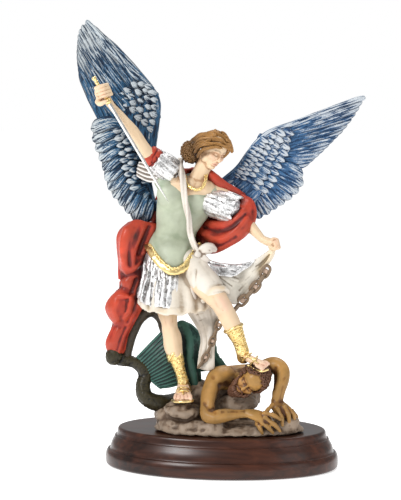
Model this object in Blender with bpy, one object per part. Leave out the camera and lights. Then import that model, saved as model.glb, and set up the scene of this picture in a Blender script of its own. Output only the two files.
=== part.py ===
"""Painted figurine of a winged archangel in armour, standing on a fallen demon, on an oval wooden plinth.

Three pieces: the turned wooden plinth, the figure cast in one from stone-filled resin with its wings,
cape, chain, demon and rock, and the thin metal sword that is pushed through the raised fist.
Lengths are metres; the figure's own points are millimetres at its real height, as said at MILLIMETRE.
"""

import math
import random

import bmesh
import bpy
import numpy as np
from mathutils import Matrix, Vector

# Driving sizes of the plinth
PLINTH_WIDTH = 0.154
PLINTH_DEPTH = 0.099
PLINTH_HEIGHT = 0.0247
PLINTH_TOP_INSET = 0.0084
FOOT_MOULDING_HEIGHT = 0.0105
WAIST_MOULDING_HEIGHT = 0.0085
PLINTH_SIDES = 40

# Driving sizes of the figure, which keeps its pose as shares of its height
FIGURE_HEIGHT = 0.2663
FIGURE_TURN = math.radians(8)
SEAT_GAP = 0.0003
CASTING_GRAIN = FIGURE_HEIGHT / 230
CASTING_FACES_KEPT = 0.043

# Driving sizes of the sword
SWORD_LENGTH = 0.092
BLADE_WIDTH = 0.0034
BLADE_THICKNESS = 0.0012
GRIP_RADIUS = 0.0012
GUARD_RADIUS = 0.0022
GRIP_LENGTH = 0.0165
SWORD_CLEARANCE = 0.0003

# The figure's points are millimetres at the real height, so a new height moves them all
MILLIMETRE = FIGURE_HEIGHT / 266.3

RESIN_COLOUR = (0.55, 0.50, 0.44, 1)
WALNUT_COLOUR = (0.09, 0.035, 0.02, 1)
STEEL_COLOUR = (0.75, 0.74, 0.72, 1)


def clear_scene():
    for old in list(bpy.data.objects):
        bpy.data.objects.remove(old)


def finish_of(name, colour, roughness, metallic=0.0):
    material = bpy.data.materials.new(name)
    material.use_nodes = True
    shader = material.node_tree.nodes["Principled BSDF"]
    shader.inputs["Base Color"].default_value = colour
    shader.inputs["Roughness"].default_value = roughness
    shader.inputs["Metallic"].default_value = metallic
    return material


# A smooth curve through given points; a radius may ride along as a fourth number
def through(points, count):
    given = np.array(points, float)
    padded = np.vstack([2 * given[0] - given[1], given, 2 * given[-1] - given[-2]])
    reach = np.linalg.norm(np.diff(given[:, :3], axis=0), axis=1)
    stations = np.concatenate([[0], np.cumsum(reach)])
    curve = []
    for distance in np.linspace(0, stations[-1], count):
        span = min(int(np.searchsorted(stations, distance, side="right")) - 1, len(reach) - 1)
        t = (distance - stations[span]) / max(reach[span], 1e-9)
        a, b, c, d = padded[span : span + 4]
        curve.append(
            0.5 * (2 * b + (c - a) * t + (2 * a - 5 * b + 4 * c - d) * t * t
                   + (3 * b - a - 3 * c + d) * t**3)
        )
    return np.array(curve)


def unit(vector):
    return vector / max(np.linalg.norm(vector), 1e-9)


def ring_faces(clay, rings):
    """Joins closed rings of points, and closes both ends at a middle point."""
    made = [[clay.verts.new(Vector(p) * MILLIMETRE) for p in ring] for ring in rings]
    sides = len(made[0])
    for low, high in zip(made, made[1:]):
        for i in range(sides):
            j = (i + 1) % sides
            clay.faces.new((low[i], low[j], high[j], high[i]))
    for ring in (made[0], made[-1]):
        middle = sum((v.co for v in ring), Vector()) / sides
        pole = clay.verts.new(middle)
        for i in range(sides):
            clay.faces.new((ring[i], ring[(i + 1) % sides], pole))


# A limb, lock, feather or roll of cloth: a round-ended tube whose section may be flattened along `face`
def tube(clay, points, sides=10, rings=None, face=None, flat=1.0):
    curve = through(points, rings or 3 * len(points))
    centres, radii = curve[:, :3], curve[:, 3]
    tangents = np.gradient(centres, axis=0)
    up = np.array(face if face is not None else (0.31, -0.9, 0.3), float)
    turned = []
    for centre, radius, tangent in zip(centres, radii, tangents):
        along = unit(tangent)
        up = unit(up - along * (up @ along))
        side = np.cross(along, up)
        angles = np.arange(sides) * 2 * math.pi / sides
        ring = [
            centre + radius * (side * math.cos(a) + flat * up * math.sin(a)) for a in angles
        ]
        turned.append((np.array(ring), centre, along, radius))
        if face is not None:
            up = np.array(face, float)
    rings_made = []
    first, last = turned[0], turned[-1]
    for lift in (75, 40):
        shrink, push = math.cos(math.radians(lift)), math.sin(math.radians(lift))
        rings_made.append(first[1] + (first[0] - first[1]) * shrink - first[2] * first[3] * push)
    rings_made += [r[0] for r in turned]
    for lift in (40, 75):
        shrink, push = math.cos(math.radians(lift)), math.sin(math.radians(lift))
        rings_made.append(last[1] + (last[0] - last[1]) * shrink + last[2] * last[3] * push)
    ring_faces(clay, rings_made)


# A flat feather: narrow at its root, broad and round at its tip, bowed by `sag` at its middle
def feather(clay, root, tip, width, face, thick=1.2, sag=(0, 0, 0), shape=(0.55, 0.92, 1.0, 0.8)):
    root, tip, sag = np.array(root, float), np.array(tip, float), np.array(sag, float)
    points = []
    for share, breadth in zip((0.0, 0.4, 0.75, 0.96), shape):
        centre = root + (tip - root) * share + sag * math.sin(math.pi * min(share * 1.1, 1))
        points.append((*centre, breadth * width / 2))
    tube(clay, points, sides=8, rings=8, face=face, flat=2 * thick / width)


# Feathers side by side: their roots stand along one line and their tips along another
def fan(clay, roots, tips, count, width, face, thick=1.2, sag=(0, 0, 0), shape=(0.55, 0.92, 1.0, 0.8)):
    face = unit(np.array(face, float))
    starts, ends = through(roots, 2 * count + 1)[1::2], through(tips, 2 * count + 1)[1::2]
    for index, (root, tip) in enumerate(zip(starts, ends)):
        lift = face * (0.35 if index % 2 else -0.1)
        feather(clay, root[:3] + lift, tip[:3] + lift, width, face, thick, sag, shape)


# A row of small overlapping covert feathers along a line, each pointing along `way`
def coverts(clay, line, count, way, size, face, lift=1.2):
    face, way = unit(np.array(face, float)), unit(np.array(way, float))
    for centre in through(line, 2 * count + 1)[1::2]:
        root = centre[:3] + face * (lift - 0.5) - way * size * 0.55
        tip = centre[:3] + face * (lift + 0.5) + way * size * 0.55
        feather(clay, root, tip, size, face, 1.0, (0, 0, 0), (0.75, 1.0, 1.0, 0.75))


# Strips of a lappet sleeve, set round a limb from `start` to `end`
def strips_around(clay, start, end, start_radius, end_radius, count, width):
    start, end = np.array(start, float), np.array(end, float)
    along = unit(end - start)
    side = unit(np.cross(along, (0, 0.3, 1)))
    other = np.cross(along, side)
    for strip in range(count):
        angle = 2 * math.pi * strip / count
        outward = side * math.cos(angle) + other * math.sin(angle)
        low, high = start + outward * start_radius, end + outward * end_radius + along * 0.7 * (strip % 2)
        middle = (low + high) / 2 + outward * 0.5
        tube(clay, [(*low, width / 2), (*middle, width / 2), (*high, width / 2 * 1.1)], sides=8, rings=5,
             face=outward, flat=0.55)


def blob(clay, centre, radii, turn=(0, 0, 0), detail=2):
    spin = Matrix.Rotation(math.radians(turn[2]), 4, "Z")
    spin = spin @ Matrix.Rotation(math.radians(turn[1]), 4, "Y")
    spin = spin @ Matrix.Rotation(math.radians(turn[0]), 4, "X")
    size = Matrix.Diagonal((*(r * MILLIMETRE for r in radii), 1))
    place = Matrix.Translation(Vector(centre) * MILLIMETRE) @ spin @ size
    bmesh.ops.create_icosphere(clay, subdivisions=detail, radius=1, matrix=place)


# A head's own directions, from turns about the vertical, nodding down, and leaning to the side
class Head:
    def __init__(self, centre, turn, nod, lean, size=1.0):
        turn, nod, lean = (math.radians(a) for a in (turn, nod, lean))
        level = np.array((math.sin(turn), -math.cos(turn), 0))
        beside = np.array((math.cos(turn), math.sin(turn), 0))
        above = math.cos(nod) * np.array((0, 0, 1)) + math.sin(nod) * level
        self.ahead = math.cos(nod) * level - math.sin(nod) * np.array((0, 0, 1))
        self.crown = above * math.cos(lean) + beside * math.sin(lean)
        self.side = beside * math.cos(lean) - above * math.sin(lean)
        self.centre, self.size = np.array(centre, float), size

    def at(self, forward, sideways, up):
        return self.centre + (self.ahead * forward + self.side * sideways + self.crown * up) * self.size

    def lump(self, clay, place, radii, detail=2):
        turn = Matrix((self.ahead, self.side, self.crown)).transposed().to_4x4()
        size = Matrix.Diagonal((*(r * self.size * MILLIMETRE for r in radii), 1))
        spot = Matrix.Translation(Vector(self.at(*place)) * MILLIMETRE)
        bmesh.ops.create_icosphere(clay, subdivisions=detail, radius=1, matrix=spot @ turn @ size)

    # Skull and face in the plain proportions of a drawing book: eyes half way, nose and mouth below
    def skull(self, clay):
        self.lump(clay, (-1.0, 0, 2.2), (9.6, 7.7, 9.0))
        self.lump(clay, (2.2, 0, -3.4), (6.8, 6.2, 7.8))
        self.lump(clay, (5.4, 0, -9.2), (3.2, 3.4, 2.2))
        for way in (-1, 1):
            self.lump(clay, (5.8, 4.0 * way, -2.0), (2.6, 2.4, 2.4))
        nose = [(*self.at(8.4, 0, 0.6), 0.8), (*self.at(9.5, 0, -1.6), 0.9),
                (*self.at(10.3, 0, -3.4), 1.3)]
        tube(clay, nose, sides=8, rings=6)
        brow = [(*self.at(6.6, -4.6, 1.0), 0.9), (*self.at(8.2, 0, 1.6), 1.0),
                (*self.at(6.6, 4.6, 1.0), 0.9)]
        tube(clay, brow, sides=8, rings=7)
        lips = [(*self.at(7.9, -1.8, -6.1), 0.6), (*self.at(8.8, 0, -6.0), 1.0),
                (*self.at(7.9, 1.8, -6.1), 0.6)]
        tube(clay, lips, sides=8, rings=5)

    # A lock that lies on the head and passes over the given directions
    def lock(self, clay, ways, reach, thick, wave=0.0, rings=12):
        points = []
        for index, (way, radius) in enumerate(zip(through(ways, rings),
            np.interp(np.linspace(0, 1, rings), (0, 0.5, 1), thick))):
            out = way / np.linalg.norm(way)
            far = np.array((reach * 1.02, reach * 0.86, reach * 0.98)) * out + (-1.0, 0, 2.0)
            far[1] += wave * math.sin(1.9 * index)
            points.append((*self.at(*far), radius * self.size))
        tube(clay, points, sides=8, rings=rings)


# Cloth: a sheet through rows of points, `thick` through, its folds raised by relief(u, v)
def cloth(clay, rows, thick, across=14, down=14, relief=None):
    wide = [through(row, across) for row in rows]
    grid = np.array([through([row[i] for row in wide], down) for i in range(across)])
    along_u = np.gradient(grid, axis=0)
    along_v = np.gradient(grid, axis=1)
    normals = np.cross(along_u, along_v)
    normals /= np.maximum(np.linalg.norm(normals, axis=2, keepdims=True), 1e-9)
    if relief:
        for i in range(across):
            for j in range(down):
                grid[i, j] += normals[i, j] * relief(i / (across - 1), j / (down - 1))
    front = [[clay.verts.new(Vector(p) * MILLIMETRE) for p in line] for line in grid
             + normals * thick / 2]
    back = [[clay.verts.new(Vector(p) * MILLIMETRE) for p in line] for line in grid - normals * thick / 2]
    for i in range(across - 1):
        for j in range(down - 1):
            clay.faces.new((front[i][j], front[i + 1][j], front[i + 1][j + 1], front[i][j + 1]))
            clay.faces.new((back[i][j], back[i][j + 1], back[i + 1][j + 1], back[i + 1][j]))
    rim = [(i, 0) for i in range(across)] + [(across - 1, j) for j in range(1, down)]
    rim += [(i, down - 1) for i in range(across - 2, -1, -1)] + [(0, j) for j in range(down - 2, 0, -1)]
    for (i, j), (k, m) in zip(rim, rim[1:] + rim[:1]):
        clay.faces.new((front[i][j], back[i][j], back[k][m], front[k][m]))


# The plinth: an oval turned section with a cove under its top edge, an ogee and a round foot
def make_plinth():
    half_width, half_depth = PLINTH_WIDTH / 2, PLINTH_DEPTH / 2
    foot_top = FOOT_MOULDING_HEIGHT
    waist_top = FOOT_MOULDING_HEIGHT + WAIST_MOULDING_HEIGHT
    waist_inset = 0.65 * PLINTH_TOP_INSET
    foot_inset = 0.30 * PLINTH_TOP_INSET
    section = [(0.0022, 0.0)]
    for step in range(7):
        share = step / 6
        swell = math.sin(math.pi * (0.18 + 0.82 * share))
        section.append((foot_inset * (1 - swell) + 0.0002, 0.0008 + share * (foot_top - 0.0012)))
    section.append((foot_inset + 0.0006, foot_top))
    for step in range(6):
        share = step / 5
        ogee = 0.5 - 0.5 * math.cos(math.pi * share)
        inset = foot_inset + 0.0012 + (waist_inset - foot_inset) * ogee
        section.append((inset, foot_top + 0.0006 + share * (waist_top - foot_top - 0.0006)))
    section.append((waist_inset + 0.0018, waist_top + 0.0004))
    section.append((PLINTH_TOP_INSET, PLINTH_HEIGHT - 0.0010))
    section.append((PLINTH_TOP_INSET + 0.0006, PLINTH_HEIGHT))
    turned = bmesh.new()
    rings = []
    for inset, height in section:
        ring = []
        for side in range(PLINTH_SIDES):
            angle = 2 * math.pi * side / PLINTH_SIDES
            x, y = (half_width - inset) * math.cos(angle), (half_depth - inset) * math.sin(angle)
            ring.append(turned.verts.new((x, y, height)))
        rings.append(ring)
    for low, high in zip(rings, rings[1:]):
        for i in range(PLINTH_SIDES):
            j = (i + 1) % PLINTH_SIDES
            turned.faces.new((low[i], low[j], high[j], high[i]))
    turned.faces.new(list(reversed(rings[0])))
    turned.faces.new(rings[-1])
    mesh = bpy.data.meshes.new("wooden_plinth")
    turned.to_mesh(mesh)
    turned.free()
    mesh.shade_smooth()
    mesh.set_sharp_from_angle(angle=math.radians(35))
    plinth = bpy.data.objects.new("wooden_plinth", mesh)
    mesh.materials.append(finish_of("stained wood", WALNUT_COLOUR, 0.3))
    bpy.context.collection.objects.link(plinth)
    return plinth


WEIGHT_LEG = [(-37, -2, 101, 9.1), (-35.5, -5, 88, 8.1), (-35, -8, 77.5, 6.8), (-33.5, -9, 69.5, 4.7),
              (-32, -9, 62, 5.6), (-31.5, -8, 55, 5.8), (-30, -8, 48, 4.4), (-27, -8, 38.5, 3.4),
              (-25, -9, 31.5, 3.4)]
WEIGHT_FOOT = [(-25, -8, 27.5, 4.6), (-25, -15, 25, 5.8), (-25, -22, 23.5, 6.5), (-25, -25, 22.5, 5.8)]
BENT_LEG = [(-21, -6, 106, 9.1), (-12, -20, 97.5, 8), (-4, -31, 90.5, 6.7), (2.5, -28, 79, 5.6),
            (6, -26, 70.5, 5.3), (10.5, -24, 61.5, 4), (13.5, -22, 53.5, 3.9)]
BENT_FOOT = [(13.5, -20, 51, 4.9), (20, -25, 48.5, 4.5), (27.5, -30, 46.5, 3.6)]
TORSO = [(-31, -1, 104, 16.3), (-31.5, -1, 116, 15.9), (-30.5, -1, 123.5, 13.4), (-29.5, -1, 130, 13),
         (-27.5, -2, 138, 15.6), (-24.5, -2, 146.5, 17.8), (-21, -2, 155, 16.8), (-17.5, -2, 161, 11)]
NECK = [(-18.5, -3, 158, 6.5), (-14.5, -5, 166, 5.5), (-11, -6, 173.5, 5.5)]
RAISED_ARM = [(-29.5, -4, 163, 6.5), (-36.5, -5, 170.5, 5.5), (-43, -7, 176.5, 4.5), (-48, -9, 181.5, 4),
              (-53, -11, 188, 3.7), (-57.5, -13, 195.5, 3.8), (-64, -14, 203, 3.3),
              (-69.5, -15, 211, 2.5), (-73.5, -16.5, 216, 3.2)]
LOW_ARM = [(-5, -3, 155, 6.5), (3, -5, 151, 5.5), (9.5, -6, 144, 4.9), (15.5, -8, 137.5, 4.2),
           (19.5, -10, 132, 3.4), (24, -13, 127.5, 3.1), (28.5, -16, 123.5, 2.7)]
HEAD = Head((-5.5, -8, 183), 38, 27, 16)
DEMON_HEAD = Head((19.5, -21, 35), -28, 22, 62, 1.02)
SWORD_POMMEL = (-81, -20.5, 229)
SWORD_TIP = (-35, -27, 152.5)


def archangel(clay):
    tube(clay, WEIGHT_LEG, sides=12)
    tube(clay, WEIGHT_FOOT, sides=10, face=(0, 0.2, 1), flat=0.6)
    tube(clay, BENT_LEG, sides=12)
    tube(clay, BENT_FOOT, sides=10, face=(0.2, 0.3, 1), flat=0.65)
    tube(clay, TORSO, sides=16, face=(0, -1, 0.05), flat=0.62)
    tube(clay, NECK, sides=10)
    tube(clay, RAISED_ARM, sides=10)
    tube(clay, LOW_ARM, sides=10)
    # Chest muscles of the fitted cuirass
    blob(clay, (-32.5, -10, 151.5), (8, 4, 6.5), (0, 12, 0))
    blob(clay, (-15.5, -10, 149), (8, 4, 6.5), (0, 12, 0))
    # Fists: palm and four fingers each
    palm = np.array((-76.5, -18, 219.5))
    blob(clay, palm, (4.6, 4.6, 5.8), (0, -35, 0))
    for finger in range(4):
        knuckle = palm + np.array((-2.4 - 0.9 * finger, -2.0, 3.4 - 2.1 * finger)) + np.array((1.6, 0,
            -0.6))
        tube(clay, [(*knuckle, 1.2), (*(knuckle + (2.2, -2.2, 1.0)), 1.2),
                    (*(knuckle + (4.6, -0.6, 1.6)), 1.1)], sides=8)
    low_palm = np.array((33.5, -18, 122.5))
    blob(clay, low_palm, (4.4, 3.6, 3.6))
    for finger in range(4):
        knuckle = low_palm + np.array((1.0 + 0.9 * finger, -2.6, 2.2 - 1.5 * finger))
        tube(clay, [(*knuckle, 1.1), (*(knuckle + (1.2, 1.4, -1.4)), 1.0)], sides=8, rings=4)


def head(clay):
    HEAD.skull(clay)
    # Hair: waved locks from the parting over both sides to a mass of curls low on the near side
    for near in (-1, 1):
        for row in range(9):
            share = row / 8
            rise = math.radians(38 + 92 * share)
            start = (math.cos(rise), 0.06 * near, math.sin(rise))
            over = (0.62 - 0.75 * share, near * (0.95 - 0.3 * share), 0.28 + 0.62 * share)
            behind = (-0.35 - 0.45 * share, near * (0.9 - 0.25 * share), -0.12 + 0.5 * share)
            nape = (-0.85, near * 0.55, -0.45 + 0.35 * share)
            HEAD.lock(clay, [start, over, behind, nape], 10.6, (1.1, 1.7, 1.9), 0.45)
    draw = random.Random(4)
    for curl in range(46):
        angle, share = math.radians(137.5 * curl), (curl + 0.5) / 46
        height = 1 - 2 * share
        round_it = math.sqrt(1 - height * height)
        middle = np.array((-19, -3, 181)) + (1.5 * height, 0, 3.2 * height)
        centre = middle + (6.6 * round_it * math.cos(angle), 6.5 * round_it * math.sin(angle),
                           7.6 * height)
        blob(clay, centre, [1.9 + 0.7 * draw.random()] * 3, detail=1)
    blob(clay, (-19, -3, 181), (6.4, 6.4, 8.4), (0, 20, 0))
    tube(clay, [(5.5, -10, 184.5, 1.5), (5, -8, 181, 1.8), (3, -6, 177, 2.1), (0.5, -4, 174.5, 1.9)],
         sides=8, rings=7)


def armour(clay):
    # Strap over the shoulder, and its knot at the hip
    strap = [(-27, 0, 174), (-27, -10, 171), (-26, -14, 164.5), (-25, -16, 157), (-23.5, -17, 147.5),
             (-21.5, -13, 135), (-20, -12, 128.5), (-18, -13, 122.5), (-15, -12, 116)]
    tube(clay, [(*p, 2.0) for p in strap], sides=8, face=(0, -1, 0), flat=0.7)
    blob(clay, (-9, -12, 116.5), (4.6, 3.4, 4.0), (0, 30, 0))
    blob(clay, (-12.5, -14, 111.5), (3.4, 2.8, 3.0))
    # Belt that dips to a point in front
    belt = [(-48.5, 2, 121.5), (-47, -6, 118.5), (-43, -13, 114), (-38, -17, 109), (-31.5, -19.5, 104),
            (-24.5, -18, 106.5), (-19.5, -15, 112), (-16, -9, 117), (-15.5, 0, 120.5)]
    tube(clay, [(*p, 1.8) for p in belt], sides=8, rings=26, face=(0, -1, 0.3), flat=0.7)
    # Neckline of the cuirass
    collar = [(-23.5, -11, 163), (-21, -14, 159.5), (-16.5, -15, 157.5), (-12, -13, 159.5),
              (-10, -9, 165)]
    tube(clay, [(*p, 1.0) for p in collar], sides=8, rings=14)
    # Rolled red cuff round the raised arm, and the silvered lappets of both shoulders
    cuff, along = np.array((-44.5, -6.5, 178)), unit(np.array((-48, -9, 181.5)) - np.array((-36.5, -5,
        170.5)))
    side = unit(np.cross(along, (0, 1, 0)))
    other = np.cross(along, side)
    ring = []
    for step in range(13):
        angle = 2 * math.pi * step / 12
        ring.append((*(cuff + (side * math.cos(angle) + other * math.sin(angle)) * 4.6),
                     2.5 + 0.4 * math.sin(3 * angle)))
    tube(clay, ring, sides=10, rings=25)
    strips_around(clay, (-33, -5, 169), (-41.5, -7, 176), 7.6, 6.6, 11, 4.2)
    tube(clay, [(-32, -5, 168.5, 6.8), (-41, -7, 175.5, 5.5)], sides=12, rings=4)
    cloth(clay, [
        [(-41.5, -9, 173), (-47.5, -6, 174.5), (-53, -2, 175)],
        [(-41, -8, 168), (-48.5, -5, 169), (-54.5, -1, 170)],
        [(-40.5, -7, 162), (-47, -4, 162), (-55, -1, 165)],
    ], 3.0, 10, 14, lambda u, v: 0.8 * math.sin(9 * math.pi * v))
    strips_around(clay, (-7.5, -5, 149), (7.5, -9, 144.5), 7.4, 8.6, 13, 4.4)
    tube(clay, [(-9, -5, 150, 7.1), (6, -8.5, 145.5, 7.7)], sides=12, rings=5)


SKIRT = [(-32, -1, 117, 16.3), (-31.5, -3, 109.5, 18.8), (-30, -6, 101.5, 20.8), (-29.5, -8, 93, 22.7),
         (-29.5, -9, 86, 24.6), (-29.5, -10, 81, 25.3)]
SKIRT_PLEATS = 15


def skirt(clay):
    rings = []
    curve = through(SKIRT, 10)
    for step, (x, y, z, radius) in enumerate(curve):
        flare = step / (len(curve) - 1)
        ring = []
        for side in range(4 * SKIRT_PLEATS):
            angle = 2 * math.pi * side / (4 * SKIRT_PLEATS)
            pleat = 1 + 0.055 * flare * math.cos(SKIRT_PLEATS * angle)
            front = max(0.0, -math.sin(angle))
            drop = -2.5 * flare**3 * front + 2.5 * flare**3 * (1 - front)
            ring.append((x + radius * pleat * math.cos(angle),
                         y + 0.66 * radius * pleat * math.sin(angle), z + drop))
        rings.append(ring)
    hem = np.array(rings[-1])
    middle = hem.mean(axis=0)
    rings.append(middle + (hem - middle) * 0.88 + (0, 0, 0.4))
    rings.append(middle + (hem - middle) * 0.6 + (0, 0, 5))
    ring_faces(clay, rings)
    # Cloth over the raised thigh
    tube(clay, [(-20.5, -8, 110, 9.7), (-12, -19, 100.5, 9.3), (-5.5, -29, 95, 7.7)], sides=14, rings=8)
    tube(clay, [(-10, -24, 89, 4.5), (-5.5, -31, 95.5, 4.5), (0.5, -31, 96.5, 3.2)], sides=10)


def drapery(clay):
    # The skirt's end drawn out to the low hand
    top = [(-11.5, -14, 113), (-3.5, -14, 110.5), (4, -14, 109.5), (12, -15, 109.5), (19.5, -16, 112),
           (26.5, -18, 116.5), (31.5, -18, 120.5)]
    middle = [(-9, -22, 103), (-2, -21, 101), (6, -18, 99), (13, -16, 100), (20, -16, 104.5),
              (27, -17, 111.5), (32.5, -18, 119)]
    low = [(-5, -26, 92.5), (1.5, -22, 88), (8, -17, 85.5), (13.5, -15, 88.5), (20, -15, 95.5),
           (26.5, -16, 106), (33, -18, 118)]
    cloth(clay, [top, middle, low], 2.6, 16, 12, lambda u,
          v: 0.9 * math.sin(6 * math.pi * v) * (1 - u) ** 0.5)
    # The long end that hangs between the legs
    outer = [(-3, -6, 81), (-2.5, -7, 70.5), (-3.5, -8, 60.5), (-4.5, -9, 50.5), (-5, -9, 40.5)]
    inner = [(-23, -2, 76.5), (-17.5, -3, 68), (-13, -5, 58.5), (-14.5, -6, 50), (-15.5, -7, 41.5)]
    centre = [(-12.5, -5, 78.5), (-9.5, -7, 69.5), (-8, -9, 59), (-9.5, -10, 50), (-10, -10, 39.5)]
    cloth(clay, [inner, centre, outer], 3.0, 12, 12, lambda u, v: 0.8 * math.sin(5 * math.pi * v))


def chain(clay):
    upper = [(29, -21, 111), (28, -20.5, 105.5), (25.5, -20, 100.5), (21.5, -19.5, 95.5),
             (18, -19, 91.5), (13.5, -18.5, 86.5), (10, -17, 81.5)]
    lower = [(-2, -12, 69.5), (-4, -12.5, 64.5), (-6, -13, 59), (-8, -13, 54), (-10.5, -13, 48.5),
             (-13.5, -12.5, 44)]
    for run, width, gauge in ((upper, 2.3, 1.3), (lower, 1.5, 0.85)):
        points = through(run, len(run))
        for link, (start, end) in enumerate(zip(points, points[1:])):
            along = unit(end - start)
            side = unit(np.cross(along, (0.2, -1, 0.1)))
            if link % 2:
                side = unit(side * 0.3 + np.array((0, -1, 0)))
            middle, half = (start + end) / 2, np.linalg.norm(end - start) * 0.62
            loop = []
            for corner in range(9):
                angle = 2 * math.pi * corner / 8
                loop.append((*(middle + along * half * math.cos(angle) + side * width * math.sin(angle)),
                             gauge))
            tube(clay, loop, sides=6, rings=10)


def cape(clay):
    # Roll of cloth over the shoulder
    tube(clay, [(-16.5, 6, 167.5, 3.3), (-11.5, 0, 168.5, 2.6), (-7.5, -3, 167, 3),
                (-2.5, -3, 161.5, 3.2), (4, -2, 157.5, 3), (12, 2, 153.5, 2.6)], sides=10)
    # Back: from the shoulders down and out to the billow
    cloth(clay, [
        [(-36, 8, 166), (-26, 11, 169.5), (-14, 10, 169), (-1.5, 7, 162)],
        [(-41.5, 9, 152), (-28.5, 14, 152), (-15.5, 14, 151.5), (-2.5, 8, 146.5)],
        [(-48, 7, 136), (-36.5, 15, 135), (-20.5, 15, 134.5), (-7.5, 8, 131)],
        [(-56, 5, 121), (-43.5, 15, 118), (-28.5, 16, 117), (-12, 8, 118)],
        [(-61, 4, 104.5), (-51, 12, 101), (-39, 15, 98.5), (-23, 12, 97.5)],
    ], 3.4, 18, 20, lambda u, v: 1.0 * math.sin(9 * math.pi * (u + 0.15 * v)))
    # The side: a full fold, gathered at the hip, spread again and drawn to the tail's end
    cloth(clay, [
        [(-59.5, 5, 135), (-55, 1, 135), (-48.5, 2, 134.5), (-40, 7, 133)],
        [(-66.5, 4, 126.5), (-60.5, -4, 128), (-51.5, -2, 127.5), (-42, 7, 128)],
        [(-67, 3, 118.5), (-61.5, -5, 119), (-54.5, -2, 118), (-47.5, 5, 117)],
        [(-66, 2, 110), (-61.5, -5, 110.5), (-56.5, -3, 110), (-50.5, 3, 110)],
        [(-64, 1, 104.5), (-60, -4, 105.5), (-57, -3, 105.5), (-53, 2, 105)],
        [(-61.5, 0, 100.5), (-58.5, -3, 101), (-56, -3, 101), (-53.5, 2, 100.5)],
        [(-63.5, 0, 94.5), (-60, -3, 95), (-57, -3, 95), (-54.5, 2, 94.5)],
        [(-67.5, 0, 88.5), (-63, -3, 90), (-58.5, -4, 90), (-54.5, 1, 89)],
        [(-73.5, 0, 83), (-67.5, -5, 84), (-59.5, -5, 83.5), (-52, 0, 81.5)],
        [(-74, 0, 76.5), (-68, -6, 78), (-60, -5, 77), (-53.5, 0, 76)],
        [(-71, 1, 70.5), (-67.5, -4, 71), (-62, -4, 71), (-57, 1, 70)],
        [(-68, 1, 66), (-66, -3, 66), (-63, -3, 65.5), (-60, 1, 65)],
        [(-72.5, 2, 60), (-70, -3, 60), (-66, -3, 59.5), (-63, 1, 59)],
        [(-74, 2, 54.5), (-71.5, -3, 55), (-67.5, -3, 53.5), (-63.5, 1, 51.5)],
        [(-72.5, 2, 49.5), (-70.5, -1, 49.5), (-67.5, -1, 49.5), (-65, 1, 48.5)],
    ], 5.0, 14, 46, lambda u, v: 0.9 * math.sin(4 * math.pi * u + 3 * v) * math.sin(math.pi * u))
    tube(clay, [(-46.5, -4, 133, 1.9), (-51, -6, 125.5, 2.3), (-54, -6, 117.5, 2.2),
                (-54.5, -4, 109.5, 1.6)], sides=8)
    tube(clay, [(-64, -2, 105.5, 1.3), (-61.5, -4, 103, 1.6), (-58, -6, 102.5, 1.6),
                (-55, -4, 104.5, 1.3)], sides=8)
    # Pouch of cloth under and round the bent arm
    cloth(clay, [
        [(-10, 8, 139.5), (-3.5, 1, 140.5), (4, -5, 143), (10.5, -6, 148.5), (13, -2, 152)],
        [(-15.5, 7, 132), (-6, -3, 133), (4, -12, 136), (13, -13, 143), (18.5, -5, 149)],
        [(-16.5, 6, 124), (-7.5, -6, 125.5), (4, -15, 129), (15, -15, 137), (20, -7, 142)],
        [(-14, 3, 118), (-5.5, -5, 117.5), (5.5, -13, 123), (13.5, -14, 128.5), (19, -9, 133.5)],
    ], 3.8, 20, 16, lambda u, v: 0.8 * math.sin(3.4 * math.pi * v + 2.2 * u))
    tube(clay, [(-12.5, 2, 117, 1.6), (-4.5, -6, 117, 1.8), (6, -13.5, 123, 1.8), (13.5, -14, 128, 1.8),
                (19, -10, 134, 1.7), (20.5, -7, 142, 1.7), (18.5, -5, 149, 1.7), (13.5, -2, 152, 1.6)],
                sides=8, rings=24)
    cloth(clay, [
        [(-11, 9, 139), (-1, 9, 142), (7, 7, 145.5), (14, 2, 151)],
        [(-14.5, 10, 129), (-3.5, 9, 130.5), (8, 5, 135), (19, -4, 142.5)],
        [(-12.5, 6, 117), (-5, 4, 118.5), (5.5, -2, 123), (18.5, -7, 133.5)],
    ], 3.4, 10, 10)


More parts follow.
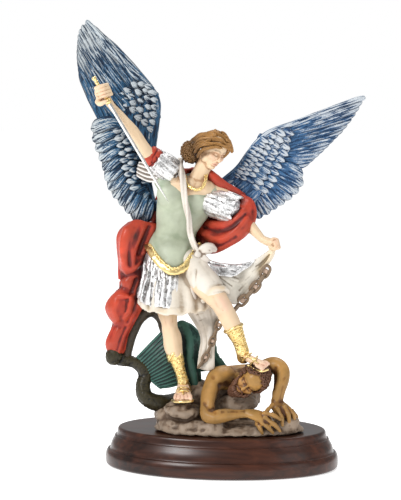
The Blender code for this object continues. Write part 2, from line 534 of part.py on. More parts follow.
def raised_wing(clay):
    face = (0.25, -1, 0.12)
    edge = [(-46.5, 11, 165, 2.9), (-45.5, 11, 181.5, 2.9), (-43.5, 11, 195.5, 2.7),
            (-41.5, 12, 205.5, 2.3), (-42, 13, 212, 2.3), (-44.5, 14, 218.5, 2.3), (-51, 15, 225.5, 2.2),
            (-59, 17, 232, 2.1), (-69, 20, 244, 2), (-77.5, 22, 253, 2), (-83.5, 24, 260, 2),
            (-88, 25, 264, 2)]
    tube(clay, edge, sides=8, rings=40)
    fan(clay, [(-46.5, 14, 219), (-54.5, 15, 224), (-61, 15, 221.5), (-63.5, 13, 215), (-64, 10, 207.5),
               (-62, 7, 198.5)], [(-89, 25, 265), (-92.5, 24, 258.5), (-94, 23, 250), (-93.5, 20, 239.5),
               (-92, 16, 230), (-88, 12, 221.5), (-84.5, 7, 213.5), (-80.5, 2, 204)], 9, 9.6, face, 1.3)
    web = [[(-44.5, 14, 219), (-42.5, 13, 210), (-44.5, 11, 196.5), (-46.5, 11, 181.5), (-46.5, 11, 165),
            (-41.5, 8, 141)], [(-56.5, 15, 221.5), (-55.5, 13, 211), (-57, 9, 196.5), (-57.5, 7, 181.5),
            (-55, 7, 163.5), (-49.5, 7, 143.5)], [(-65, 16, 221.5), (-65.5, 13, 211), (-68.5, 4, 197.5),
            (-67, 1, 182), (-64.5, 1, 165), (-55, 3, 145.5)]]
    cloth(clay, web, 3.4, 10, 22)
    # The lower feathers curl over toward the front
    fan(clay, [(-68, 2, 197), (-65, 1, 188), (-64, 0, 175.5), (-61.5, 1, 164), (-56.5, 3, 152.5),
               (-48.5, 5, 144.5)], [(-84.5, -2, 200), (-84.5, -3, 196.5), (-83, -4, 188.5),
               (-80, -4, 180), (-76.5, -3, 170), (-74.5, -2, 160.5), (-71, 0, 154.5), (-66.5, 2, 149),
               (-61.5, 4, 142), (-57.5, 5, 136.5), (-54, 6, 133.5), (-48.5, 8, 134)], 13, 8.4, face, 1.6,
               (0, -1.6, 1.6))
    left = (-0.85, -0.25, 0.35)
    for line, count, size in (
        ([(-51, 14, 222), (-46.5, 13, 216), (-45.5, 12, 208), (-47, 11, 201), (-48.5, 11, 194)], 6, 6.0),
        ([(-57.5, 15, 225.5), (-54.5, 14, 220.5), (-51, 13, 214), (-50.5, 12, 208), (-52, 10, 201)], 5,
         6.6),
        ([(-61.5, 15, 221), (-58.5, 13, 214), (-55.5, 12, 208), (-55.5, 10, 201.5)], 4, 6.6),
        ([(-65, 15, 218.5), (-62, 13, 214.5), (-59.5, 11, 208.5), (-58, 9, 203)], 4, 6.4),
    ):
        coverts(clay, line, count, left, size, face)
    down_left = (-0.9, -0.3, -0.15)
    for line, count, size in (
        ([(-70, 2, 197), (-68, 1, 190), (-66.5, 0, 183), (-65, 0, 176.5), (-63.5, 0, 170.5),
          (-60.5, 1, 163.5), (-57, 2, 156), (-52, 4, 148.5)], 9, 5.6),
        ([(-63.5, 4, 191), (-61.5, 3, 184), (-60, 3, 176), (-59, 3, 169.5), (-55.5, 4, 161),
          (-50.5, 6, 153)], 7, 5.2),
        ([(-57, 8, 188), (-55.5, 7, 178.5), (-53.5, 7, 167.5), (-48.5, 8, 155.5)], 6, 5.0),
    ):
        coverts(clay, line, count, down_left, size, face)
    away = (-0.25, 1, 0)
    for line, count, size in (
        ([(-49, 15, 221.5), (-44.5, 14, 211), (-46.5, 12, 197.5), (-48, 12, 181.5), (-48, 12, 161.5)], 8,
         9),
        ([(-59.5, 15, 220), (-56, 14, 208.5), (-57, 10, 194.5), (-57.5, 8, 178.5), (-55, 8, 158.5)], 8,
         9),
    ):
        coverts(clay, line, count, (-0.8, 0.2, -0.3), size, away)


def low_wing(clay):
    face = (-0.15, -1, 0.1)
    edge = [(0.5, 10, 159, 3.3), (11.5, 10, 169, 2.9), (18, 10, 178.5, 2.6), (24, 10, 186.5, 2.3),
            (32, 11, 193, 2.1), (44.5, 13, 197.5, 2), (57, 16, 202, 1.8), (73, 19, 208, 1.8),
            (88, 22, 213.5, 1.8), (93.5, 24, 215, 1.7)]
    tube(clay, edge, sides=8, rings=34)
    fan(clay, [(40.5, 12, 194.5), (44, 12, 190.5), (42.5, 12, 184), (41, 12, 177.5), (37.5, 11, 171)],
        [(93, 24, 214), (91, 23, 209.5), (86, 21, 202), (79.5, 19, 194), (74.5, 17, 188.5),
         (68.5, 15, 183), (61.5, 13, 176.5), (55, 12, 171.5)],
        9, 7.6, face, 1.2)
    web = [[(4, 10, 162), (12.5, 10, 169.5), (19, 10, 179), (25, 10, 186.5), (34, 11, 192.5),
            (44, 12, 195)], [(12, 9, 155.5), (19, 9, 162), (24.5, 9, 169.5), (30.5, 10, 177.5),
            (36, 11, 184), (44, 12, 188)], [(20, 8, 145.5), (24.5, 8, 150), (29.5, 9, 158),
            (35, 10, 167), (40, 11, 175), (44.5, 12, 181.5)]]
    cloth(clay, web, 3.2, 18, 10)
    fan(clay, [(37, 10, 170.5), (35, 9, 164), (31, 8, 157), (27.5, 8, 151), (24, 8, 146.5),
               (20, 8, 143.5)], [(52.5, 11, 167), (54, 10, 162), (52, 10, 156.5), (48, 9, 153.5),
               (42.5, 8, 149.5), (39, 8, 147), (33.5, 8, 143.5), (29.5, 8, 139.5), (26, 8, 137.5),
               (22, 8, 136.5)], 9, 7.8, face, 1.5, (0, -0.8, -0.6))
    way = (0.8, 0.1, -0.45)
    for line, count, size in (
        ([(44.5, 12, 195), (42.5, 12, 188.5), (41.5, 12, 182), (39, 11, 176), (35.5, 10, 169.5),
          (33.5, 9, 163), (30.5, 9, 158), (26.5, 9, 153.5)], 9, 5.4),
        ([(39.5, 12, 194.5), (37, 11, 188), (34, 11, 180.5), (31, 10, 174), (28.5, 9, 167), (25, 9, 161),
          (21, 9, 155.5)], 9, 5.2),
        ([(33.5, 11, 192), (31, 11, 185.5), (27, 10, 179), (23, 10, 172.5), (20, 9, 166),
          (16.5, 9, 159.5)], 8, 4.8),
        ([(27, 10, 186.5), (22.5, 10, 179.5), (18, 10, 172.5), (14, 10, 165.5), (11, 10, 159)], 8, 4.4),
    ):
        coverts(clay, line, count, way, size, face)
    away = (0.15, 1, 0)
    for line, count, size in (
        ([(40.5, 12, 191.5), (37, 11, 180), (30.5, 10, 168.5), (22.5, 9, 156.5)], 7, 8),
        ([(30.5, 11, 189), (24, 10, 179), (16, 10, 167)], 6, 8),
    ):
        coverts(clay, line, count, (0.7, 0.1, -0.5), size, away)


def wings(clay):
    raised_wing(clay)
    low_wing(clay)
    # Roots of the wings between the shoulder blades
    tube(clay, [(-28.5, 8, 149, 5.9), (-37, 11, 145.5, 5.2), (-45.5, 11, 145.5, 3.9)], sides=10)
    tube(clay, [(-16.5, 8, 151.5, 5.9), (-4, 10, 155, 4.6), (5.5, 10, 160.5, 3.3)], sides=10)


def demon(clay):
    tube(clay, [(28, -2, 37, 5.9), (15.5, 1, 33, 8.5), (0.5, -4, 33, 7.8)], sides=12)
    body = [(15, 0, 30, 8.5), (6, 12, 25, 9.3), (-7.5, 20, 19.5, 8.6), (-19.5, 20, 15.5, 7.3),
            (-30, 10, 14.5, 6.3), (-38.5, -1, 16, 5.6), (-45.5, -3, 18, 5.2), (-50, -2, 21.5, 5),
            (-51, 0, 28, 4.6), (-49.5, 2, 34, 4.3), (-52.5, 2, 40, 3.9), (-58.5, 2, 43.5, 3.4),
            (-65, 2, 45, 4.3), (-70.5, 2, 47.5, 5.9)]
    tube(clay, body, sides=10, rings=46)
    blob(clay, (-70.5, -1, 47.5), (5.6, 5.2, 6.6), (0, 15, 0))
    for spike in range(26):
        share = spike / 25
        along = through(body, 80)[int(36 + share * 42)]
        ahead = through(body, 80)[min(int(36 + share * 42) + 1, 79)]
        outward = unit(np.cross(ahead[:3] - along[:3], (0, 1, 0)))
        blob(clay, along[:3] + outward * along[3] * 0.95, (1.3, 1.3, 1.3), detail=1)
    draw = random.Random(9)
    for curl in range(12):
        angle = math.radians(137.5 * curl)
        blob(clay, np.array((-70.5, 2, 47.5)) + (4.6 * math.cos(angle), -2 - 4.5 * draw.random(),
            5.6 * math.sin(angle)), [2.2] * 3, detail=1)
    resting_arm = [(1.5, -6, 35, 7.2), (-5, -12, 32, 6.5), (-7.5, -18, 25, 5.4), (-9, -24, 18.5, 4.9),
                   (-9, -28, 12.5, 4.8), (-2.5, -30, 12.5, 4.4), (5.5, -31, 14, 3.9),
                   (12.5, -31, 15, 3.1), (17, -31, 15, 3)]
    tube(clay, resting_arm, sides=12, rings=26)
    raised_arm = [(24, -2, 35.5, 5.9), (30.5, -8, 40.5, 5.6), (37, -14, 42.5, 5.6), (38, -18, 35.5, 5.2),
                  (36.5, -21, 28.5, 4.7), (36, -23, 21.5, 3.9)]
    tube(clay, raised_arm, sides=12, rings=20)
    tube(clay, [(16, -31, 15, 3.2), (20.5, -32, 14.5, 4.5), (25, -32.5, 13, 4.8),
                (28.5, -32, 11.5, 3.9)], sides=10, face=(0.2, -0.6, 1), flat=0.6)
    tube(clay, [(35.5, -23, 21.5, 3.9), (36.5, -25, 18.5, 4.9), (39.5, -26, 16, 5.2)], sides=10,
         face=(0.2, -1, 0.4), flat=0.6)
    fingers = (
        ((27.5, -34, 16), (33.5, -35.5, 14.5), (37.5, -34, 11.5)),
        ((27.5, -35, 13), (33.5, -36.5, 9), (37.5, -34.5, 4)),
        ((25.5, -35, 10), (29.5, -36.5, 7), (33, -34.5, 3)), ((22.5, -33.5, 8.5), (24.5, -35, 6),
            (26, -34, 2.5)),
        ((36, -29, 17), (38.5, -31.5, 12.5), (39, -31, 7)), ((40.5, -28, 18.5), (43, -30, 13.5),
            (43.5, -29, 6.5)),
        ((43.5, -25, 17), (46.5, -27, 13), (46.5, -26, 6.5)), ((45.5, -22, 15), (48, -23, 11.5),
            (48.5, -22, 7)),
        ((32.5, -26, 19.5), (29.5, -30, 17), (28.5, -32, 15)),
    )
    for root, middle, tip in fingers:
        tube(clay, [(*root, 1.7), (*middle, 1.7), (*tip, 1.25)], sides=8, rings=7)
    # Bearded head pressed down under the foot: the same plain skull, with hair and beard in curls
    DEMON_HEAD.skull(clay)
    for curl in range(64):
        angle, share = math.radians(137.5 * curl), (curl + 0.5) / 64
        rise = 1 - 1.5 * share
        round_it = math.sqrt(max(0.0, 1 - rise * rise))
        way = np.array((-rise * 0.35 + round_it * math.cos(angle), round_it * math.sin(angle), rise))
        if way[0] > 0.45 and rise < 0.62:
            continue
        DEMON_HEAD.lump(clay, np.array((10.2, 8.6, 9.6)) * unit(way) + (-1.0, 0, 2.0),
                        [1.9 + 0.5 * draw.random()] * 3, 1)
    for curl in range(26):
        around = math.radians(-100 + 200 * (curl % 13) / 12)
        low = -5.5 - 3.2 * (curl // 13) - 2.5 * math.cos(around)
        DEMON_HEAD.lump(clay, (4.0 + 4.6 * math.cos(around), 6.0 * math.sin(around), low),
                        [1.7 + 0.5 * draw.random()] * 3, 1)


def demon_wings(clay):
    # Ribbed web beside the weight-bearing leg
    cloth(clay, [
        [(-56, 2, 45), (-48.5, 2, 54), (-42, 3, 60.5), (-36.5, 4, 66.5)],
        [(-50.5, 1, 38.5), (-43.5, 0, 47), (-37, 0, 53.5), (-31, 1, 57.5)],
        [(-47, 1, 31), (-39.5, -1, 37.5), (-33, -1, 43.5), (-27, 0, 47)],
        [(-40.5, 1, 25.5), (-35, -1, 26), (-28.5, -1, 27.5), (-22, 0, 28.5)],
    ], 2.8, 12, 12, lambda u, v: 0.5 * math.sin(16 * math.pi * u))
    tube(clay, [(-62, 2, 48, 3.3), (-60, 2, 56.5, 3.3), (-57.5, 2, 64, 3.6), (-54.5, 3, 70.5, 3.9),
                (-49.5, 4, 75.5, 4.3), (-44, 5, 75.5, 3.9), (-40, 4, 71, 3), (-38, 2, 64, 2.6)],
                sides=10, rings=24)
    # Upright web between the legs
    cloth(clay, [
        [(-31, 6, 67.5), (-28, 5, 57), (-26.5, 4, 44), (-23, 3, 30.5), (-20.5, 2, 20)],
        [(-26, 3, 70.5), (-21, 1, 57.5), (-20.5, 0, 44.5), (-18, 0, 31), (-16.5, 0, 20.5)],
        [(-20.5, 4, 67), (-14.5, 3, 57), (-16.5, 3, 45.5), (-14, 3, 32), (-14, 3, 21.5)],
    ], 3.0, 12, 10)
    cloth(clay, [
        [(-14, 6, 63.5), (-9, 6, 62), (-4, 6, 58)],
        [(-14, 6, 50), (-8, 6, 49.5), (-3, 5, 47.5)],
        [(-14, 6, 35.5), (-6, 5, 36.5), (3.5, 3, 38.5)],
    ], 2.8, 8, 8)


def rock(clay):
    draw = random.Random(12)
    footprint = [(-44, -8), (-40, -19), (-27, -29), (-8, -34), (12, -35), (30, -33), (40, -28),
                 (50, -22), (54, -14), (48, -4), (38, 8), (22, 20), (0, 27), (-22, 24), (-38, 12)]
    outline = through([(x, y, 0) for x, y in footprint + footprint[:1]], 41)[:-1]
    rings = []
    for height, share in ((-3, 0.99), (2.5, 1.0), (5.5, 0.965), (8.0, 0.90), (9.5, 0.7)):
        ring = []
        for x, y, _ in outline:
            rough = 1 + 0.018 * (draw.random() - 0.5)
            lower = 0.62 if x > 0 else 1.0
            ring.append((3 + (x - 3) * share * rough, -4 + (y + 4) * share * rough,
                         height * (lower if height > 0 else 1)))
        rings.append(ring)
    ring_faces(clay, rings)
    # The block under the planted foot, and lumps that carry the demon
    blob(clay, (-25.5, -19, 14.5), (12.5, 11, 5.2), (0, 4, 6))
    blob(clay, (-25, -6, 11), (15, 15, 7.5), (6, 4, 0))
    blob(clay, (-35, -2, 9), (9, 13, 7))
    blob(clay, (-16.5, 4, 18.5), (11, 12, 13))
    blob(clay, (9.5, -8, 16.5), (13.5, 9, 6.2))
    blob(clay, (6, 10, 18.5), (20, 12, 15))
    blob(clay, (42, -24, 6.5), (7.2, 7.5, 6.4))
    blob(clay, (40.5, -20, 11), (8, 7, 5.5))
    blob(clay, (-14, 10, 6.5), (27, 14, 13))


def make_sword():
    pommel, tip = Vector(SWORD_POMMEL) * MILLIMETRE, Vector(SWORD_TIP) * MILLIMETRE
    along = (tip - pommel).normalized()
    tip = pommel + along * SWORD_LENGTH
    guard = pommel + along * GRIP_LENGTH
    across = along.cross(Vector((0, -1, 0))).normalized()
    face = across.cross(along).normalized()
    blade = bmesh.new()

    def section(centre, half_width, half_thick, sides=8):
        ring = []
        for side in range(sides):
            angle = 2 * math.pi * side / sides
            ring.append(blade.verts.new(centre + across * half_width * math.cos(angle)
                                        + face * half_thick * math.sin(angle)))
        return ring

    rings = []
    for reach, radius in ((-0.0014, 0.5), (-0.0004, 1.15), (0.0008, 1.15), (0.0020, 0.9), (0.004, 1.0)):
        rings.append(section(pommel + along * reach, GRIP_RADIUS * radius, GRIP_RADIUS * radius))
    rings.append(section(guard - along * 0.0012, GRIP_RADIUS, GRIP_RADIUS))
    rings.append(section(guard - along * 0.0008, GUARD_RADIUS, GUARD_RADIUS * 0.8))
    rings.append(section(guard + along * 0.0008, GUARD_RADIUS, GUARD_RADIUS * 0.8))
    rings.append(section(guard + along * 0.0012, BLADE_WIDTH / 2, BLADE_THICKNESS / 2))
    rings.append(section(tip - along * 0.020, BLADE_WIDTH * 0.40, BLADE_THICKNESS / 2))
    rings.append(section(tip - along * 0.004, BLADE_WIDTH * 0.17, BLADE_THICKNESS / 3))
    rings.append(section(tip, BLADE_WIDTH * 0.05, BLADE_THICKNESS / 8))
    for low, high in zip(rings, rings[1:]):
        for i in range(8):
            blade.faces.new((low[i], low[(i + 1) % 8], high[(i + 1) % 8], high[i]))
    blade.faces.new(rings[0])
    blade.faces.new(rings[-1])
    bmesh.ops.recalc_face_normals(blade, faces=blade.faces)
    mesh = bpy.data.meshes.new("sword")
    blade.to_mesh(mesh)
    blade.free()
    sword = bpy.data.objects.new("sword", mesh)
    mesh.materials.append(finish_of("polished steel", STEEL_COLOUR, 0.25, 1.0))
    bpy.context.collection.objects.link(sword)
    return sword


def cutter_from(clay, name):
    bmesh.ops.recalc_face_normals(clay, faces=clay.faces)
    mesh = bpy.data.meshes.new(name)
    clay.to_mesh(mesh)
    clay.free()
    cutter = bpy.data.objects.new(name, mesh)
    cutter.hide_render = True
    cutter.display_type = "WIRE"
    bpy.context.collection.objects.link(cutter)
    return cutter


# The channel through the fist, wider than the sword all round
def make_sword_channel():
    pommel, tip = Vector(SWORD_POMMEL) * MILLIMETRE, Vector(SWORD_TIP) * MILLIMETRE
    along = (tip - pommel).normalized()
    clay = bmesh.new()
    wide = GUARD_RADIUS + SWORD_CLEARANCE
    narrow = GRIP_RADIUS * 1.15 + SWORD_CLEARANCE
    blade = BLADE_WIDTH / 2 + SWORD_CLEARANCE
    stations = ((-0.010, narrow), (GRIP_LENGTH - 0.0013, narrow), (GRIP_LENGTH - 0.0012, wide),
                (GRIP_LENGTH + 0.0016, wide), (GRIP_LENGTH + 0.0017, blade),
                (SWORD_LENGTH + 0.004, blade))
    rings = []
    across = along.cross(Vector((0, -1, 0))).normalized()
    face = across.cross(along).normalized()
    for reach, radius in stations:
        centre = pommel + along * reach
        ring = []
        for side in range(12):
            angle = 2 * math.pi * side / 12
            ring.append(clay.verts.new(centre + (across * math.cos(angle)
                + face * math.sin(angle)) * radius * 1.04))
        rings.append(ring)
    for low, high in zip(rings, rings[1:]):
        for i in range(12):
            clay.faces.new((low[i], low[(i + 1) % 12], high[(i + 1) % 12], high[i]))
    clay.faces.new(rings[0])
    clay.faces.new(rings[-1])
    return cutter_from(clay, "sword_channel")


# A block that trims the casting flat where it seats on the plinth
def make_seat_trim():
    clay = bmesh.new()
    block = FIGURE_HEIGHT
    size = Matrix.Diagonal((block, block, block / 4, 1))
    bmesh.ops.create_cube(clay, size=1, matrix=Matrix.Translation((0, 0, -block / 8)) @ size)
    return cutter_from(clay, "seat_trim")


# The casting is solid: of the fused skins the outer one is kept, and the voids inside are filled
def outer_skin(fused):
    skin = bmesh.new()
    skin.from_mesh(fused)
    waiting = set(skin.verts)
    shells = []
    while waiting:
        front = [waiting.pop()]
        shell = set(front)
        while front:
            for edge in front.pop().link_edges:
                for vert in edge.verts:
                    if vert in waiting:
                        waiting.remove(vert)
                        shell.add(vert)
                        front.append(vert)
        shells.append(shell)
    outer = max(shells, key=len)
    for shell in shells:
        if shell is not outer:
            bmesh.ops.delete(skin, geom=list(shell), context="VERTS")
    skin.to_mesh(fused)
    skin.free()


def pinched(mesh):
    """True where thinning the faces has left two walls meeting in one edge."""
    skin = bmesh.new()
    skin.from_mesh(mesh)
    ends = [frozenset(vert.index for vert in edge.verts) for edge in skin.edges]
    faulty = len(set(ends)) < len(ends) or any(len(edge.link_faces) != 2 for edge in skin.edges)
    skin.free()
    return faulty


def evaluated(casting):
    depsgraph = bpy.context.evaluated_depsgraph_get()
    return bpy.data.meshes.new_from_object(casting.evaluated_get(depsgraph))


def make_figure():
    clay = bmesh.new()
    for shape in (archangel, head, armour, skirt, drapery, chain, cape, wings, demon, demon_wings, rock):
        shape(clay)
    bmesh.ops.recalc_face_normals(clay, faces=clay.faces)
    mesh = bpy.data.meshes.new("figure")
    clay.to_mesh(mesh)
    clay.free()
    figure = bpy.data.objects.new("figure", mesh)
    mesh.materials.append(finish_of("painted resin", RESIN_COLOUR, 0.5))
    bpy.context.collection.objects.link(figure)
    fuse = figure.modifiers.new("fuse the forms", "REMESH")
    fuse.mode = "VOXEL"
    fuse.voxel_size = CASTING_GRAIN
    figure.data = evaluated(figure)
    figure.modifiers.clear()
    outer_skin(figure.data)
    fewer = figure.modifiers.new("fewer faces", "DECIMATE")
    for cutter in (make_seat_trim(), make_sword_channel()):
        cut = figure.modifiers.new(cutter.name, "BOOLEAN")
        cut.operation = "DIFFERENCE"
        cut.solver = "EXACT"
        cut.object = cutter
        cutter.parent = figure
    # A slightly different share of faces is tried while thin walls meet in an edge
    for trial in range(12):
        fewer.ratio = CASTING_FACES_KEPT * (1 - 0.006 * trial)
        if not pinched(evaluated(figure)):
            break
    return figure


def main():
    clear_scene()
    make_plinth()
    group = bpy.data.objects.new("figure_seat", None)
    bpy.context.collection.objects.link(group)
    figure = make_figure()
    sword = make_sword()
    figure.parent = group
    sword.parent = group
    group.location = (0, 0, PLINTH_HEIGHT + SEAT_GAP)
    group.rotation_euler = (0, 0, FIGURE_TURN)


main()
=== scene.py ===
"""Looks of a painted archangel statue: every visible piece of the casting, its plinth and its sword.

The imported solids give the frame. Points of the figure are millimetres on its seat, x to the viewer's
right, y away from the viewer and z up, and to_frame sets them in the frame.
"""

import math
import random

import bpy
import numpy as np
from mathutils import Matrix, Vector, noise


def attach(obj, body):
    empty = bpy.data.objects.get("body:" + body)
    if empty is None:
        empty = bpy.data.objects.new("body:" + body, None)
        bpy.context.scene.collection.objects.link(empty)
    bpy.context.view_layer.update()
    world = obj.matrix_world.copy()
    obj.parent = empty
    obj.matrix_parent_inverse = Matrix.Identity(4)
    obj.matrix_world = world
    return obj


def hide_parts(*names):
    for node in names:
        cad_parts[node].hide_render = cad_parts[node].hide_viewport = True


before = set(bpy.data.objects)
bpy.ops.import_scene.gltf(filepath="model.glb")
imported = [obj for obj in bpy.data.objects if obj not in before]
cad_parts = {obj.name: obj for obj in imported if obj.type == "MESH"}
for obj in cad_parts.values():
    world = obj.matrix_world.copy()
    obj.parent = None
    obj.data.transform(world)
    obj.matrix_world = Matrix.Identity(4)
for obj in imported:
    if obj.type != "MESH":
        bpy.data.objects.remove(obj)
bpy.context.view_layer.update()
bpy.ops.object.select_all(action="DESELECT")

# ---- Plinth ----
# Oval base of red-brown stained hardwood under satin varnish: turned, then moulded with a round foot,
# an ogee and a cove, all as one piece. The casting stands on its flat top.

PLINTH_WIDTH, PLINTH_DEPTH, PLINTH_HEIGHT = 0.1535, 0.0985, 0.0247
plinth_section = [(0.0003, 0.0010), (0.0000, 0.0030), (0.0000, 0.0062), (0.0005, 0.0086), (0.0015, 0.0100),
    (0.0028, 0.0104), (0.0031, 0.0110), (0.0033, 0.0120), (0.0038, 0.0140), (0.0047, 0.0160),
    (0.0057, 0.0178), (0.0062, 0.0190), (0.0072, 0.0193), (0.0075, 0.0198), (0.0079, 0.0214),
    (0.0081, 0.0230), (0.0084, 0.0238), (0.0089, 0.0244), (0.0097, PLINTH_HEIGHT)]
half_width, half_depth, first_inset = PLINTH_WIDTH / 2, PLINTH_DEPTH / 2, 0.0012
bpy.ops.mesh.primitive_circle_add(vertices=160, radius=1, fill_type="NGON", location=(0, 0, 0))
plinth = bpy.context.object
plinth.name = "turned_plinth"
plinth.scale = (half_width - first_inset, half_depth - first_inset, 1)
bpy.ops.object.transform_apply(location=True, rotation=True, scale=True)
bpy.ops.object.mode_set(mode="EDIT")
bpy.ops.mesh.select_all(action="SELECT")
height_now, inset_now = 0.0, first_inset
for inset, height in plinth_section:
    wide = (half_width - inset) / (half_width - inset_now)
    deep = (half_depth - inset) / (half_depth - inset_now)
    bpy.ops.mesh.extrude_region_move(TRANSFORM_OT_translate={"value": (0, 0, height - height_now)})
    bpy.ops.transform.resize(value=(wide, deep, 1))
    height_now, inset_now = height, inset
for share in (0.985, 0.7, 0.35):
    bpy.ops.mesh.inset(thickness=(1 - share) * 0.02, use_even_offset=False)
bpy.ops.mesh.select_all(action="SELECT")
bpy.ops.mesh.normals_make_consistent(inside=False)
bpy.ops.object.mode_set(mode="OBJECT")
bpy.ops.object.shade_smooth_by_angle(angle=math.radians(32))


def node_of(tree, kind, inputs=None, **settings):
    node = tree.nodes.new(kind)
    for name, value in settings.items():
        setattr(node, name, value)
    for name, value in (inputs or {}).items():
        if hasattr(value, "is_output"):
            tree.links.new(value, node.inputs[name])
        else:
            node.inputs[name].default_value = value
    return node


def sums_of(tree):
    """Two shorthands for a node tree: one sum of two values, and a soft step from low to high."""

    def maths(kind, a, b, clamp=False):
        return node_of(tree, "ShaderNodeMath", {0: a, 1: b}, operation=kind, use_clamp=clamp).outputs[0]

    def spread(value, low, high, start=0.0, end=1.0):
        return node_of(tree, "ShaderNodeMapRange", {"Value": value, "From Min": low, "From Max": high,
            "To Min": start, "To Max": end}, interpolation_type="SMOOTHSTEP").outputs["Result"]

    return maths, spread


PAINT_IOR, VARNISH_IOR = 1.35, 1.3


def finish(name, roughness=0.5, metallic=0.0, coat=0.0):
    """A new material and its shader, with the plain values on the shader's own sockets."""
    material = bpy.data.materials.new(name)
    material.use_nodes = True
    shader = material.node_tree.nodes["Principled BSDF"]
    shader.inputs["Roughness"].default_value = roughness
    shader.inputs["Metallic"].default_value = metallic
    shader.inputs["IOR"].default_value = PAINT_IOR
    shader.inputs["Coat Weight"].default_value = coat
    shader.inputs["Coat IOR"].default_value = VARNISH_IOR
    shader.inputs["Coat Roughness"].default_value = 0.2
    return material, material.node_tree, shader


def ramp_of(tree, factor, *stops):
    ramp = node_of(tree, "ShaderNodeValToRGB", {"Fac": factor})
    for index, (place, colour) in enumerate(stops):
        stop = ramp.color_ramp.elements[index] if index < 2 else ramp.color_ramp.elements.new(place)
        stop.position, stop.color = place, (*colour, 1)
    return ramp.outputs["Color"]


walnut, tree, shader = finish("stained varnished wood", 0.3, coat=0.5)
spot = node_of(tree, "ShaderNodeTexCoord").outputs["Object"]
lie = node_of(tree, "ShaderNodeMapping", {"Vector": spot, "Scale": (26, 300, 300)}).outputs["Vector"]
grain = node_of(tree, "ShaderNodeTexNoise", {"Vector": lie, "Scale": 1.0, "Detail": 6.0, "Distortion": 0.6})
figure_lie = node_of(tree, "ShaderNodeMapping", {"Vector": spot, "Scale": (9, 60, 60)}).outputs["Vector"]
cloud = node_of(tree, "ShaderNodeTexNoise", {"Vector": figure_lie, "Scale": 1.0, "Detail": 2.0})
maths, _ = sums_of(tree)
streak = maths("MULTIPLY", maths("ADD", grain.outputs["Fac"], cloud.outputs["Fac"]), 0.5)
tree.links.new(ramp_of(tree, streak, (0.36, (0.012, 0.0035, 0.0018)), (0.66, (0.075, 0.021, 0.009)),
    (0.5, (0.036, 0.0100, 0.0045))), shader.inputs["Base Color"])
rough = node_of(tree, "ShaderNodeMapRange", {"Value": grain.outputs["Fac"], "To Min": 0.24, "To Max": 0.42})
tree.links.new(rough.outputs["Result"], shader.inputs["Roughness"])
bump = node_of(tree, "ShaderNodeBump", {"Height": grain.outputs["Fac"], "Strength": 0.12, "Distance": 0.0002})
tree.links.new(bump.outputs["Normal"], shader.inputs["Normal"])
plinth.data.materials.append(walnut)
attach(plinth, "root")
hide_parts("wooden_plinth")

# ---- Sword ----
# Thin plated steel blade with a middle ridge, and a gilt grip with a small round guard and pommel. It is
# pushed through the raised fist from above.


def unit(vector):
    return vector / max(np.linalg.norm(vector), 1e-9)


def through(points, count):
    """A smooth curve through given points; a radius may ride along as a fourth number."""
    given = np.array(points, float)
    padded = np.vstack([2 * given[0] - given[1], given, 2 * given[-1] - given[-2]])
    reach = np.linalg.norm(np.diff(given[:, :3], axis=0), axis=1)
    stations = np.concatenate([[0], np.cumsum(reach)])
    distance = np.linspace(0, stations[-1], count)
    span = np.clip(np.searchsorted(stations, distance, side="right") - 1, 0, len(reach) - 1)
    t = ((distance - stations[span]) / np.maximum(reach[span], 1e-9))[:, None]
    a, b, c, d = (padded[span + i] for i in range(4))
    return 0.5 * (2 * b + (c - a) * t + (2 * a - 5 * b + 4 * c - d) * t**2 + (3 * b - a - 3 * c + d) * t**3)


def round_rings(steps):
    """Rings of a ball of radius 1, from its foot to its top."""
    rise = np.linspace(-88, 88, steps) * math.pi / 180
    angles = np.arange(2 * steps) * math.pi / steps
    return np.stack([np.outer(np.cos(rise), np.cos(angles)), np.outer(np.cos(rise), np.sin(angles)),
        np.outer(np.sin(rise), np.ones(len(angles)))], axis=-1)


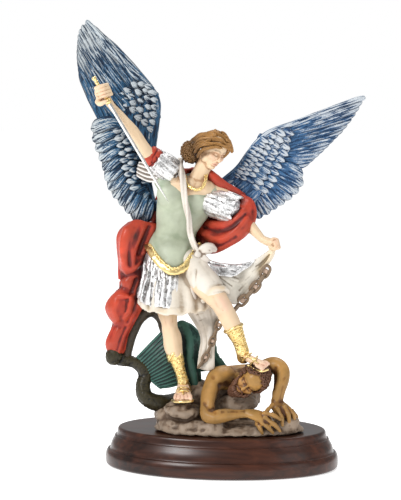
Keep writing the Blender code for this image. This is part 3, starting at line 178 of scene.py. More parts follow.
class Shells:
    """Closed forms of one piece in millimetres on the seat, with how far along its form each point is."""

    def __init__(self):
        self.points, self.faces, self.share, self.lie, self.rim, self.count = [], [], [], [], [], 0

    def rings(self, rings, lie=None, rim=None):
        """Joins closed rings of points and closes both ends; lie gives each point's own flat place."""
        rings = np.asarray(rings, float)
        count, sides = rings.shape[:2]
        self.rim.append(np.zeros(count * sides + 2) if rim is None else np.append(np.tile(rim, count),
            (0, 0)))
        if lie is None:
            lie = np.zeros((count, sides, 2))
        index = self.count + np.arange(count * sides).reshape(count, sides)
        after = np.roll(index, -1, axis=1)
        quads = np.stack([index[:-1], after[:-1], after[1:], index[1:]], axis=-1).reshape(-1, 4)
        low, high = self.count + count * sides, self.count + count * sides + 1
        ends = [np.stack([after[0], index[0], np.full(sides, low)], axis=-1), np.stack([index[-1], after[-1],
            np.full(sides, high)], axis=-1)]
        flat = np.vstack([rings.reshape(-1, 3), rings[0].mean(axis=0), rings[-1].mean(axis=0)])
        corner = flat[quads - self.count]
        middle = flat.mean(axis=0)
        inward = np.cross(corner[:, 2] - corner[:, 0], corner[:, 3] - corner[:, 1])
        if (inward * (corner.mean(axis=1) - middle)).sum() < 0:
            quads, ends = quads[:, ::-1], [end[:, ::-1] for end in ends]
        self.faces += quads.tolist() + ends[0].tolist() + ends[1].tolist()
        self.points.append(flat)
        run = np.repeat(np.linspace(0, 1, count), sides)
        self.share.append(np.concatenate([run, [0, 1]]))
        lie = lie.reshape(-1, 2)
        self.lie.append(np.vstack([lie, lie[:sides].mean(axis=0), lie[-sides:].mean(axis=0)]))
        self.count += len(flat)

    def tube(self, points, sides=16, rings=None, face=None, flat=1.0, ribs=0, rib=0.0, twist=0.0):
        """A round-ended limb, lock or roll, flattened along `face`, with lengthwise ribs if asked."""
        curve = through(points, rings or 6 * len(points))
        centres, radii = curve[:, :3], curve[:, 3]
        tangents = np.gradient(centres, axis=0)
        up = np.array(face if face is not None else (0.31, -0.9, 0.3), float)
        angles = np.arange(sides) * 2 * math.pi / sides
        rows, aside = [], []
        for step, (centre, radius, tangent) in enumerate(zip(centres, radii, tangents)):
            along = unit(tangent)
            up = unit(up - along * (up @ along))
            side = np.cross(along, up)
            bulge = radius * (1 + rib * np.cos(ribs * angles + twist * step))
            rows.append(centre + bulge[:, None] * (side * np.cos(angles)[:, None] + flat * up
                * np.sin(angles)[:, None]))
            aside.append((centre, along, radius))
            if face is not None:
                up = np.array(face, float)
        made = []
        for lift in (80, 55, 28):
            shrink, push = math.cos(math.radians(lift)), math.sin(math.radians(lift))
            made.append(aside[0][0] + (rows[0] - aside[0][0]) * shrink - aside[0][1] * aside[0][2] * push)
        made += rows
        for lift in (28, 55, 80):
            shrink, push = math.cos(math.radians(lift)), math.sin(math.radians(lift))
            made.append(aside[-1][0] + (rows[-1] - aside[-1][0]) * shrink + aside[-1][1] * aside[-1][2]
                * push)
        made = np.array(made)
        run = np.concatenate([[0], np.cumsum(np.linalg.norm(np.diff(made.mean(axis=1), axis=0), axis=1))])
        lie = np.stack(np.broadcast_arrays(run[:, None], angles[None, :] * radii.mean()), axis=-1)
        self.rings(made, lie)

    def ball(self, centre, radii, turn=(0, 0, 0), steps=12):
        spin = Matrix.Rotation(math.radians(turn[2]), 3, "Z")
        spin = spin @ Matrix.Rotation(math.radians(turn[1]), 3, "Y")
        spin = np.array(spin @ Matrix.Rotation(math.radians(turn[0]), 3, "X"))
        self.rings(round_rings(steps) * np.array(radii) @ spin.T + np.array(centre))

    def cloth(self, rows, thick, across=30, down=30, relief=None):
        """A sheet through rows of points, `thick` through, its folds raised by relief(u, v)."""
        wide = [through(row, across) for row in rows]
        grid = np.array([through([row[i] for row in wide], down) for i in range(across)])
        normals = np.cross(np.gradient(grid, axis=0), np.gradient(grid, axis=1))
        normals /= np.maximum(np.linalg.norm(normals, axis=2, keepdims=True), 1e-9)
        u, v = np.meshgrid(np.linspace(0, 1, across), np.linspace(0, 1, down), indexing="ij")
        if relief:
            grid = grid + normals * relief(u, v)[..., None]
        # Both skins run round the sheet's edge as one ring per line of the grid
        edge = np.minimum(np.minimum(u, 1 - u) * across, np.minimum(v, 1 - v) * down)
        body = (thick / 2) * np.sqrt(np.clip(edge / 1.5, 0.16, 1))[..., None]
        front, back = grid + normals * body, grid - normals * body
        rings = np.concatenate([front, back[:, ::-1]], axis=1)
        span = [np.linalg.norm(np.diff(grid, axis=axis), axis=2).sum(axis=axis).mean() for axis in (0, 1)]
        lie = np.stack([u * span[0], v * span[1]], axis=-1)
        self.rings(rings, np.concatenate([lie, lie[:, ::-1]], axis=1))

    def mesh(self):
        mesh = bpy.data.meshes.new("form")
        mesh.from_pydata(np.vstack(self.points).tolist(), [], self.faces)
        mesh.update()
        return mesh


FIGURE_TURN, SEAT_HEIGHT = math.radians(8), 25.0


def to_frame(points):
    """Millimetres on the figure's seat to metres in the part's frame."""
    c, s = math.cos(FIGURE_TURN), math.sin(FIGURE_TURN)
    turned = points @ np.array(((c, s, 0), (-s, c, 0), (0, 0, 1)))
    return (turned + (0, 0, SEAT_HEIGHT)) / 1000


class Casting:
    """The surface of one piece, in millimetres: fused to one skin, worked with strokes, then placed."""

    def __init__(self, shells, grain=None, soften=2):
        self.mesh, self.shells = shells.mesh(), None if grain else shells
        if grain:
            form = bpy.data.objects.new("form", self.mesh)
            bpy.context.collection.objects.link(form)
            fusing = form.modifiers.new("fusing", "REMESH")
            fusing.mode, fusing.voxel_size = "VOXEL", grain
            if soften:
                easing = form.modifiers.new("easing", "SMOOTH")
                easing.factor, easing.iterations = 0.5, soften
            fused = bpy.data.meshes.new_from_object(form.evaluated_get(bpy.context.evaluated_depsgraph_get()))
            bpy.data.objects.remove(form)
            bpy.data.meshes.remove(self.mesh)
            self.mesh = fused
        self.points = np.empty(3 * len(self.mesh.vertices))
        self.mesh.vertices.foreach_get("co", self.points)
        self.points = self.points.reshape(-1, 3)
        ends = np.empty(2 * len(self.mesh.edges), dtype=np.int64)
        self.mesh.edges.foreach_get("vertices", ends)
        self.ends = ends.reshape(-1, 2)
        self.marks = {}

    def normals(self):
        self.mesh.vertices.foreach_set("co", self.points.ravel())
        self.mesh.update()
        normals = np.empty(self.points.size)
        self.mesh.vertices.foreach_get("normal", normals)
        return normals.reshape(-1, 3)

    def nearness(self, path, width):
        """From 1 on a path to 0 well away from it, for a soft brush of that width held from the front."""
        flat = np.array((1, 0.4, 1))
        path = np.atleast_2d(np.array(path, float))[:, :3]
        span = np.linalg.norm(np.diff(path, axis=0), axis=1).sum()
        line = (through(path, max(8, int(2.2 * span / width))) if len(path) > 1 else path) * flat
        points = self.points * flat
        low, high = line.min(axis=0) - 3 * width, line.max(axis=0) + 3 * width
        inside = np.flatnonzero(((points > low) & (points < high)).all(axis=1))
        best = np.full(len(self.points), 1e9)
        if len(inside):
            square = ((points[inside, None, :] - line[None, :, :]) ** 2).sum(axis=2).min(axis=1)
            best[inside] = square
        return np.exp(-best / width**2)

    def stroke(self, depth, width, *paths):
        """Raises a ridge along each path, or cuts a groove where the depth is below zero."""
        for path in paths:
            self.points += self.normals() * (depth * self.nearness(path, width))[:, None]

    def roughen(self, depth, size, seed=0.0):
        """Uneven surface of stone or wet clay: smooth noise along the normals."""
        bumps = np.array([noise.fractal(Vector(p) / size + Vector((seed, 0, 0)), 1.0, 2.0, 3)
            for p in self.points])
        self.points += self.normals() * (depth * bumps)[:, None]
        return self

    def eased(self, values, rounds):
        a, b = self.ends[:, 0], self.ends[:, 1]
        count = len(self.points)
        both, other = np.concatenate([a, b]), np.concatenate([b, a])
        degree = np.maximum(np.bincount(both, minlength=count), 1)
        values = values.copy()
        for _ in range(rounds):
            for axis in range(values.shape[1]):
                total = np.bincount(both, weights=values[other, axis], minlength=count)
                values[:, axis] = 0.5 * values[:, axis] + 0.5 * total / degree
        return values

    def colour_by(self, colour):
        """Keeps a painted colour for each point."""
        self.marks["paint"] = np.concatenate([colour, np.ones((len(colour), 1))], axis=1)

    def place(self, name, material, slot="painted_resin", node="figure", contrast=1.0):
        """Writes how far each point stands proud of what is round it, and sets the piece in the frame."""
        normals = self.normals()
        span = np.linalg.norm(self.points[self.ends[:, 0]] - self.points[self.ends[:, 1]], axis=1).mean()
        proud = np.zeros(len(self.points))
        for rounds, gain in ((5, 1.6), (40, 0.55)):
            proud += ((self.points - self.eased(self.points, rounds)) * normals).sum(axis=1) * gain
        self.marks["relief"] = np.clip(0.5 + contrast * proud / max(span, 0.2), 0, 1)
        self.mesh.vertices.foreach_set("co", to_frame(self.points).ravel())
        self.mesh.update()
        for mark, values in self.marks.items():
            kind = "FLOAT_COLOR" if values.ndim == 2 else "FLOAT"
            layer = self.mesh.attributes.new(mark, kind, "POINT")
            layer.data.foreach_set("color" if values.ndim == 2 else "value", values.ravel())
        if self.shells is not None:
            corners = np.empty(len(self.mesh.loops), dtype=np.int64)
            self.mesh.loops.foreach_get("vertex_index", corners)
            share = self.mesh.attributes.new("share", "FLOAT", "POINT")
            share.data.foreach_set("value", np.concatenate(self.shells.share))
            rim = self.mesh.attributes.new("rim", "FLOAT", "POINT")
            rim.data.foreach_set("value", np.concatenate(self.shells.rim))
            flat = self.mesh.uv_layers.new(name="lie")
            flat.data.foreach_set("uv", np.vstack(self.shells.lie)[corners].ravel())
        self.mesh.shade_smooth()
        self.mesh.name = name
        self.mesh.materials.clear()
        self.mesh.materials.append(material)
        piece = bpy.data.objects.new(name, self.mesh)
        bpy.context.collection.objects.link(piece)
        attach(piece, "root")
        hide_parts(node)
        return piece


SWORD_POMMEL, SWORD_TIP = np.array((-81, -20.5, 229)), np.array((-35, -27, 152.5))
SWORD_LENGTH, GRIP_LENGTH, POINT_FROM = 92, 16.5, 0.72
reach = unit(SWORD_TIP - SWORD_POMMEL)
blade_side = unit(np.cross(reach, (0, -1, 0)))
blade_face = unit(np.cross(blade_side, reach))
guard = SWORD_POMMEL + reach * GRIP_LENGTH
blade = Shells()
diamond = np.array([(1, 0), (0.55, 0.42), (0, 1), (-0.55, 0.42), (-1, 0), (-0.55, -0.42), (0, -1),
    (0.55, -0.42)])
sections = []
for step in np.linspace(0, 1, 60):
    narrowing = max(0, step - POINT_FROM) / 0.28
    half, deep = 1.15 * (1 - 0.18 * step), 0.6 * (1 - 0.3 * step)
    if step >= POINT_FROM:
        half, deep = 0.943 * max(0.03, 1 - narrowing**1.5), 0.47 * max(0.06, 1 - narrowing)
    centre = guard + reach * (1.0 + step * (SWORD_LENGTH - GRIP_LENGTH - 1.0))
    sections.append(centre + diamond[:, :1] * half * blade_side + diamond[:, 1:] * deep * blade_face)
blade.rings(sections)
steel, tree, shader = finish("plated steel", 0.22, 1.0)
spot = node_of(tree, "ShaderNodeTexCoord").outputs["Object"]
scuff = node_of(tree, "ShaderNodeTexNoise", {"Vector": spot, "Scale": 260.0, "Detail": 5.0,
    "Distortion": 1.5})
tree.links.new(ramp_of(tree, scuff.outputs["Fac"], (0.35, (0.58, 0.57, 0.55)), (0.6, (0.86, 0.85, 0.82))),
    shader.inputs["Base Color"])
rough = node_of(tree, "ShaderNodeMapRange", {"Value": scuff.outputs["Fac"], "To Min": 0.16, "To Max": 0.4})
tree.links.new(rough.outputs["Result"], shader.inputs["Roughness"])
Casting(blade).place("sword_blade", steel, "plated_steel", "sword").data.shade_flat()

grip = Shells()
profile = [(-1.9, 0.5), (-1.5, 1.15), (-0.8, 1.5), (0.2, 1.35), (1.0, 0.95), (1.8, 1.15), (3.0, 1.2),
    (13.6, 1.2), (14.3, 1.0), (15.0, 1.6), (15.6, 2.1), (16.5, 2.25), (17.4, 2.1), (18.0, 1.5), (18.4, 0.8)]
turn = np.arange(24) * 2 * math.pi / 24
rings = []
for along, radius in through([(a, 0, 0, r) for a, r in profile], 90)[:, [0, 3]]:
    cord = 1 + (0.06 * math.cos(5.2 * along) if 3 < along < 13.5 else 0)
    rings.append(SWORD_POMMEL + reach * along + radius * cord * (blade_side * np.cos(turn)[:, None]
        + blade_face * np.sin(turn)[:, None]))
grip.rings(rings)
gilt, tree, shader = finish("bright gilding", 0.3, 1.0)
relief = node_of(tree, "ShaderNodeAttribute", attribute_name="relief")
spot = node_of(tree, "ShaderNodeTexCoord").outputs["Object"]
wear = node_of(tree, "ShaderNodeTexNoise", {"Vector": spot, "Scale": 900.0, "Detail": 4.0})
maths, _ = sums_of(tree)
rubbed = maths("MULTIPLY", maths("ADD", relief.outputs["Fac"], wear.outputs["Fac"]), 0.5)
tree.links.new(ramp_of(tree, rubbed, (0.34, (0.075, 0.036, 0.010)), (0.66, (0.90, 0.70, 0.32)),
    (0.50, (0.56, 0.36, 0.10))), shader.inputs["Base Color"])
rough = node_of(tree, "ShaderNodeMapRange", {"Value": wear.outputs["Fac"], "To Min": 0.2, "To Max": 0.45})
tree.links.new(rough.outputs["Result"], shader.inputs["Roughness"])
bump = node_of(tree, "ShaderNodeBump", {"Height": wear.outputs["Fac"], "Strength": 0.3, "Distance": 0.0003})
tree.links.new(bump.outputs["Normal"], shader.inputs["Normal"])
Casting(grip).place("sword_grip", gilt, "plated_steel", "sword")

# ---- Rock ----
# The ground of the casting: rough stone, painted grey-pink and washed with brown, that carries the planted
# foot on a squared block and the fallen demon on its back part.


def paint_group():
    """Hand painting: an uneven coat, a dark wash in the grooves, painted shade where the casting is enclosed
    and a dry brush over what stands proud.
    """
    group = bpy.data.node_groups.new("hand painting", "ShaderNodeTree")
    face = group.interface
    for name, kind, value in (("Coat", "Color", (1, 1, 1, 1)), ("Wash", "Color", (0, 0, 0, 1)),
            ("Brush", "Color", (1, 1, 1, 1)), ("Wash Amount", "Float", 1.0), ("Brush Amount", "Float", 1.0),
            ("Mottle", "Float", 0.2), ("Scale", "Float", 1.0)):
        socket = face.new_socket(name, in_out="INPUT", socket_type="NodeSocket" + kind)
        socket.default_value = value
    face.new_socket("Colour", in_out="OUTPUT", socket_type="NodeSocketColor")
    face.new_socket("Roughness", in_out="OUTPUT", socket_type="NodeSocketFloat")
    face.new_socket("Height", in_out="OUTPUT", socket_type="NodeSocketFloat")
    given = node_of(group, "NodeGroupInput").outputs
    spot = node_of(group, "ShaderNodeTexCoord").outputs["Object"]
    relief = node_of(group, "ShaderNodeAttribute", attribute_name="relief").outputs["Fac"]
    enclosed_shade = node_of(group, "ShaderNodeAttribute", attribute_name="enclosed_shade").outputs["Fac"]

    maths, spread = sums_of(group)

    def speckle(scale, detail):
        return node_of(group, "ShaderNodeTexNoise", {"Vector": spot, "Detail": detail,
            "Scale": maths("MULTIPLY", given["Scale"], scale)}).outputs["Fac"]

    cloud, fleck = speckle(160.0, 3.0), speckle(900.0, 4.0)
    tone = maths("ADD", 1.0, maths("MULTIPLY", maths("MULTIPLY", maths("SUBTRACT", cloud, 0.5), 3.0),
        given["Mottle"]))
    coat = node_of(group, "ShaderNodeHueSaturation", {"Color": given["Coat"], "Value": tone}).outputs["Color"]
    jitter = maths("MULTIPLY", maths("SUBTRACT", maths("ADD", maths("MULTIPLY", fleck, 0.5),
        maths("MULTIPLY", cloud, 0.5)), 0.5), 0.5)
    groove = maths("MULTIPLY", spread(maths("ADD", relief, jitter), 0.50, 0.05), 0.85)
    # Painted shade where the casting is enclosed, in the wash colour together with the grooves' wash; the dry
    # brush is held back there.
    shade = maths("MULTIPLY", spread(maths("ADD", enclosed_shade, jitter), 0.10, 0.85), 0.95)
    deep = maths("SUBTRACT", 1.0, maths("MULTIPLY", maths("SUBTRACT", 1.0, groove),
        maths("SUBTRACT", 1.0, shade)))
    deep = maths("MULTIPLY", deep, given["Wash Amount"], True)
    high = spread(maths("ADD", relief, jitter), 0.54, 0.86)
    high = maths("MULTIPLY", maths("MULTIPLY", high, given["Brush Amount"]), maths("SUBTRACT", 1.0,
        spread(enclosed_shade, 0.5, 0.95)), True)
    washed = node_of(group, "ShaderNodeMix", {0: deep, 6: coat, 7: given["Wash"]}, data_type="RGBA")
    brushed = node_of(group, "ShaderNodeMix", {0: high, 6: washed.outputs[2], 7: given["Brush"]},
        data_type="RGBA")
    out = node_of(group, "NodeGroupOutput")
    group.links.new(brushed.outputs[2], out.inputs["Colour"])
    group.links.new(spread(fleck, 0.3, 0.7, 0.38, 0.6), out.inputs["Roughness"])
    group.links.new(fleck, out.inputs["Height"])
    return group


hand_painting = paint_group()


def painted(name, coat, wash_and_shade, brush, wash_and_shade_amount=0.8, brush_amount=0.6, mottle=0.25, scale=1.0, bump=0.15,
        gloss=0.0, colour=None):
    """A painted finish; colour names a colour attribute that takes the coat's place."""
    material, tree, shader = finish(name, coat=gloss)
    group = node_of(tree, "ShaderNodeGroup", node_tree=hand_painting)
    # The wash colour is laid both as a wash in the grooves and as painted shade where the casting is
    # enclosed.
    for socket, value in (("Coat", (*coat, 1)), ("Wash", (*wash_and_shade, 1)), ("Brush", (*brush, 1)),
            ("Wash Amount", wash_and_shade_amount), ("Brush Amount", brush_amount), ("Mottle", mottle),
            ("Scale", scale)):
        group.inputs[socket].default_value = value
    if colour:
        mark = node_of(tree, "ShaderNodeAttribute", attribute_name=colour)
        tree.links.new(mark.outputs["Color"], group.inputs["Coat"])
    tree.links.new(group.outputs["Colour"], shader.inputs["Base Color"])
    tree.links.new(group.outputs["Roughness"], shader.inputs["Roughness"])
    uneven = node_of(tree, "ShaderNodeBump", {"Height": group.outputs["Height"], "Strength": bump,
        "Distance": 0.0004})
    tree.links.new(uneven.outputs["Normal"], shader.inputs["Normal"])
    return material


ground = Shells()
footprint = [(-44, -8), (-40, -19), (-27, -29), (-8, -34), (12, -35), (30, -33), (40, -28), (50, -22),
    (54, -14), (48, -4), (38, 8), (22, 20), (0, 27), (-22, 24), (-38, 12)]
outline = through([(x, y, 0) for x, y in footprint + footprint[:1]], 121)[:-1]
layers = []
for height, share in ((0.3, 0.995), (1.2, 1.0), (2.6, 1.0), (4.2, 0.975), (5.5, 0.955), (8.0, 0.90),
        (9.5, 0.7)):
    lower = np.where(outline[:, 0] > 0, 0.62, 1.0)
    layers.append(np.stack([3 + (outline[:, 0] - 3) * share, -4 + (outline[:, 1] + 4) * share,
        height * lower], axis=1))
ground.rings(layers)
# Boulders under the planted foot, the demon's chest and hands, and the tail
for centre, radii, turn in (((-25.5, -19, 14.5), (12.5, 11, 5.2), (0, 4, 6)), ((-25, -6, 11), (15, 15, 7.5),
        (6, 4, 0)), ((-35, -2, 9), (9, 13, 7), (0, 0, 0)), ((-16.5, 4, 18.5), (11, 12, 13), (0, 0, 0)),
        ((9.5, -8, 16.5), (13.5, 9, 6.2), (0, 0, 0)), ((6, 10, 18.5), (20, 12, 15), (0, 0, 0)),
        ((42, -24, 6.5), (7.2, 7.5, 6.4), (0, 0, 0)), ((40.5, -20, 11), (8, 7, 5.5), (0, 0, 0)),
        ((-14, 10, 6.5), (27, 14, 13), (0, 0, 0))):
    ground.ball(centre, radii, turn, 20)
rock = Casting(ground, 1.0, 1)
rock.roughen(1.5, 9.0, 3.0).roughen(0.45, 3.5, 8.0)
# Cracks round the squared block and across the front
rock.stroke(-1.2, 1.3, [(-35.5, -16, 19.5), (-34.5, -20, 14), (-31, -24, 9.5), (-23, -26, 9),
    (-17.5, -24, 13), (-17.5, -20, 19)], [(-35, -17, 17), (-26, -30, 17), (-18, -20, 18.5)])
rock.stroke(-0.9, 1.1, [(-40, -20, 6), (-29.5, -26, 4.5), (-16.5, -30, 4), (-5, -30, 5)],
    [(-46.5, -12, 8), (-41.5, -8, 10), (-36.5, -6, 13.5)], [(-15.5, -12, 20), (-11.5, -20, 15),
    (-10, -28, 7.5)])
rock.points[:, 2] = np.maximum(rock.points[:, 2], 0.05)
stone = painted("painted stone", (0.205, 0.145, 0.100), (0.050, 0.025, 0.013), (0.37, 0.29, 0.22), 0.85, 0.5,
    0.5, 0.8, 0.3)
rock.place("rock", stone, contrast=0.7)

# ---- Demon ----
# Fallen bearded man with a serpent's tail, lying on the rock on both forearms. Cast in one with the rock;
# flesh painted ochre with brown painted shade in its folds and under its arms, hair and beard dark.


def tinted(form, base, *touches):
    """Base colour for each point, and soft touches of other colours: (colour, path, width, strength)."""
    colour = np.tile(np.array(base, float), (len(form.points), 1))
    for tint, path, width, strength in touches:
        near = np.clip(form.nearness(path, width) * strength, 0, 1)[:, None]
        colour = colour * (1 - near) + np.array(tint) * near
    form.colour_by(colour)


class Head:
    """A head's own directions, from turns about the vertical, nodding down, and leaning to the side."""

    def __init__(self, centre, turn, nod, lean, size=1.0):
        turn, nod, lean = (math.radians(a) for a in (turn, nod, lean))
        level = np.array((math.sin(turn), -math.cos(turn), 0))
        beside = np.array((math.cos(turn), math.sin(turn), 0))
        above = math.cos(nod) * np.array((0, 0, 1)) + math.sin(nod) * level
        self.ahead = math.cos(nod) * level - math.sin(nod) * np.array((0, 0, 1))
        self.crown = above * math.cos(lean) + beside * math.sin(lean)
        self.side = beside * math.cos(lean) - above * math.sin(lean)
        self.centre, self.size = np.array(centre, float), size

    def at(self, forward, sideways, up):
        return self.centre + (self.ahead * forward + self.side * sideways + self.crown * up) * self.size

    def line(self, *places):
        return [self.at(*place) for place in places]

    def lump(self, clay, place, radii, steps=16):
        turn = np.array((self.ahead, self.side, self.crown))
        clay.rings(round_rings(steps) * np.array(radii) * self.size @ turn + self.at(*place))

    def skull(self, clay):
        """Skull and face in the plain proportions of a drawing book: eyes half way, nose and mouth below."""
        self.lump(clay, (-1.0, 0, 2.2), (9.6, 7.7, 9.0), 24)
        self.lump(clay, (2.4, 0, -3.0), (6.5, 6.1, 7.6), 24)
        self.lump(clay, (5.2, 0, -9.0), (3.0, 3.3, 2.2))
        self.lump(clay, (6.6, 0, -6.0), (2.0, 3.0, 2.6))
        for way in (-1, 1):
            self.lump(clay, (5.2, 3.7 * way, -2.4), (2.9, 2.6, 2.6))
            self.lump(clay, (0.8, 5.0 * way, -6.0), (4.4, 1.6, 2.8))
            clay.tube([(*self.at(7.3, 0.8 * way, 1.5), 0.7), (*self.at(7.6, 2.6 * way, 1.9), 0.85),
                (*self.at(6.0, 5.0 * way, 1.5), 0.75)], rings=14)
            self.lump(clay, (8.3, 1.15 * way, -3.6), (1.0, 0.75, 0.75))
        clay.tube([(*self.at(7.2, 0, 2.0), 0.9), (*self.at(8.3, 0, 0.4), 0.8), (*self.at(9.3, 0, -1.7), 0.85),
            (*self.at(9.9, 0, -3.2), 1.05)], rings=20)

    def face(self, form):
        """Works the features into the fused skull: sockets, lowered lids, nostrils, lips and chin."""
        for way in (-1, 1):
            form.stroke(-0.95, 1.7, self.line((7.6, 1.9 * way, -0.1), (7.4, 3.4 * way, 0.0),
                (6.6, 4.6 * way, -0.2)))
            form.stroke(0.85, 1.25, self.line((7.0, 2.9 * way, -0.35), (6.8, 3.5 * way, -0.35)))
            form.stroke(-0.3, 0.38, self.line((7.6, 1.7 * way, 0.3), (7.9, 3.0 * way, 0.75),
                (6.9, 4.6 * way, 0.3)))
            form.stroke(-0.34, 0.4, self.line((7.7, 1.8 * way, -0.75), (7.9, 3.0 * way, -1.0),
                (6.9, 4.6 * way, -0.65)))
            form.stroke(0.16, 0.35, self.line((7.8, 1.8 * way, -1.2), (7.8, 3.1 * way, -1.55),
                (6.9, 4.5 * way, -1.1)))
            form.stroke(-0.35, 0.45, self.line((9.0, 1.0 * way, -4.3), (9.6, 0.5 * way, -4.3)))
            form.stroke(-0.25, 0.7, self.line((8.3, 1.9 * way, -3.4), (7.4, 2.9 * way, -5.2)))
        form.stroke(0.5, 0.6, self.line((7.9, -1.7, -6.0), (8.7, 0, -5.55), (7.9, 1.7, -6.0)))
        form.stroke(0.55, 0.65, self.line((7.7, -1.3, -7.15), (8.5, 0, -7.2), (7.7, 1.3, -7.15)))
        form.stroke(-0.5, 0.36, self.line((7.6, -2.1, -6.5), (8.8, 0, -6.4), (7.6, 2.1, -6.5)))
        form.stroke(-0.3, 0.8, self.line((7.6, -1.6, -8.1), (7.9, 0, -8.2), (7.6, 1.6, -8.1)))
        form.stroke(-0.25, 0.4, self.line((9.0, 0, -4.6), (8.7, 0, -5.3)))

    def paint(self, form, skin, blush, lips, brow):
        """A colour for each point of the face: cheeks and lips over the skin, brows and lash lines drawn."""
        touches = []
        for way in (-1, 1):
            touches += [(blush, self.line((6.6, 4.2 * way, -3.0)), 2.6, 0.75),
                (blush, self.line((6.9, 1.8 * way, 0.9), (7.0, 4.0 * way, 0.9)), 0.9, 0.45),
                (brow, self.line((8.1, 1.3 * way, 2.3), (7.9, 2.9 * way, 2.9), (6.7, 4.9 * way, 2.3)), 0.48,
                0.95), (brow, self.line((7.7, 1.8 * way, -0.7), (7.9, 3.0 * way, -0.95),
                (6.9, 4.7 * way, -0.55)), 0.36, 1.15), (brow, self.line((9.1, 0.9 * way, -4.3)), 0.4, 0.6)]
        tinted(form, skin, *touches, (blush, self.line((9.9, 0, -3.4)), 1.3, 0.35),
            (lips, self.line((7.9, -1.7, -6.0), (8.7, 0, -5.7), (7.9, 1.7, -6.0)), 0.55, 1.0),
            (lips, self.line((7.7, -1.3, -7.0), (8.5, 0, -7.1), (7.7, 1.3, -7.0)), 0.6, 1.0),
            (brow, self.line((7.7, -2.0, -6.5), (8.8, 0, -6.4), (7.7, 2.0, -6.5)), 0.26, 0.85))


demon_head = Head((19.5, -21, 35), -28, 22, 62, 1.02)
flesh = Shells()
# Chest and hips, the left and then the right arm as seen, and the backs of both hands
flesh.tube([(28, -2, 37, 5.9), (15.5, 1, 33, 8.5), (0.5, -4, 33, 7.8)], 24)
flesh.tube([(15, 0, 30, 8.5), (6, 12, 25, 9.3), (-7.5, 20, 19.5, 8.6), (-19.5, 20, 15.5, 7.3)], 24)
flesh.tube([(1.5, -6, 35, 7.2), (-2.5, -9, 33.5, 7.5), (-6, -14, 29.5, 5.8), (-8, -18, 24.5, 5.6),
    (-9, -24, 18.5, 4.9), (-9, -28, 13.5, 4.9), (-5, -30, 12.5, 4.8), (2.5, -31, 14, 4.4),
    (8, -31, 14.5, 3.5), (12.5, -31, 15, 3), (17, -31, 15, 3)], 24, 70)
flesh.tube([(24, -2, 35.5, 5.9), (29, -7, 40.5, 5.7), (34.5, -12, 43, 5.6), (38.5, -15, 40, 5.6),
    (38.5, -18, 34.5, 5.3), (37, -21, 28.5, 4.5), (36, -23, 21.5, 3.6)], 24, 50)
flesh.tube([(16, -31, 15, 3.2), (20.5, -32, 14.5, 4.5), (25, -32.5, 13, 4.8), (28.5, -32, 11.5, 3.9)], 20,
    face=(0.2, -0.6, 1), flat=0.6)
flesh.tube([(35.5, -23, 21.5, 3.9), (36.5, -25, 18.5, 4.9), (39.5, -26, 16, 5.2)], 20, face=(0.2, -1, 0.4),
    flat=0.6)
# Fingers and thumbs: knuckle, middle joint and tip
claws = (((27.5, -34, 16), (33.5, -35.5, 14.5), (37.5, -34, 11.5)), ((27.5, -35, 13), (33.5, -36.5, 9),
    (37.5, -34.5, 4)), ((25.5, -35, 10), (29.5, -36.5, 7), (33, -34.5, 3)), ((22.5, -33.5, 8.5),
    (24.5, -35, 6), (26, -34, 2.5)), ((36, -29, 17), (38.5, -31.5, 12.5), (39, -31, 7)),
    ((40.5, -28, 18.5), (43, -30, 13.5), (43.5, -29, 6.5)), ((43.5, -25, 17), (46.5, -27, 13),
    (46.5, -26, 6.5)), ((45.5, -22, 15), (48, -23, 11.5), (48.5, -22, 7)), ((32.5, -26, 19.5),
    (29.5, -30, 17), (28.5, -32, 15)))
for root, middle, tip in claws:
    flesh.tube([(*root, 1.6), (*((np.array(root) + middle) / 2), 1.25), (*middle, 1.6), (*tip, 1.1)], 14, 16)
demon_head.skull(flesh)
demon = Casting(flesh, 0.74, 2)
demon_head.face(demon)
# Muscles of the shoulder, upper arm, forearm and back, and the folds between them
demon.stroke(1.3, 3.0, [(-1.5, -14, 35.5), (-5, -17, 32.5)], [(4, -10, 37), (9.5, -8, 36)])
demon.stroke(1.0, 2.4, [(-6.5, -20, 28), (-7, -25, 22.5)], [(-5, -33, 12.5), (2.5, -34, 14)],
    [(37.5, -22, 40.5), (38, -24, 34)])
demon.stroke(-0.9, 2.0, [(-1, -14, 31), (-1.5, -18, 26), (-3.5, -22, 20)], [(3, -12, 32), (7, -11, 26.5),
    (10.5, -11, 22.5)], [(-11, -27, 20.5), (-8, -30, 17.5), (-4.5, -32, 16)], [(35, -18, 42.5),
    (34.5, -20, 36), (33, -22, 30)], [(-5, -15, 35), (-1.5, -15, 31), (3, -13, 29.5)],
    [(0, -34, 17), (8, -34, 17), (14, -33, 17)])
demon.stroke(-0.5, 1.6, [(40, -23, 36), (39, -25, 29), (37.5, -27, 23)], [(9.5, -6, 37.5), (14.5, -6, 39),
    (21, -6, 40)], [(26, -12, 42.5), (30, -13, 39.5), (31.5, -14, 35)])
for root, middle, tip in claws[:8]:
    demon.stroke(0.28, 0.55, [(np.array(root) + (0, -1.5, 0.8))], [(np.array(middle) + (0, -1.4, 0.9))])
demon_head.paint(demon, (0.31, 0.150, 0.036), (0.42, 0.17, 0.06), (0.36, 0.13, 0.07), (0.035, 0.014, 0.008))
brown = np.array((0.075, 0.026, 0.008))
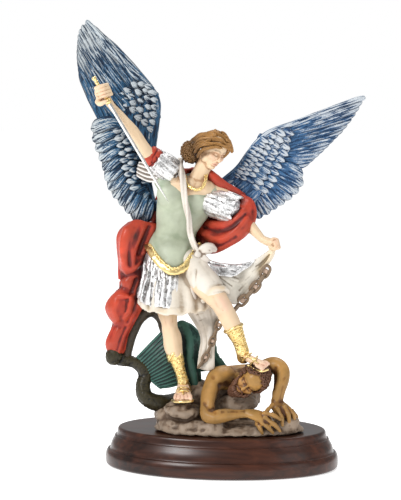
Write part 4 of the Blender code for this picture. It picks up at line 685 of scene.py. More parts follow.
# Brown painted shade in the folds, under the arms and between the fingers: each path, its width and its
# strength
for path, width, how in (([(-12, -26, 20), (-11, -30, 13), (-3.5, -33, 10.5), (5, -34, 10.5),
        (14, -34, 12.5)], 2.2, 0.85), ([(1.5, -14, 32.5), (-1, -18, 26.5), (-3.5, -24, 20.5), (0, -30, 17.5),
        (11.5, -33, 18)], 2.0, 0.9), ([(9.5, -8, 38), (7, -12, 30.5), (9.5, -14, 23)], 2.0, 0.8),
        ([(26.5, -12, 38.5), (32, -17, 38), (34.5, -20, 31), (33, -23, 22)], 1.6, 0.85),
        ([(-9.5, -17, 31), (-12, -20, 25)], 1.4, 0.6), ([(41.5, -18, 37), (41.5, -22, 28.5),
        (39.5, -25, 21.5)], 1.2, 0.7), ([(-5, -14, 35.5), (-0.5, -15, 32.5), (4, -14, 31.5)], 1.0, 0.5),
        ([(12, -4, 38.5), (18.5, -4, 40)], 1.8, 0.6), ([(29.5, -35, 15.5), (32.5, -37, 11), (36, -36, 6)],
        1.3, 0.95), ([(27, -35, 11.5), (29.5, -37, 6.5), (33, -36, 4)], 1.3, 0.95),
        ([(34.5, -35, 16), (38, -34, 10.5)], 1.2, 0.9), ([(37.5, -29, 17), (40.5, -31, 12.5), (41.5, -31, 6)],
        1.3, 0.95), ([(41.5, -26, 17.5), (44.5, -28, 12.5), (45.5, -28, 6)], 1.2, 0.95),
        ([(22, -34, 8.5), (25, -35, 3)], 1.2, 0.9), ([(39, -26, 21.5), (45.5, -24, 18)], 1.4, 0.6),
        ([(46.5, -24, 14.5), (48.5, -23, 7)], 1.2, 0.9)):
    near = demon.nearness(path, 1.6 * width)[:, None] * how * 0.8
    demon.marks["paint"][:, :3] = demon.marks["paint"][:, :3] * (1 - near) + brown * near
demon_flesh = painted("demon's flesh", (0.31, 0.150, 0.036), (0.060, 0.020, 0.007), (0.50, 0.29, 0.09), 0.98,
    0.45, 0.7, 0.8, 0.12, 0.25, "paint")
demon.place("demon", demon_flesh, contrast=1.1)

draw = random.Random(31)
curls = Shells()
# Tight curls over the skull, open at the face
for curl in range(150):
    angle, share = math.radians(137.5 * curl), (curl + 0.5) / 150
    rise = 1 - 1.55 * share
    round_it = math.sqrt(max(0.0, 1 - rise * rise))
    way = np.array((-rise * 0.35 + round_it * math.cos(angle), round_it * math.sin(angle), rise))
    if way[0] > 0.48 and rise < 0.66:
        continue
    root = np.array((9.9, 8.2, 9.3)) * unit(way) + (-1.0, 0, 2.0)
    size = 1.25 + 0.5 * draw.random()
    spin = draw.random() * 6.28
    coil = []
    for turn in np.linspace(0, 1.35 * 2 * math.pi, 9):
        away = unit(way) * (0.4 + 0.16 * turn) * size * 0.5
        across = unit(np.cross(way, (0.3, 0.2, 1))) * math.cos(turn + spin) + unit(np.cross(way,
            np.cross(way, (0.3, 0.2, 1)))) * math.sin(turn + spin)
        coil.append((*demon_head.at(*(root + away + across * size * (1 - 0.06 * turn))), 0.62))
    curls.tube(coil, 6, 12)
# Four rows of short locks make the beard
for curl in range(64):
    around = math.radians(-108 + 216 * (curl % 16) / 15 + 8 * draw.random())
    row = curl // 16
    low = -4.6 - 2.1 * row - 2.6 * math.cos(around)
    out = 4.0 + (4.9 - 0.5 * row) * math.cos(around)
    across = (6.3 - 0.9 * row) * math.sin(around)
    if row == 0 and abs(around) < 0.75:
        continue
    wave = draw.random() * 0.7 - 0.35
    curls.tube([(*demon_head.at(out, across, low + 0.8), 0.6), (*demon_head.at(out + 0.9, across + wave,
        low - 0.6), 1.0), (*demon_head.at(out + 0.6, across - wave, low - 2.2), 0.7)], 8, 8, ribs=3, rib=0.16,
        twist=0.3)
for way in (-1, 1):
    curls.tube([(*demon_head.at(8.9, 0.4 * way, -5.1), 0.5), (*demon_head.at(8.4, 2.2 * way, -5.6), 0.7),
        (*demon_head.at(7.2, 3.7 * way, -7.2), 0.55)], 10, 14, ribs=4, rib=0.16, twist=0.3)
dark_hair = painted("demon's hair", (0.040, 0.016, 0.009), (0.008, 0.004, 0.003), (0.17, 0.075, 0.040), 0.9,
    0.7, 0.3, 1.0, 0.2, 0.3)
Casting(curls).place("demon_hair_and_beard", dark_hair, contrast=1.2)

# ---- Serpent's tail and bat wings ----
# The demon's scaly tail winds round behind the standing leg and ends in a curled knot; one ribbed wing stands
# beside that leg, one behind it. Cast with the rock, olive-black and bottle green with pale dry-brushed ribs.

tail_line = [(-30, 10, 14.5, 6.3), (-38.5, -1, 16, 5.6), (-45.5, -3, 18, 5.2), (-50, -2, 21.5, 5),
    (-51, 0, 28, 4.6), (-49.5, 2, 34, 4.3), (-52.5, 2, 40, 3.9), (-58.5, 2, 43.5, 3.4), (-65, 2, 45, 4.3),
    (-70.5, 2, 47.5, 5.2)]
tail_form = Shells()
tail_form.tube([(-19.5, 20, 15.5, 7.3)] + tail_line, 20, 120)
tail_form.ball((-70.5, -1, 47.5), (5.4, 5.2, 6.4), (0, 15, 0), 16)
run = through(tail_line, 160)
# Raised scutes along the outer bend
for scute in range(44):
    here, ahead = run[int(36 + scute * 2.6)], run[int(38 + scute * 2.6)]
    outward = unit(np.cross(ahead[:3] - here[:3], (0, 1, 0)))
    tail_form.ball(here[:3] + outward * here[3] * 0.93, (1.05, 1.5, 1.15), steps=8)
draw = random.Random(9)
# The curled knot at the end
for curl in range(26):
    angle = math.radians(137.5 * curl)
    far = 0.4 + 0.6 * draw.random()
    middle = np.array((-70.5, 2, 47.5)) + (5.2 * far * math.cos(angle), -1.5 - 5.0 * draw.random(),
        6.2 * far * math.sin(angle))
    bend = np.array((math.cos(angle + 1.2), -0.4, math.sin(angle + 1.2)))
    tail_form.tube([(*(middle - bend * 1.4), 0.9), (*(middle + (0, -0.7, 0)), 1.3),
        (*(middle + bend * 1.4), 0.8)], 10, 10)
tail = Casting(tail_form, 0.62, 1)
# Belly plates, cut across the front
for turn in range(58):
    here, ahead = run[min(2 + int(turn * 2.7), 158)], run[min(3 + int(turn * 2.7), 159)]
    along = unit(ahead[:3] - here[:3])
    side = unit(np.cross(along, (0, -1, 0.1)))
    belly = here[:3] + np.array((0, -1, 0)) * here[3] * 0.8
    tail.stroke(-0.35, 0.5, [here[:3] - side * here[3] * 0.9, belly, here[:3] + side * here[3] * 0.9])
tail.roughen(0.25, 1.6, 5.0)
scales = painted("serpent scales", (0.013, 0.011, 0.005), (0.002, 0.002, 0.001), (0.075, 0.060, 0.022), 0.9,
    0.3, 0.6, 0.8, 0.3, 0.25)
tail.place("serpent_tail", scales, contrast=1.2)

arch_form = Shells()
arch_form.tube([(-62, 2, 48, 3.3), (-60, 2, 56.5, 3.3), (-57.5, 2, 64, 3.6), (-54.5, 3, 70.5, 3.9),
    (-49.5, 4, 75.5, 4.3), (-44, 5, 75.5, 3.9), (-40, 4, 71, 3), (-38, 2, 64, 2.6)], 18, 70)
arch = Casting(arch_form, 0.6, 2)
arch.stroke(-0.5, 0.7, [(-59.5, -3, 51.5), (-58, -3, 59.5), (-54.5, -3, 67.5), (-49, -3, 73.5),
    (-43.5, -2, 74.5)], [(-61.5, -3, 51.5), (-60.5, -3, 59.5), (-57, -3, 67.5), (-52, -3, 75.5)])
arch.roughen(0.2, 2.4, 2.0)
bark = painted("dark wing bone", (0.016, 0.012, 0.008), (0.003, 0.003, 0.002), (0.075, 0.055, 0.032), 0.9,
    0.4, 0.6, 1.0, 0.3, 0.2)
arch.place("wing_bone", bark)

web_form = Shells()
web_rows = [[(-56, 2, 46), (-48.5, 2, 54), (-42, 3, 60.5), (-36.5, 4, 66.5)], [(-50.5, 1, 38.5),
    (-43.5, 0, 47), (-37, 0, 53.5), (-31, 1, 57.5)], [(-47, 1, 31), (-39.5, -1, 37.5), (-33, -1, 43.5),
    (-27, 0, 47)], [(-40.5, 1, 25.5), (-35, -1, 26), (-28.5, -1, 27.5), (-22, 0, 28.5)]]
web_form.cloth(web_rows, 2.8, 60, 50)
web = Casting(web_form, 0.6, 1)
rows = [through(row, 24) for row in web_rows]
spans = [through([row[i] for row in rows], 30) for i in range(24)]
fans = [np.array([spans[i][j] for i in range(24)]) for j in range(30)]
# Ribs fan out over the skin, each beside a groove
for rib in range(1, 29, 2):
    web.stroke(0.5, 0.42, fans[rib] + (0, -1.4, 0))
    web.stroke(-0.35, 0.5, (fans[rib] + fans[rib + 1]) / 2 + (0, -1.4, 0))
web.stroke(0.4, 0.6, spans[1] + (0, -1.4, 0), spans[22] + (0, -1.4, 0))
green = painted("bat wing green", (0.008, 0.046, 0.037), (0.002, 0.008, 0.008), (0.075, 0.20, 0.155), 0.95,
    0.5, 0.7, 0.8, 0.2, 0.35)
web.place("ribbed_bat_wing", green, contrast=1.0)

lobe_form = Shells()
lobe_form.cloth([[(-31, 6, 67.5), (-28, 5, 57), (-26.5, 4, 44), (-23, 3, 30.5), (-20.5, 2, 20)],
    [(-26, 3, 70.5), (-21, -1, 59), (-21, -2, 45), (-18.5, -2, 31.5), (-16.5, -1, 20.5)],
    [(-20.5, 4, 67), (-14, 3, 58), (-16.5, 3, 45.5), (-14, 3, 33.5), (-14, 3, 21.5)]], 3.0, 40, 60)
lobe_form.tube([(-26, 4, 69, 1.3), (-20.5, 3, 66.5, 1.6), (-16, 3, 62, 1.5), (-14.5, 3, 56.5, 1.4),
    (-16, 3, 49.5, 1.4), (-15.5, 3, 42.5, 1.4), (-14.5, 3, 34, 1.4), (-15, 3, 26.5, 1.3)], 14, 60)
lobe = Casting(lobe_form, 0.6, 1)
for fold in range(7):
    at = fold / 6
    lobe.stroke(0.45, 0.6, [np.array((-26.5, 0, 68.5)) + (at * 6, -2, -at * 4), np.array((-23, -3, 58))
        + (at * 4.5, -1, 0), np.array((-24.5, -3, 45)) + (at * 7, 0, 0), np.array((-20.5, -3, 28.5))
        + (at * 5, 0, 0)])
lobe.roughen(0.12, 3.0, 7.0)
lobe.place("upright_bat_wing", green, contrast=0.9)

far_form = Shells()
far_form.cloth([[(-14, 6, 63.5), (-9, 6, 62), (-5, 6, 60.5)], [(-14, 6, 50), (-8, 6, 49.5), (-3, 5, 46.5)],
    [(-14, 6, 35.5), (-6, 5, 36.5), (5, 3, 38)]], 2.8, 24, 24)
far_wing = Casting(far_form, 0.6, 1)
far_wing.stroke(0.4, 0.6, [(-5.5, 4, 61), (-4, 4, 53.5), (-1, 3, 44), (4.5, 1, 39)],
    [(-9.5, 4, 61.5), (-8, 4, 50.5), (-5, 3, 37.5)])
far_wing.place("far_bat_wing", green)

# ---- Archangel's body ----
# Bare arms, neck, face and legs, modelled smooth and painted a warm cream with pinker cheeks, lips,
# knuckles and knees, with painted shade in the creases and under the cloth. The right fist is raised round
# the sword, the left fist holds the chain.

skin_tone, blush_tone = (0.75, 0.56, 0.365), (0.74, 0.40, 0.28)
skin = painted("archangel's skin", skin_tone, (0.34, 0.15, 0.06), (0.80, 0.63, 0.44), 0.70, 0.25, 0.12, 0.6,
    0.05, 0.25, "paint")

head = Head((-5.5, -8, 183), 38, 27, 16)
face_form = Shells()
head.skull(face_form)
face_form.tube([(-22, -2, 155, 9.7), (-17.5, -4, 160.5, 7.1), (-14.5, -5, 166, 5.6),
    (-11.5, -5.5, 172.5, 5.3), (-9, -5, 177.5, 5.4)], 24, 40)
face_form.tube([(-29.5, -5, 159.5, 6.5), (-20.5, -6, 158, 7.8), (-10, -6, 157, 6.5)], 20, 24)
face = Casting(face_form, 0.5, 3)
head.face(face)
face.stroke(0.35, 1.0, [(-16.5, -12, 175), (-18.5, -12, 167.5), (-19.5, -12, 161)])
face.stroke(-0.4, 1.2, [(-14, -14, 170.5), (-16, -14, 164), (-17.5, -14, 160)])
head.paint(face, skin_tone, blush_tone, (0.66, 0.25, 0.20), (0.16, 0.075, 0.035))
face.place("head_and_neck", skin)

arm_form = Shells()
arm_form.tube([(-29.5, -4, 163, 6.5), (-36.5, -5, 170.5, 5.5), (-43, -7, 176.5, 4.6), (-48, -9, 181.5, 4.2),
    (-51.5, -10.5, 186.5, 4), (-54.5, -12, 191, 4.2), (-58, -13, 196, 4.1), (-62, -14, 201, 3.6),
    (-66, -14.5, 206.5, 2.8), (-70, -15, 211, 2.4), (-73.5, -16.5, 216, 2.9)], 24, 80)
arm_form.ball((-76.5, -18, 219.5), (4.5, 4.2, 5.6), (0, -35, 0), 18)
arm_form.ball((-78, -19.5, 216.5), (2.4, 2.6, 2.8), (0, -20, 0))
for finger in range(4):
    left, right = np.array((-80.3, -21, 223.3)), np.array((-73.3, -20, 225.5))
    drop = np.array((0.85 * finger, 0.15 * finger, -2.05 * finger))
    arm_form.tube([(*(left + drop + (0.6, 2.4, 0.2)), 1.15), (*(left + drop), 1.25),
        (*((left + right) / 2 + drop + (-0.6, -3.1, 0.1)), 1.3), (*(right + drop), 1.2),
        (*(right + drop + (0.2, 2.4, 0)), 1.1)], 14, 26)
arm_form.tube([(-79.5, -20, 214.5, 1.6), (-77.5, -23.5, 213.5, 1.7), (-74, -24.5, 215, 1.3)], 14, 18)
arm = Casting(arm_form, 0.55, 1)
for finger in range(3):
    left, right = np.array((-80.3, -21, 223.3)), np.array((-73.3, -20, 225.5))
    drop = np.array((0.85 * finger + 0.42, 0.1, -2.05 * finger - 1.0))
    arm.stroke(-0.42, 0.34, [left + drop, (left + right) / 2 + drop + (-0.5, -3.6, 0), right + drop])
arm.stroke(0.45, 1.6, [(-57.5, -19, 197), (-60.5, -19, 201.5)])
arm.stroke(-0.35, 0.9, [(-52.5, -17, 189.5), (-55, -19, 194), (-58, -19, 199)], [(-66.5, -18, 205),
    (-62.5, -20, 199), (-58, -20, 193)])
# Blush on the knuckles, and painted shade in the crook of the elbow.
tinted(arm, skin_tone, (blush_tone, [(-78.8, -24, 223.6), (-76.8, -25, 219.8), (-75.6, -25, 217.3)], 2.6,
    0.5), ((0.62, 0.40, 0.20), [(-53, -19, 191), (-58.5, -20, 199)], 2.2, 0.35))
arm.place("sword_arm", skin, contrast=1.2)

low_form = Shells()
low_form.tube([(-5, -3, 155, 6.5), (3, -5, 151, 5.5), (9.5, -6, 144, 4.9), (14.5, -8, 138, 4.5),
    (18.5, -10, 133.5, 3.9), (22.5, -12.5, 129.5, 3.1), (26, -15, 126, 2.6), (29.5, -17, 124.5, 2.8)], 24, 60)
low_form.ball((33, -18, 123.5), (4.2, 3.5, 3.3), (0, 20, 0), 16)
for finger in range(4):
    knuckle = np.array((35.1, -19.5, 126.2)) + np.array((0.35 * finger, -0.2 * finger, -1.45 * finger))
    low_form.tube([(*(knuckle + (-2.4, 0.4, 0.4)), 1.05), (*knuckle, 1.2), (*(knuckle + (0.6, -1.6, -0.8)),
        1.1), (*(knuckle + (-1.5, -2.4, -1.3)), 0.95)], 12, 18)
low_form.tube([(31, -21, 121.5, 1.4), (33.5, -22, 120.5, 1.5), (35.5, -22.5, 122, 1.2)], 12, 16)
low_arm = Casting(low_form, 0.5, 1)
low_arm.stroke(0.4, 1.4, [(18, -15, 135), (22.5, -16, 130.5)])
low_arm.stroke(-0.5, 0.8, [(35, -25, 122)])
# Blush on the knuckles, painted shade in the hollow of the fist and under the wrist.
tinted(low_arm, skin_tone, (blush_tone, [(34.5, -21, 126), (36, -21, 122)], 2.0, 0.55),
    ((0.45, 0.24, 0.10), [(35, -25, 122)], 0.9, 0.9), ((0.60, 0.38, 0.16), [(26, -18, 121), (31, -20, 119)],
    2.2, 0.5))
low_arm.place("chain_arm", skin)

WEIGHT_LEG = [(-37, -2, 101, 9.1), (-35.5, -5, 88, 8.1), (-35, -8, 77.5, 6.8), (-34, -9, 71, 5.3),
    (-33.5, -9.5, 66.5, 5.3), (-32, -9, 60.5, 6.1), (-31.5, -8, 54.5, 6), (-29.5, -8, 47, 4.7),
    (-27, -8, 38.5, 3.4), (-25, -9, 31.5, 3.3)]
BENT_LEG = [(-21, -6, 106, 9.1), (-12, -20, 97.5, 8), (-5, -30, 91.5, 7.2), (-1, -31, 86.5, 6.3),
    (2.5, -28, 80, 6), (6, -26, 73, 5.9), (9, -24.5, 66, 5), (11.5, -23, 60, 4.1), (13.5, -22, 53.5, 3.9)]
leg_form = Shells()
leg_form.tube(WEIGHT_LEG, 28, 110)
leg_form.tube(BENT_LEG, 28, 90)
legs = Casting(leg_form, 0.7, 2)
legs.stroke(0.5, 2.0, [(-34.5, -17, 75), (-34, -17, 69.5)], [(-1.5, -41, 90), (0.5, -39, 86)])
legs.stroke(-0.5, 1.3, [(-37.5, -15, 76), (-36, -16, 70), (-33.5, -17, 67.5)], [(-31, -14, 77),
    (-31.5, -16, 72)], [(-5.5, -37, 91), (-2.5, -38, 84.5), (0.5, -37, 82.5)])
legs.stroke(0.35, 1.2, [(-32, -17, 66.5), (-31, -16, 57), (-28.5, -14, 45.5), (-26.5, -14, 36.5)],
    [(2.5, -37, 82), (6.5, -34, 72.5), (11, -29, 61)])
legs.stroke(-0.35, 1.4, [(-28.5, -14, 66.5), (-26.5, -13, 56.5)], [(-1, -33, 78.5), (2.5, -31, 69)])
# Blush on the knees, and painted shadow under the skirt's hem on the standing leg and under the cloth's edge
# on the bent leg.
tinted(legs, skin_tone, ((0.82, 0.47, 0.38), [(-0.5, -41, 89.5), (2, -40, 85)], 4.5, 0.6),
    ((0.82, 0.50, 0.38), [(-34.5, -17, 72)], 4.0, 0.35), ((0.55, 0.34, 0.15), [(-38, -10, 76),
    (-33.5, -14, 78.5), (-29.5, -10, 75)], 2.6, 0.4), ((0.60, 0.38, 0.17), [(-10, -28, 89), (-7, -34, 93.5),
    (-1.5, -36, 96.5)], 2.2, 0.5))
legs.place("bare_legs", skin, contrast=1.2)

# ---- Hair ----
# Shoulder-length waved hair combed back from a side parting into a mass of ringlets on the nape; golden
# brown on the crown, dark brown in the curls. Cast with the head.

draw = random.Random(4)
hair_form = Shells()
head.lump(hair_form, (-3.0, 0.9, 3.0), (9.2, 8.0, 8.9), 20)
# Rows combed back, all of them on the far side and only the upper ones on the near side
for near in (-1, 1):
    for row in range(11):
        share = row / 10
        if near < 0 and share < 0.65:
            continue
        rise = math.radians(34 + 100 * share)
        start = np.array((math.cos(rise), 0.05 * near, math.sin(rise)))
        over = np.array((0.60 - 0.72 * share, near * (0.97 - 0.3 * share), 0.24 + 0.66 * share))
        behind = np.array((-0.35 - 0.45 * share, near * (0.9 - 0.25 * share), -0.16 + 0.52 * share))
        nape = np.array((-0.85, near * 0.55, -0.55 + 0.36 * share))
        wave, phase = 0.35 + 0.3 * draw.random(), 6.28 * draw.random()
        lift = (10.1 if near < 0 else 10.5) + 0.4 * draw.random()
        points = []
        for index, (way, thick) in enumerate(zip(through([start, over, behind, nape], 14),
                np.interp(np.linspace(0, 1, 14), (0, 0.15, 0.5, 1), (0.75, 1.15, 1.3, 1.25)))):
            far = np.array((lift, lift * 0.83, lift * 0.95)) * unit(way) + (-1.0, 0, 2.0)
            far = far + np.array((0, 0, wave * math.sin(1.5 * index + phase)))
            points.append((*head.at(*far), thick))
        hair_form.tube(points, 12, 36, ribs=3, rib=0.16, twist=0.05)
# Waved locks from the parting to the nape, each under two thin wisps
locks = (((6.5, -7, 181.5, 0.8), (5.5, -9.5, 185.5, 1.2), (3, -11, 189, 1.4), (-0.5, -11.5, 192, 1.5),
    (-5, -11, 193.5, 1.6), (-9.5, -9.5, 193, 1.6), (-13.5, -8, 191, 1.5), (-16.5, -7, 188, 1.3)),
    ((5, -11, 183.5, 0.8), (2.5, -13, 187, 1.2), (-1, -14.5, 189.5, 1.3), (-5, -15, 190.5, 1.5),
    (-9.5, -14, 190.5, 1.5), (-13.5, -12.5, 189.5, 1.5), (-16.5, -11, 186.5, 1.4), (-18, -10, 183.5, 1.2)),
    ((3.5, -13.5, 184.5, 0.6), (0, -15.5, 186.5, 1), (-4, -16.5, 187.5, 1.2), (-8, -17, 187.5, 1.3),
    (-12, -16, 187, 1.4), (-15, -14, 185, 1.3), (-17, -12.5, 182, 1)), ((-0.5, -16, 185, 0.6),
    (-4, -17.5, 185.5, 0.8), (-8, -18, 185, 1), (-11.5, -17, 184, 1.1), (-14, -15, 182, 1),
    (-15.5, -13, 179, 0.8)), ((-5.5, -13, 191.5, 1), (-9, -16.5, 189, 1), (-12, -15.5, 188.5, 1.1),
    (-15, -13.5, 187, 1), (-17, -12, 184.5, 0.9)), ((-3.5, -8, 192, 1.7), (-9.5, -4, 192.5, 1.9),
    (-14.5, -2, 190.5, 1.9), (-18.5, 0, 187.5, 1.8), (-21, 1, 183.5, 1.8), (-22, 2, 179, 1.7)),
    ((-5, -2, 191.5, 1.9), (-11.5, 3, 191.5, 2.1), (-16.5, 4, 188.5, 2.1), (-20, 5, 184, 2.1),
    (-20.5, 5, 179, 1.9), (-19, 4, 174.5, 1.7)), ((-6, 5, 190.5, 1.9), (-11.5, 8, 188, 2.2),
    (-15.5, 7, 183.5, 2.2), (-16.5, 6, 178.5, 2.1), (-15.5, 4, 174, 1.7)))
for lock in locks:
    hair_form.tube(lock, 14, 38, ribs=4, rib=0.2, twist=0.12)
    for _ in range(2):
        swing, phase = 0.45 + 0.3 * draw.random(), 6.28 * draw.random()
        wisp = []
        for step, spot in enumerate(through(lock, 14)):
            away = unit(spot[:3] - np.array((-9, 0, 182)))
            wisp.append((*(spot[:3] + away * spot[3] * 0.8 + (0, -0.25, 0) + (0.4 * swing
                * math.sin(0.9 * step + phase), 0, swing * math.cos(0.9 * step + phase))),
                0.62 - 0.02 * step))
        hair_form.tube(wisp, 7, 26)
# Locks that hang on the far side
for lead in (3.2, 0.8, -1.6, -4.0, -6.0):
    drop = ((1.0, 5.8, 9.2, 1.3), (0.2, 8.3, 5.0, 1.8), (-1.0, 9.0, 0.0, 1.9), (-2.6, 8.2, -4.8, 1.8),
        (-4.2, 6.6, -8.6, 1.2))
    hair_form.tube([(*head.at(lead + f, s * (1 - 0.02 * (lead - 3.2) ** 2 / 4), u), r) for f, s, u,
        r in drop], 12, 36, ribs=3, rib=0.16, twist=0.08)
# Ringlets coiled over a ball on the nape
mass, mass_size = np.array((-20.5, -5.5, 181.5)), np.array((4.6, 5.4, 5.9))
hair_form.ball(mass, mass_size, (0, 0, 0), 14)
for curl in range(64):
    rise, angle = 1 - (2 * curl + 1) / 64, 2.39996 * curl
    round_it = math.sqrt(1 - rise * rise)
    way = np.array((round_it * math.cos(angle), round_it * math.sin(angle), rise))
    if way[0] > 0.72:
        continue
    out = unit(way / mass_size)
    one = unit(np.cross(out, (0.3, 0.2, 1)))
    two, spin, size = np.cross(out, one), 6.28 * draw.random(), 0.95 + 0.25 * draw.random()
    coil = [(*(mass + way * mass_size + out * (0.1 + 0.16 * turn) + (one * math.cos(turn + spin) + two
        * math.sin(turn + spin)) * size * (1.15 - 0.075 * turn)), 0.64 - 0.02 * turn)
        for turn in np.linspace(0, 8.6, 11)]
    hair_form.tube(coil, 6, 18)
hair = Casting(hair_form)
dark_side = np.clip(((hair.points - np.array((-5.5, -8, 188.5))) @ np.array((-0.92, 0, -0.38)) - 6.5) / 5.0,
    0, 1)[:, None]
colour = np.array((0.33, 0.155, 0.040)) * (1 - dark_side) + np.array((0.070, 0.026, 0.010)) * dark_side
hair.colour_by(colour)
hair_paint = painted("golden brown hair", (0.30, 0.145, 0.045), (0.035, 0.014, 0.006), (0.46, 0.25, 0.08),
    0.95, 0.28, 0.5, 1.0, 0.2, 0.3, "paint")
hair.place("hair", hair_paint, contrast=1.3)

# ---- Cuirass ----
# Close-fitting breastplate in the form of the body, modelled with chest, ribs and navel, painted a pale sage
# green with painted shade in its creases. A gilt lace neckline and a gilt belt with a low point finish its
# edges.

trunk_form = Shells()
trunk_form.tube([(-31, -1, 104, 16.3), (-31.5, -2, 109.5, 16.9), (-31.5, -1, 116, 16.4),
    (-30.5, -1, 123.5, 13.9), (-29.5, -1, 130, 13.3), (-27.5, -2, 138, 15.6), (-24.5, -2, 146.5, 17.8),
    (-21, -2, 153, 16.2), (-19.5, -2, 154.5, 13)], 40, 90, face=(0, -1, 0.05), flat=0.62)
trunk_form.ball((-32, -8, 153), (10.5, 4.8, 9.0), (0, 14, -6), 18)
trunk_form.ball((-15.5, -8.5, 150), (9.6, 4.8, 8.6), (0, 14, 12), 18)
trunk_form.ball((-31.5, -6.5, 116.5), (12, 5, 12), (0, 0, 0), 18)
trunk_form.ball((-36, -4, 161), (8, 6.5, 6.0), (0, 20, 0), 16)
trunk_form.ball((-9.5, -5, 155.5), (8.5, 7.0, 6.8), (0, 20, 0), 16)
trunk_form.ball((-6.5, -5, 154), (8, 6.4, 5.6), (0, 20, 0), 16)
trunk_form.cloth([[(-44, 3, 128), (-39.5, 0.5, 128), (-31.5, -1, 128.5), (-24, 0.5, 128), (-18.5, 3, 128)],
    [(-47, -2, 120), (-42, -9, 119.5), (-32, -13, 118.5), (-22.5, -9, 119.5), (-16.5, -2, 120.5)],
    [(-46, -6, 117), (-41, -14.5, 112.5), (-31.5, -18, 106), (-22.5, -14, 111), (-16.5, -6, 117.5)]], 5.0, 40,
    40)
trunk = Casting(trunk_form, 0.8, 12)
trunk.stroke(-1.3, 1.4, [(-21.5, -17, 147.5), (-20.5, -16.5, 144.5), (-17, -16, 142), (-12.5, -15, 143),
    (-9.5, -12, 145.5)], [(-41.5, -12, 151), (-39.5, -14, 146.5), (-35, -15.5, 144), (-30, -17, 144),
    (-26, -17, 146)])
trunk.stroke(-0.6, 1.8, [(-23.5, -17, 154), (-24.5, -17, 146), (-26, -16, 137), (-29, -15, 128)])
trunk.stroke(-0.35, 2.0, [(-40, -13, 140.5), (-37, -14, 135.5), (-32, -15, 132.5)],
    [(-12, -11, 140), (-15.5, -13, 135.5), (-20.5, -14.5, 133)])
trunk.stroke(0.45, 2.6, [(-34.5, -15, 128), (-35, -17, 121.5)], [(-24.5, -14, 128), (-23, -16, 121.5)])
trunk.stroke(-0.55, 1.8, [(-44.5, -9, 126), (-41.5, -14, 120), (-37, -17, 113.5)],
    [(-17.5, -9, 126), (-20, -13, 120), (-24.5, -17, 113.5)])
trunk.stroke(-0.4, 1.5, [(-39, -14, 129), (-32, -15.5, 127.5), (-24.5, -14, 129)])
trunk.stroke(-1.5, 0.9, [(-31.5, -18, 122.5)])
trunk.stroke(0.3, 1.0, [(-33, -18, 123), (-31.5, -18, 124), (-30, -18, 123)])
sage, sage_in_shade = (0.405, 0.445, 0.330), (0.20, 0.29, 0.18)
# Painted shade under the chest and both arms, along the belt, in the creases of the belly and in the navel.
tinted(trunk, sage, (sage_in_shade, [(-21.5, -17, 147.5), (-20.5, -16.5, 144.5), (-17, -16, 142),
    (-12.5, -15, 143), (-9.5, -12, 145.5)], 1.3, 0.45), (sage_in_shade, [(-41.5, -12, 153), (-39.5, -14, 146.5),
    (-35, -15.5, 144)], 1.6, 0.4), (sage_in_shade, [(-40, -9, 159.5), (-38, -9, 163), (-33.5, -9, 165.5),
    (-28, -9, 168)], 2.0, 0.6), (sage_in_shade, [(-46.5, -8, 120), (-42, -14, 112), (-36.5, -18, 107.5),
    (-31.5, -19, 104.5), (-25, -18, 106), (-19, -14, 112)], 2.2, 0.6), (sage_in_shade,
    [(-17.5, -9, 127), (-19, -13, 122.5), (-22.5, -16, 116.5)], 1.6, 0.45), (sage_in_shade,
    [(-45, -8, 128.5), (-42.5, -13, 121)], 1.8, 0.4), ((0.03, 0.03, 0.02), [(-31.5, -17, 122.5)], 0.85, 1.0),
    (sage_in_shade, [(-9.5, -11, 153.5), (-10, -11, 147)], 1.8, 0.35))
green_paint = painted("sage green paint", sage, (0.17, 0.22, 0.13), (0.62, 0.66, 0.55), 0.55, 0.2, 0.22, 0.7,
    0.08, 0.2, "paint")
trunk.place("cuirass", green_paint, contrast=0.9)

trim = Shells()
draw = random.Random(7)
# Two staggered lines of beads on a cord make the lace
neckline = through([(-24, -9, 167), (-23.5, -12.5, 163), (-21, -15.5, 160), (-16.5, -17, 158),
    (-12.5, -16, 159.5), (-10.5, -13, 163.5), (-10, -8, 167.5)], 70)
for index, spot in enumerate(neckline):
    ahead = neckline[min(index + 1, 69)] - neckline[max(index - 1, 0)]
    side = unit(np.cross(ahead, (0, -1, 0)))
    trim.ball(spot + side * (0.55 * (-1) ** index) + (0, -0.25, 0), (0.55, 0.5, 0.55),
        (0, 360 * draw.random(), 0), 5)
trim.tube([(*spot, 0.62) for spot in neckline[::6]], 10, 60)
# The belt has a row of beads at each edge and small scrolls between them
belt = through([(-48.5, 2, 122), (-47, -8, 119.5), (-43, -15.5, 114.5), (-38, -20, 109.5),
    (-31.5, -22.5, 106), (-24.5, -20.5, 108), (-19.5, -17, 113.5), (-16, -10, 118), (-15.5, 0, 121.5)], 96)
for index, spot in enumerate(belt):
    ahead = unit(belt[min(index + 1, 95)] - belt[max(index - 1, 0)])
    outward = unit(np.cross(np.cross(ahead, (0, -1, 0)), ahead))
    side = unit(np.cross(ahead, outward))
    for row in (-1, 1):
        trim.ball(spot + side * (1.9 * row) + outward * 0.1, (0.85, 0.75, 0.8), (0, 360 * draw.random(), 0),
            5)
    if index % 3 == 0:
        for swirl in range(2):
            centre = spot + side * (0.9 - 1.8 * swirl) + outward * (0.5 + 0.3 * draw.random())
            spin = 6.28 * draw.random()
            trim.tube([(*(centre + (side * math.cos(spin + a) + ahead * math.sin(spin + a)) * 0.62), 0.34)
                for a in (0, 1.4, 2.8, 4.2)], 7, 9)
trim.tube([(*spot, 2.55) for spot in belt[::8]], 18, 90, face=(0, -1, 0.3), flat=0.42)
Casting(trim).roughen(0.4, 1.3, 2.0).place("gilt_neckline_and_belt", gilt, contrast=1.3)

# ---- Baldric ----
# Twisted band of off-white cloth from the right shoulder across the chest to the left hip, where it ends in
# a bow with short soft tails. Its folds run on a long twist.

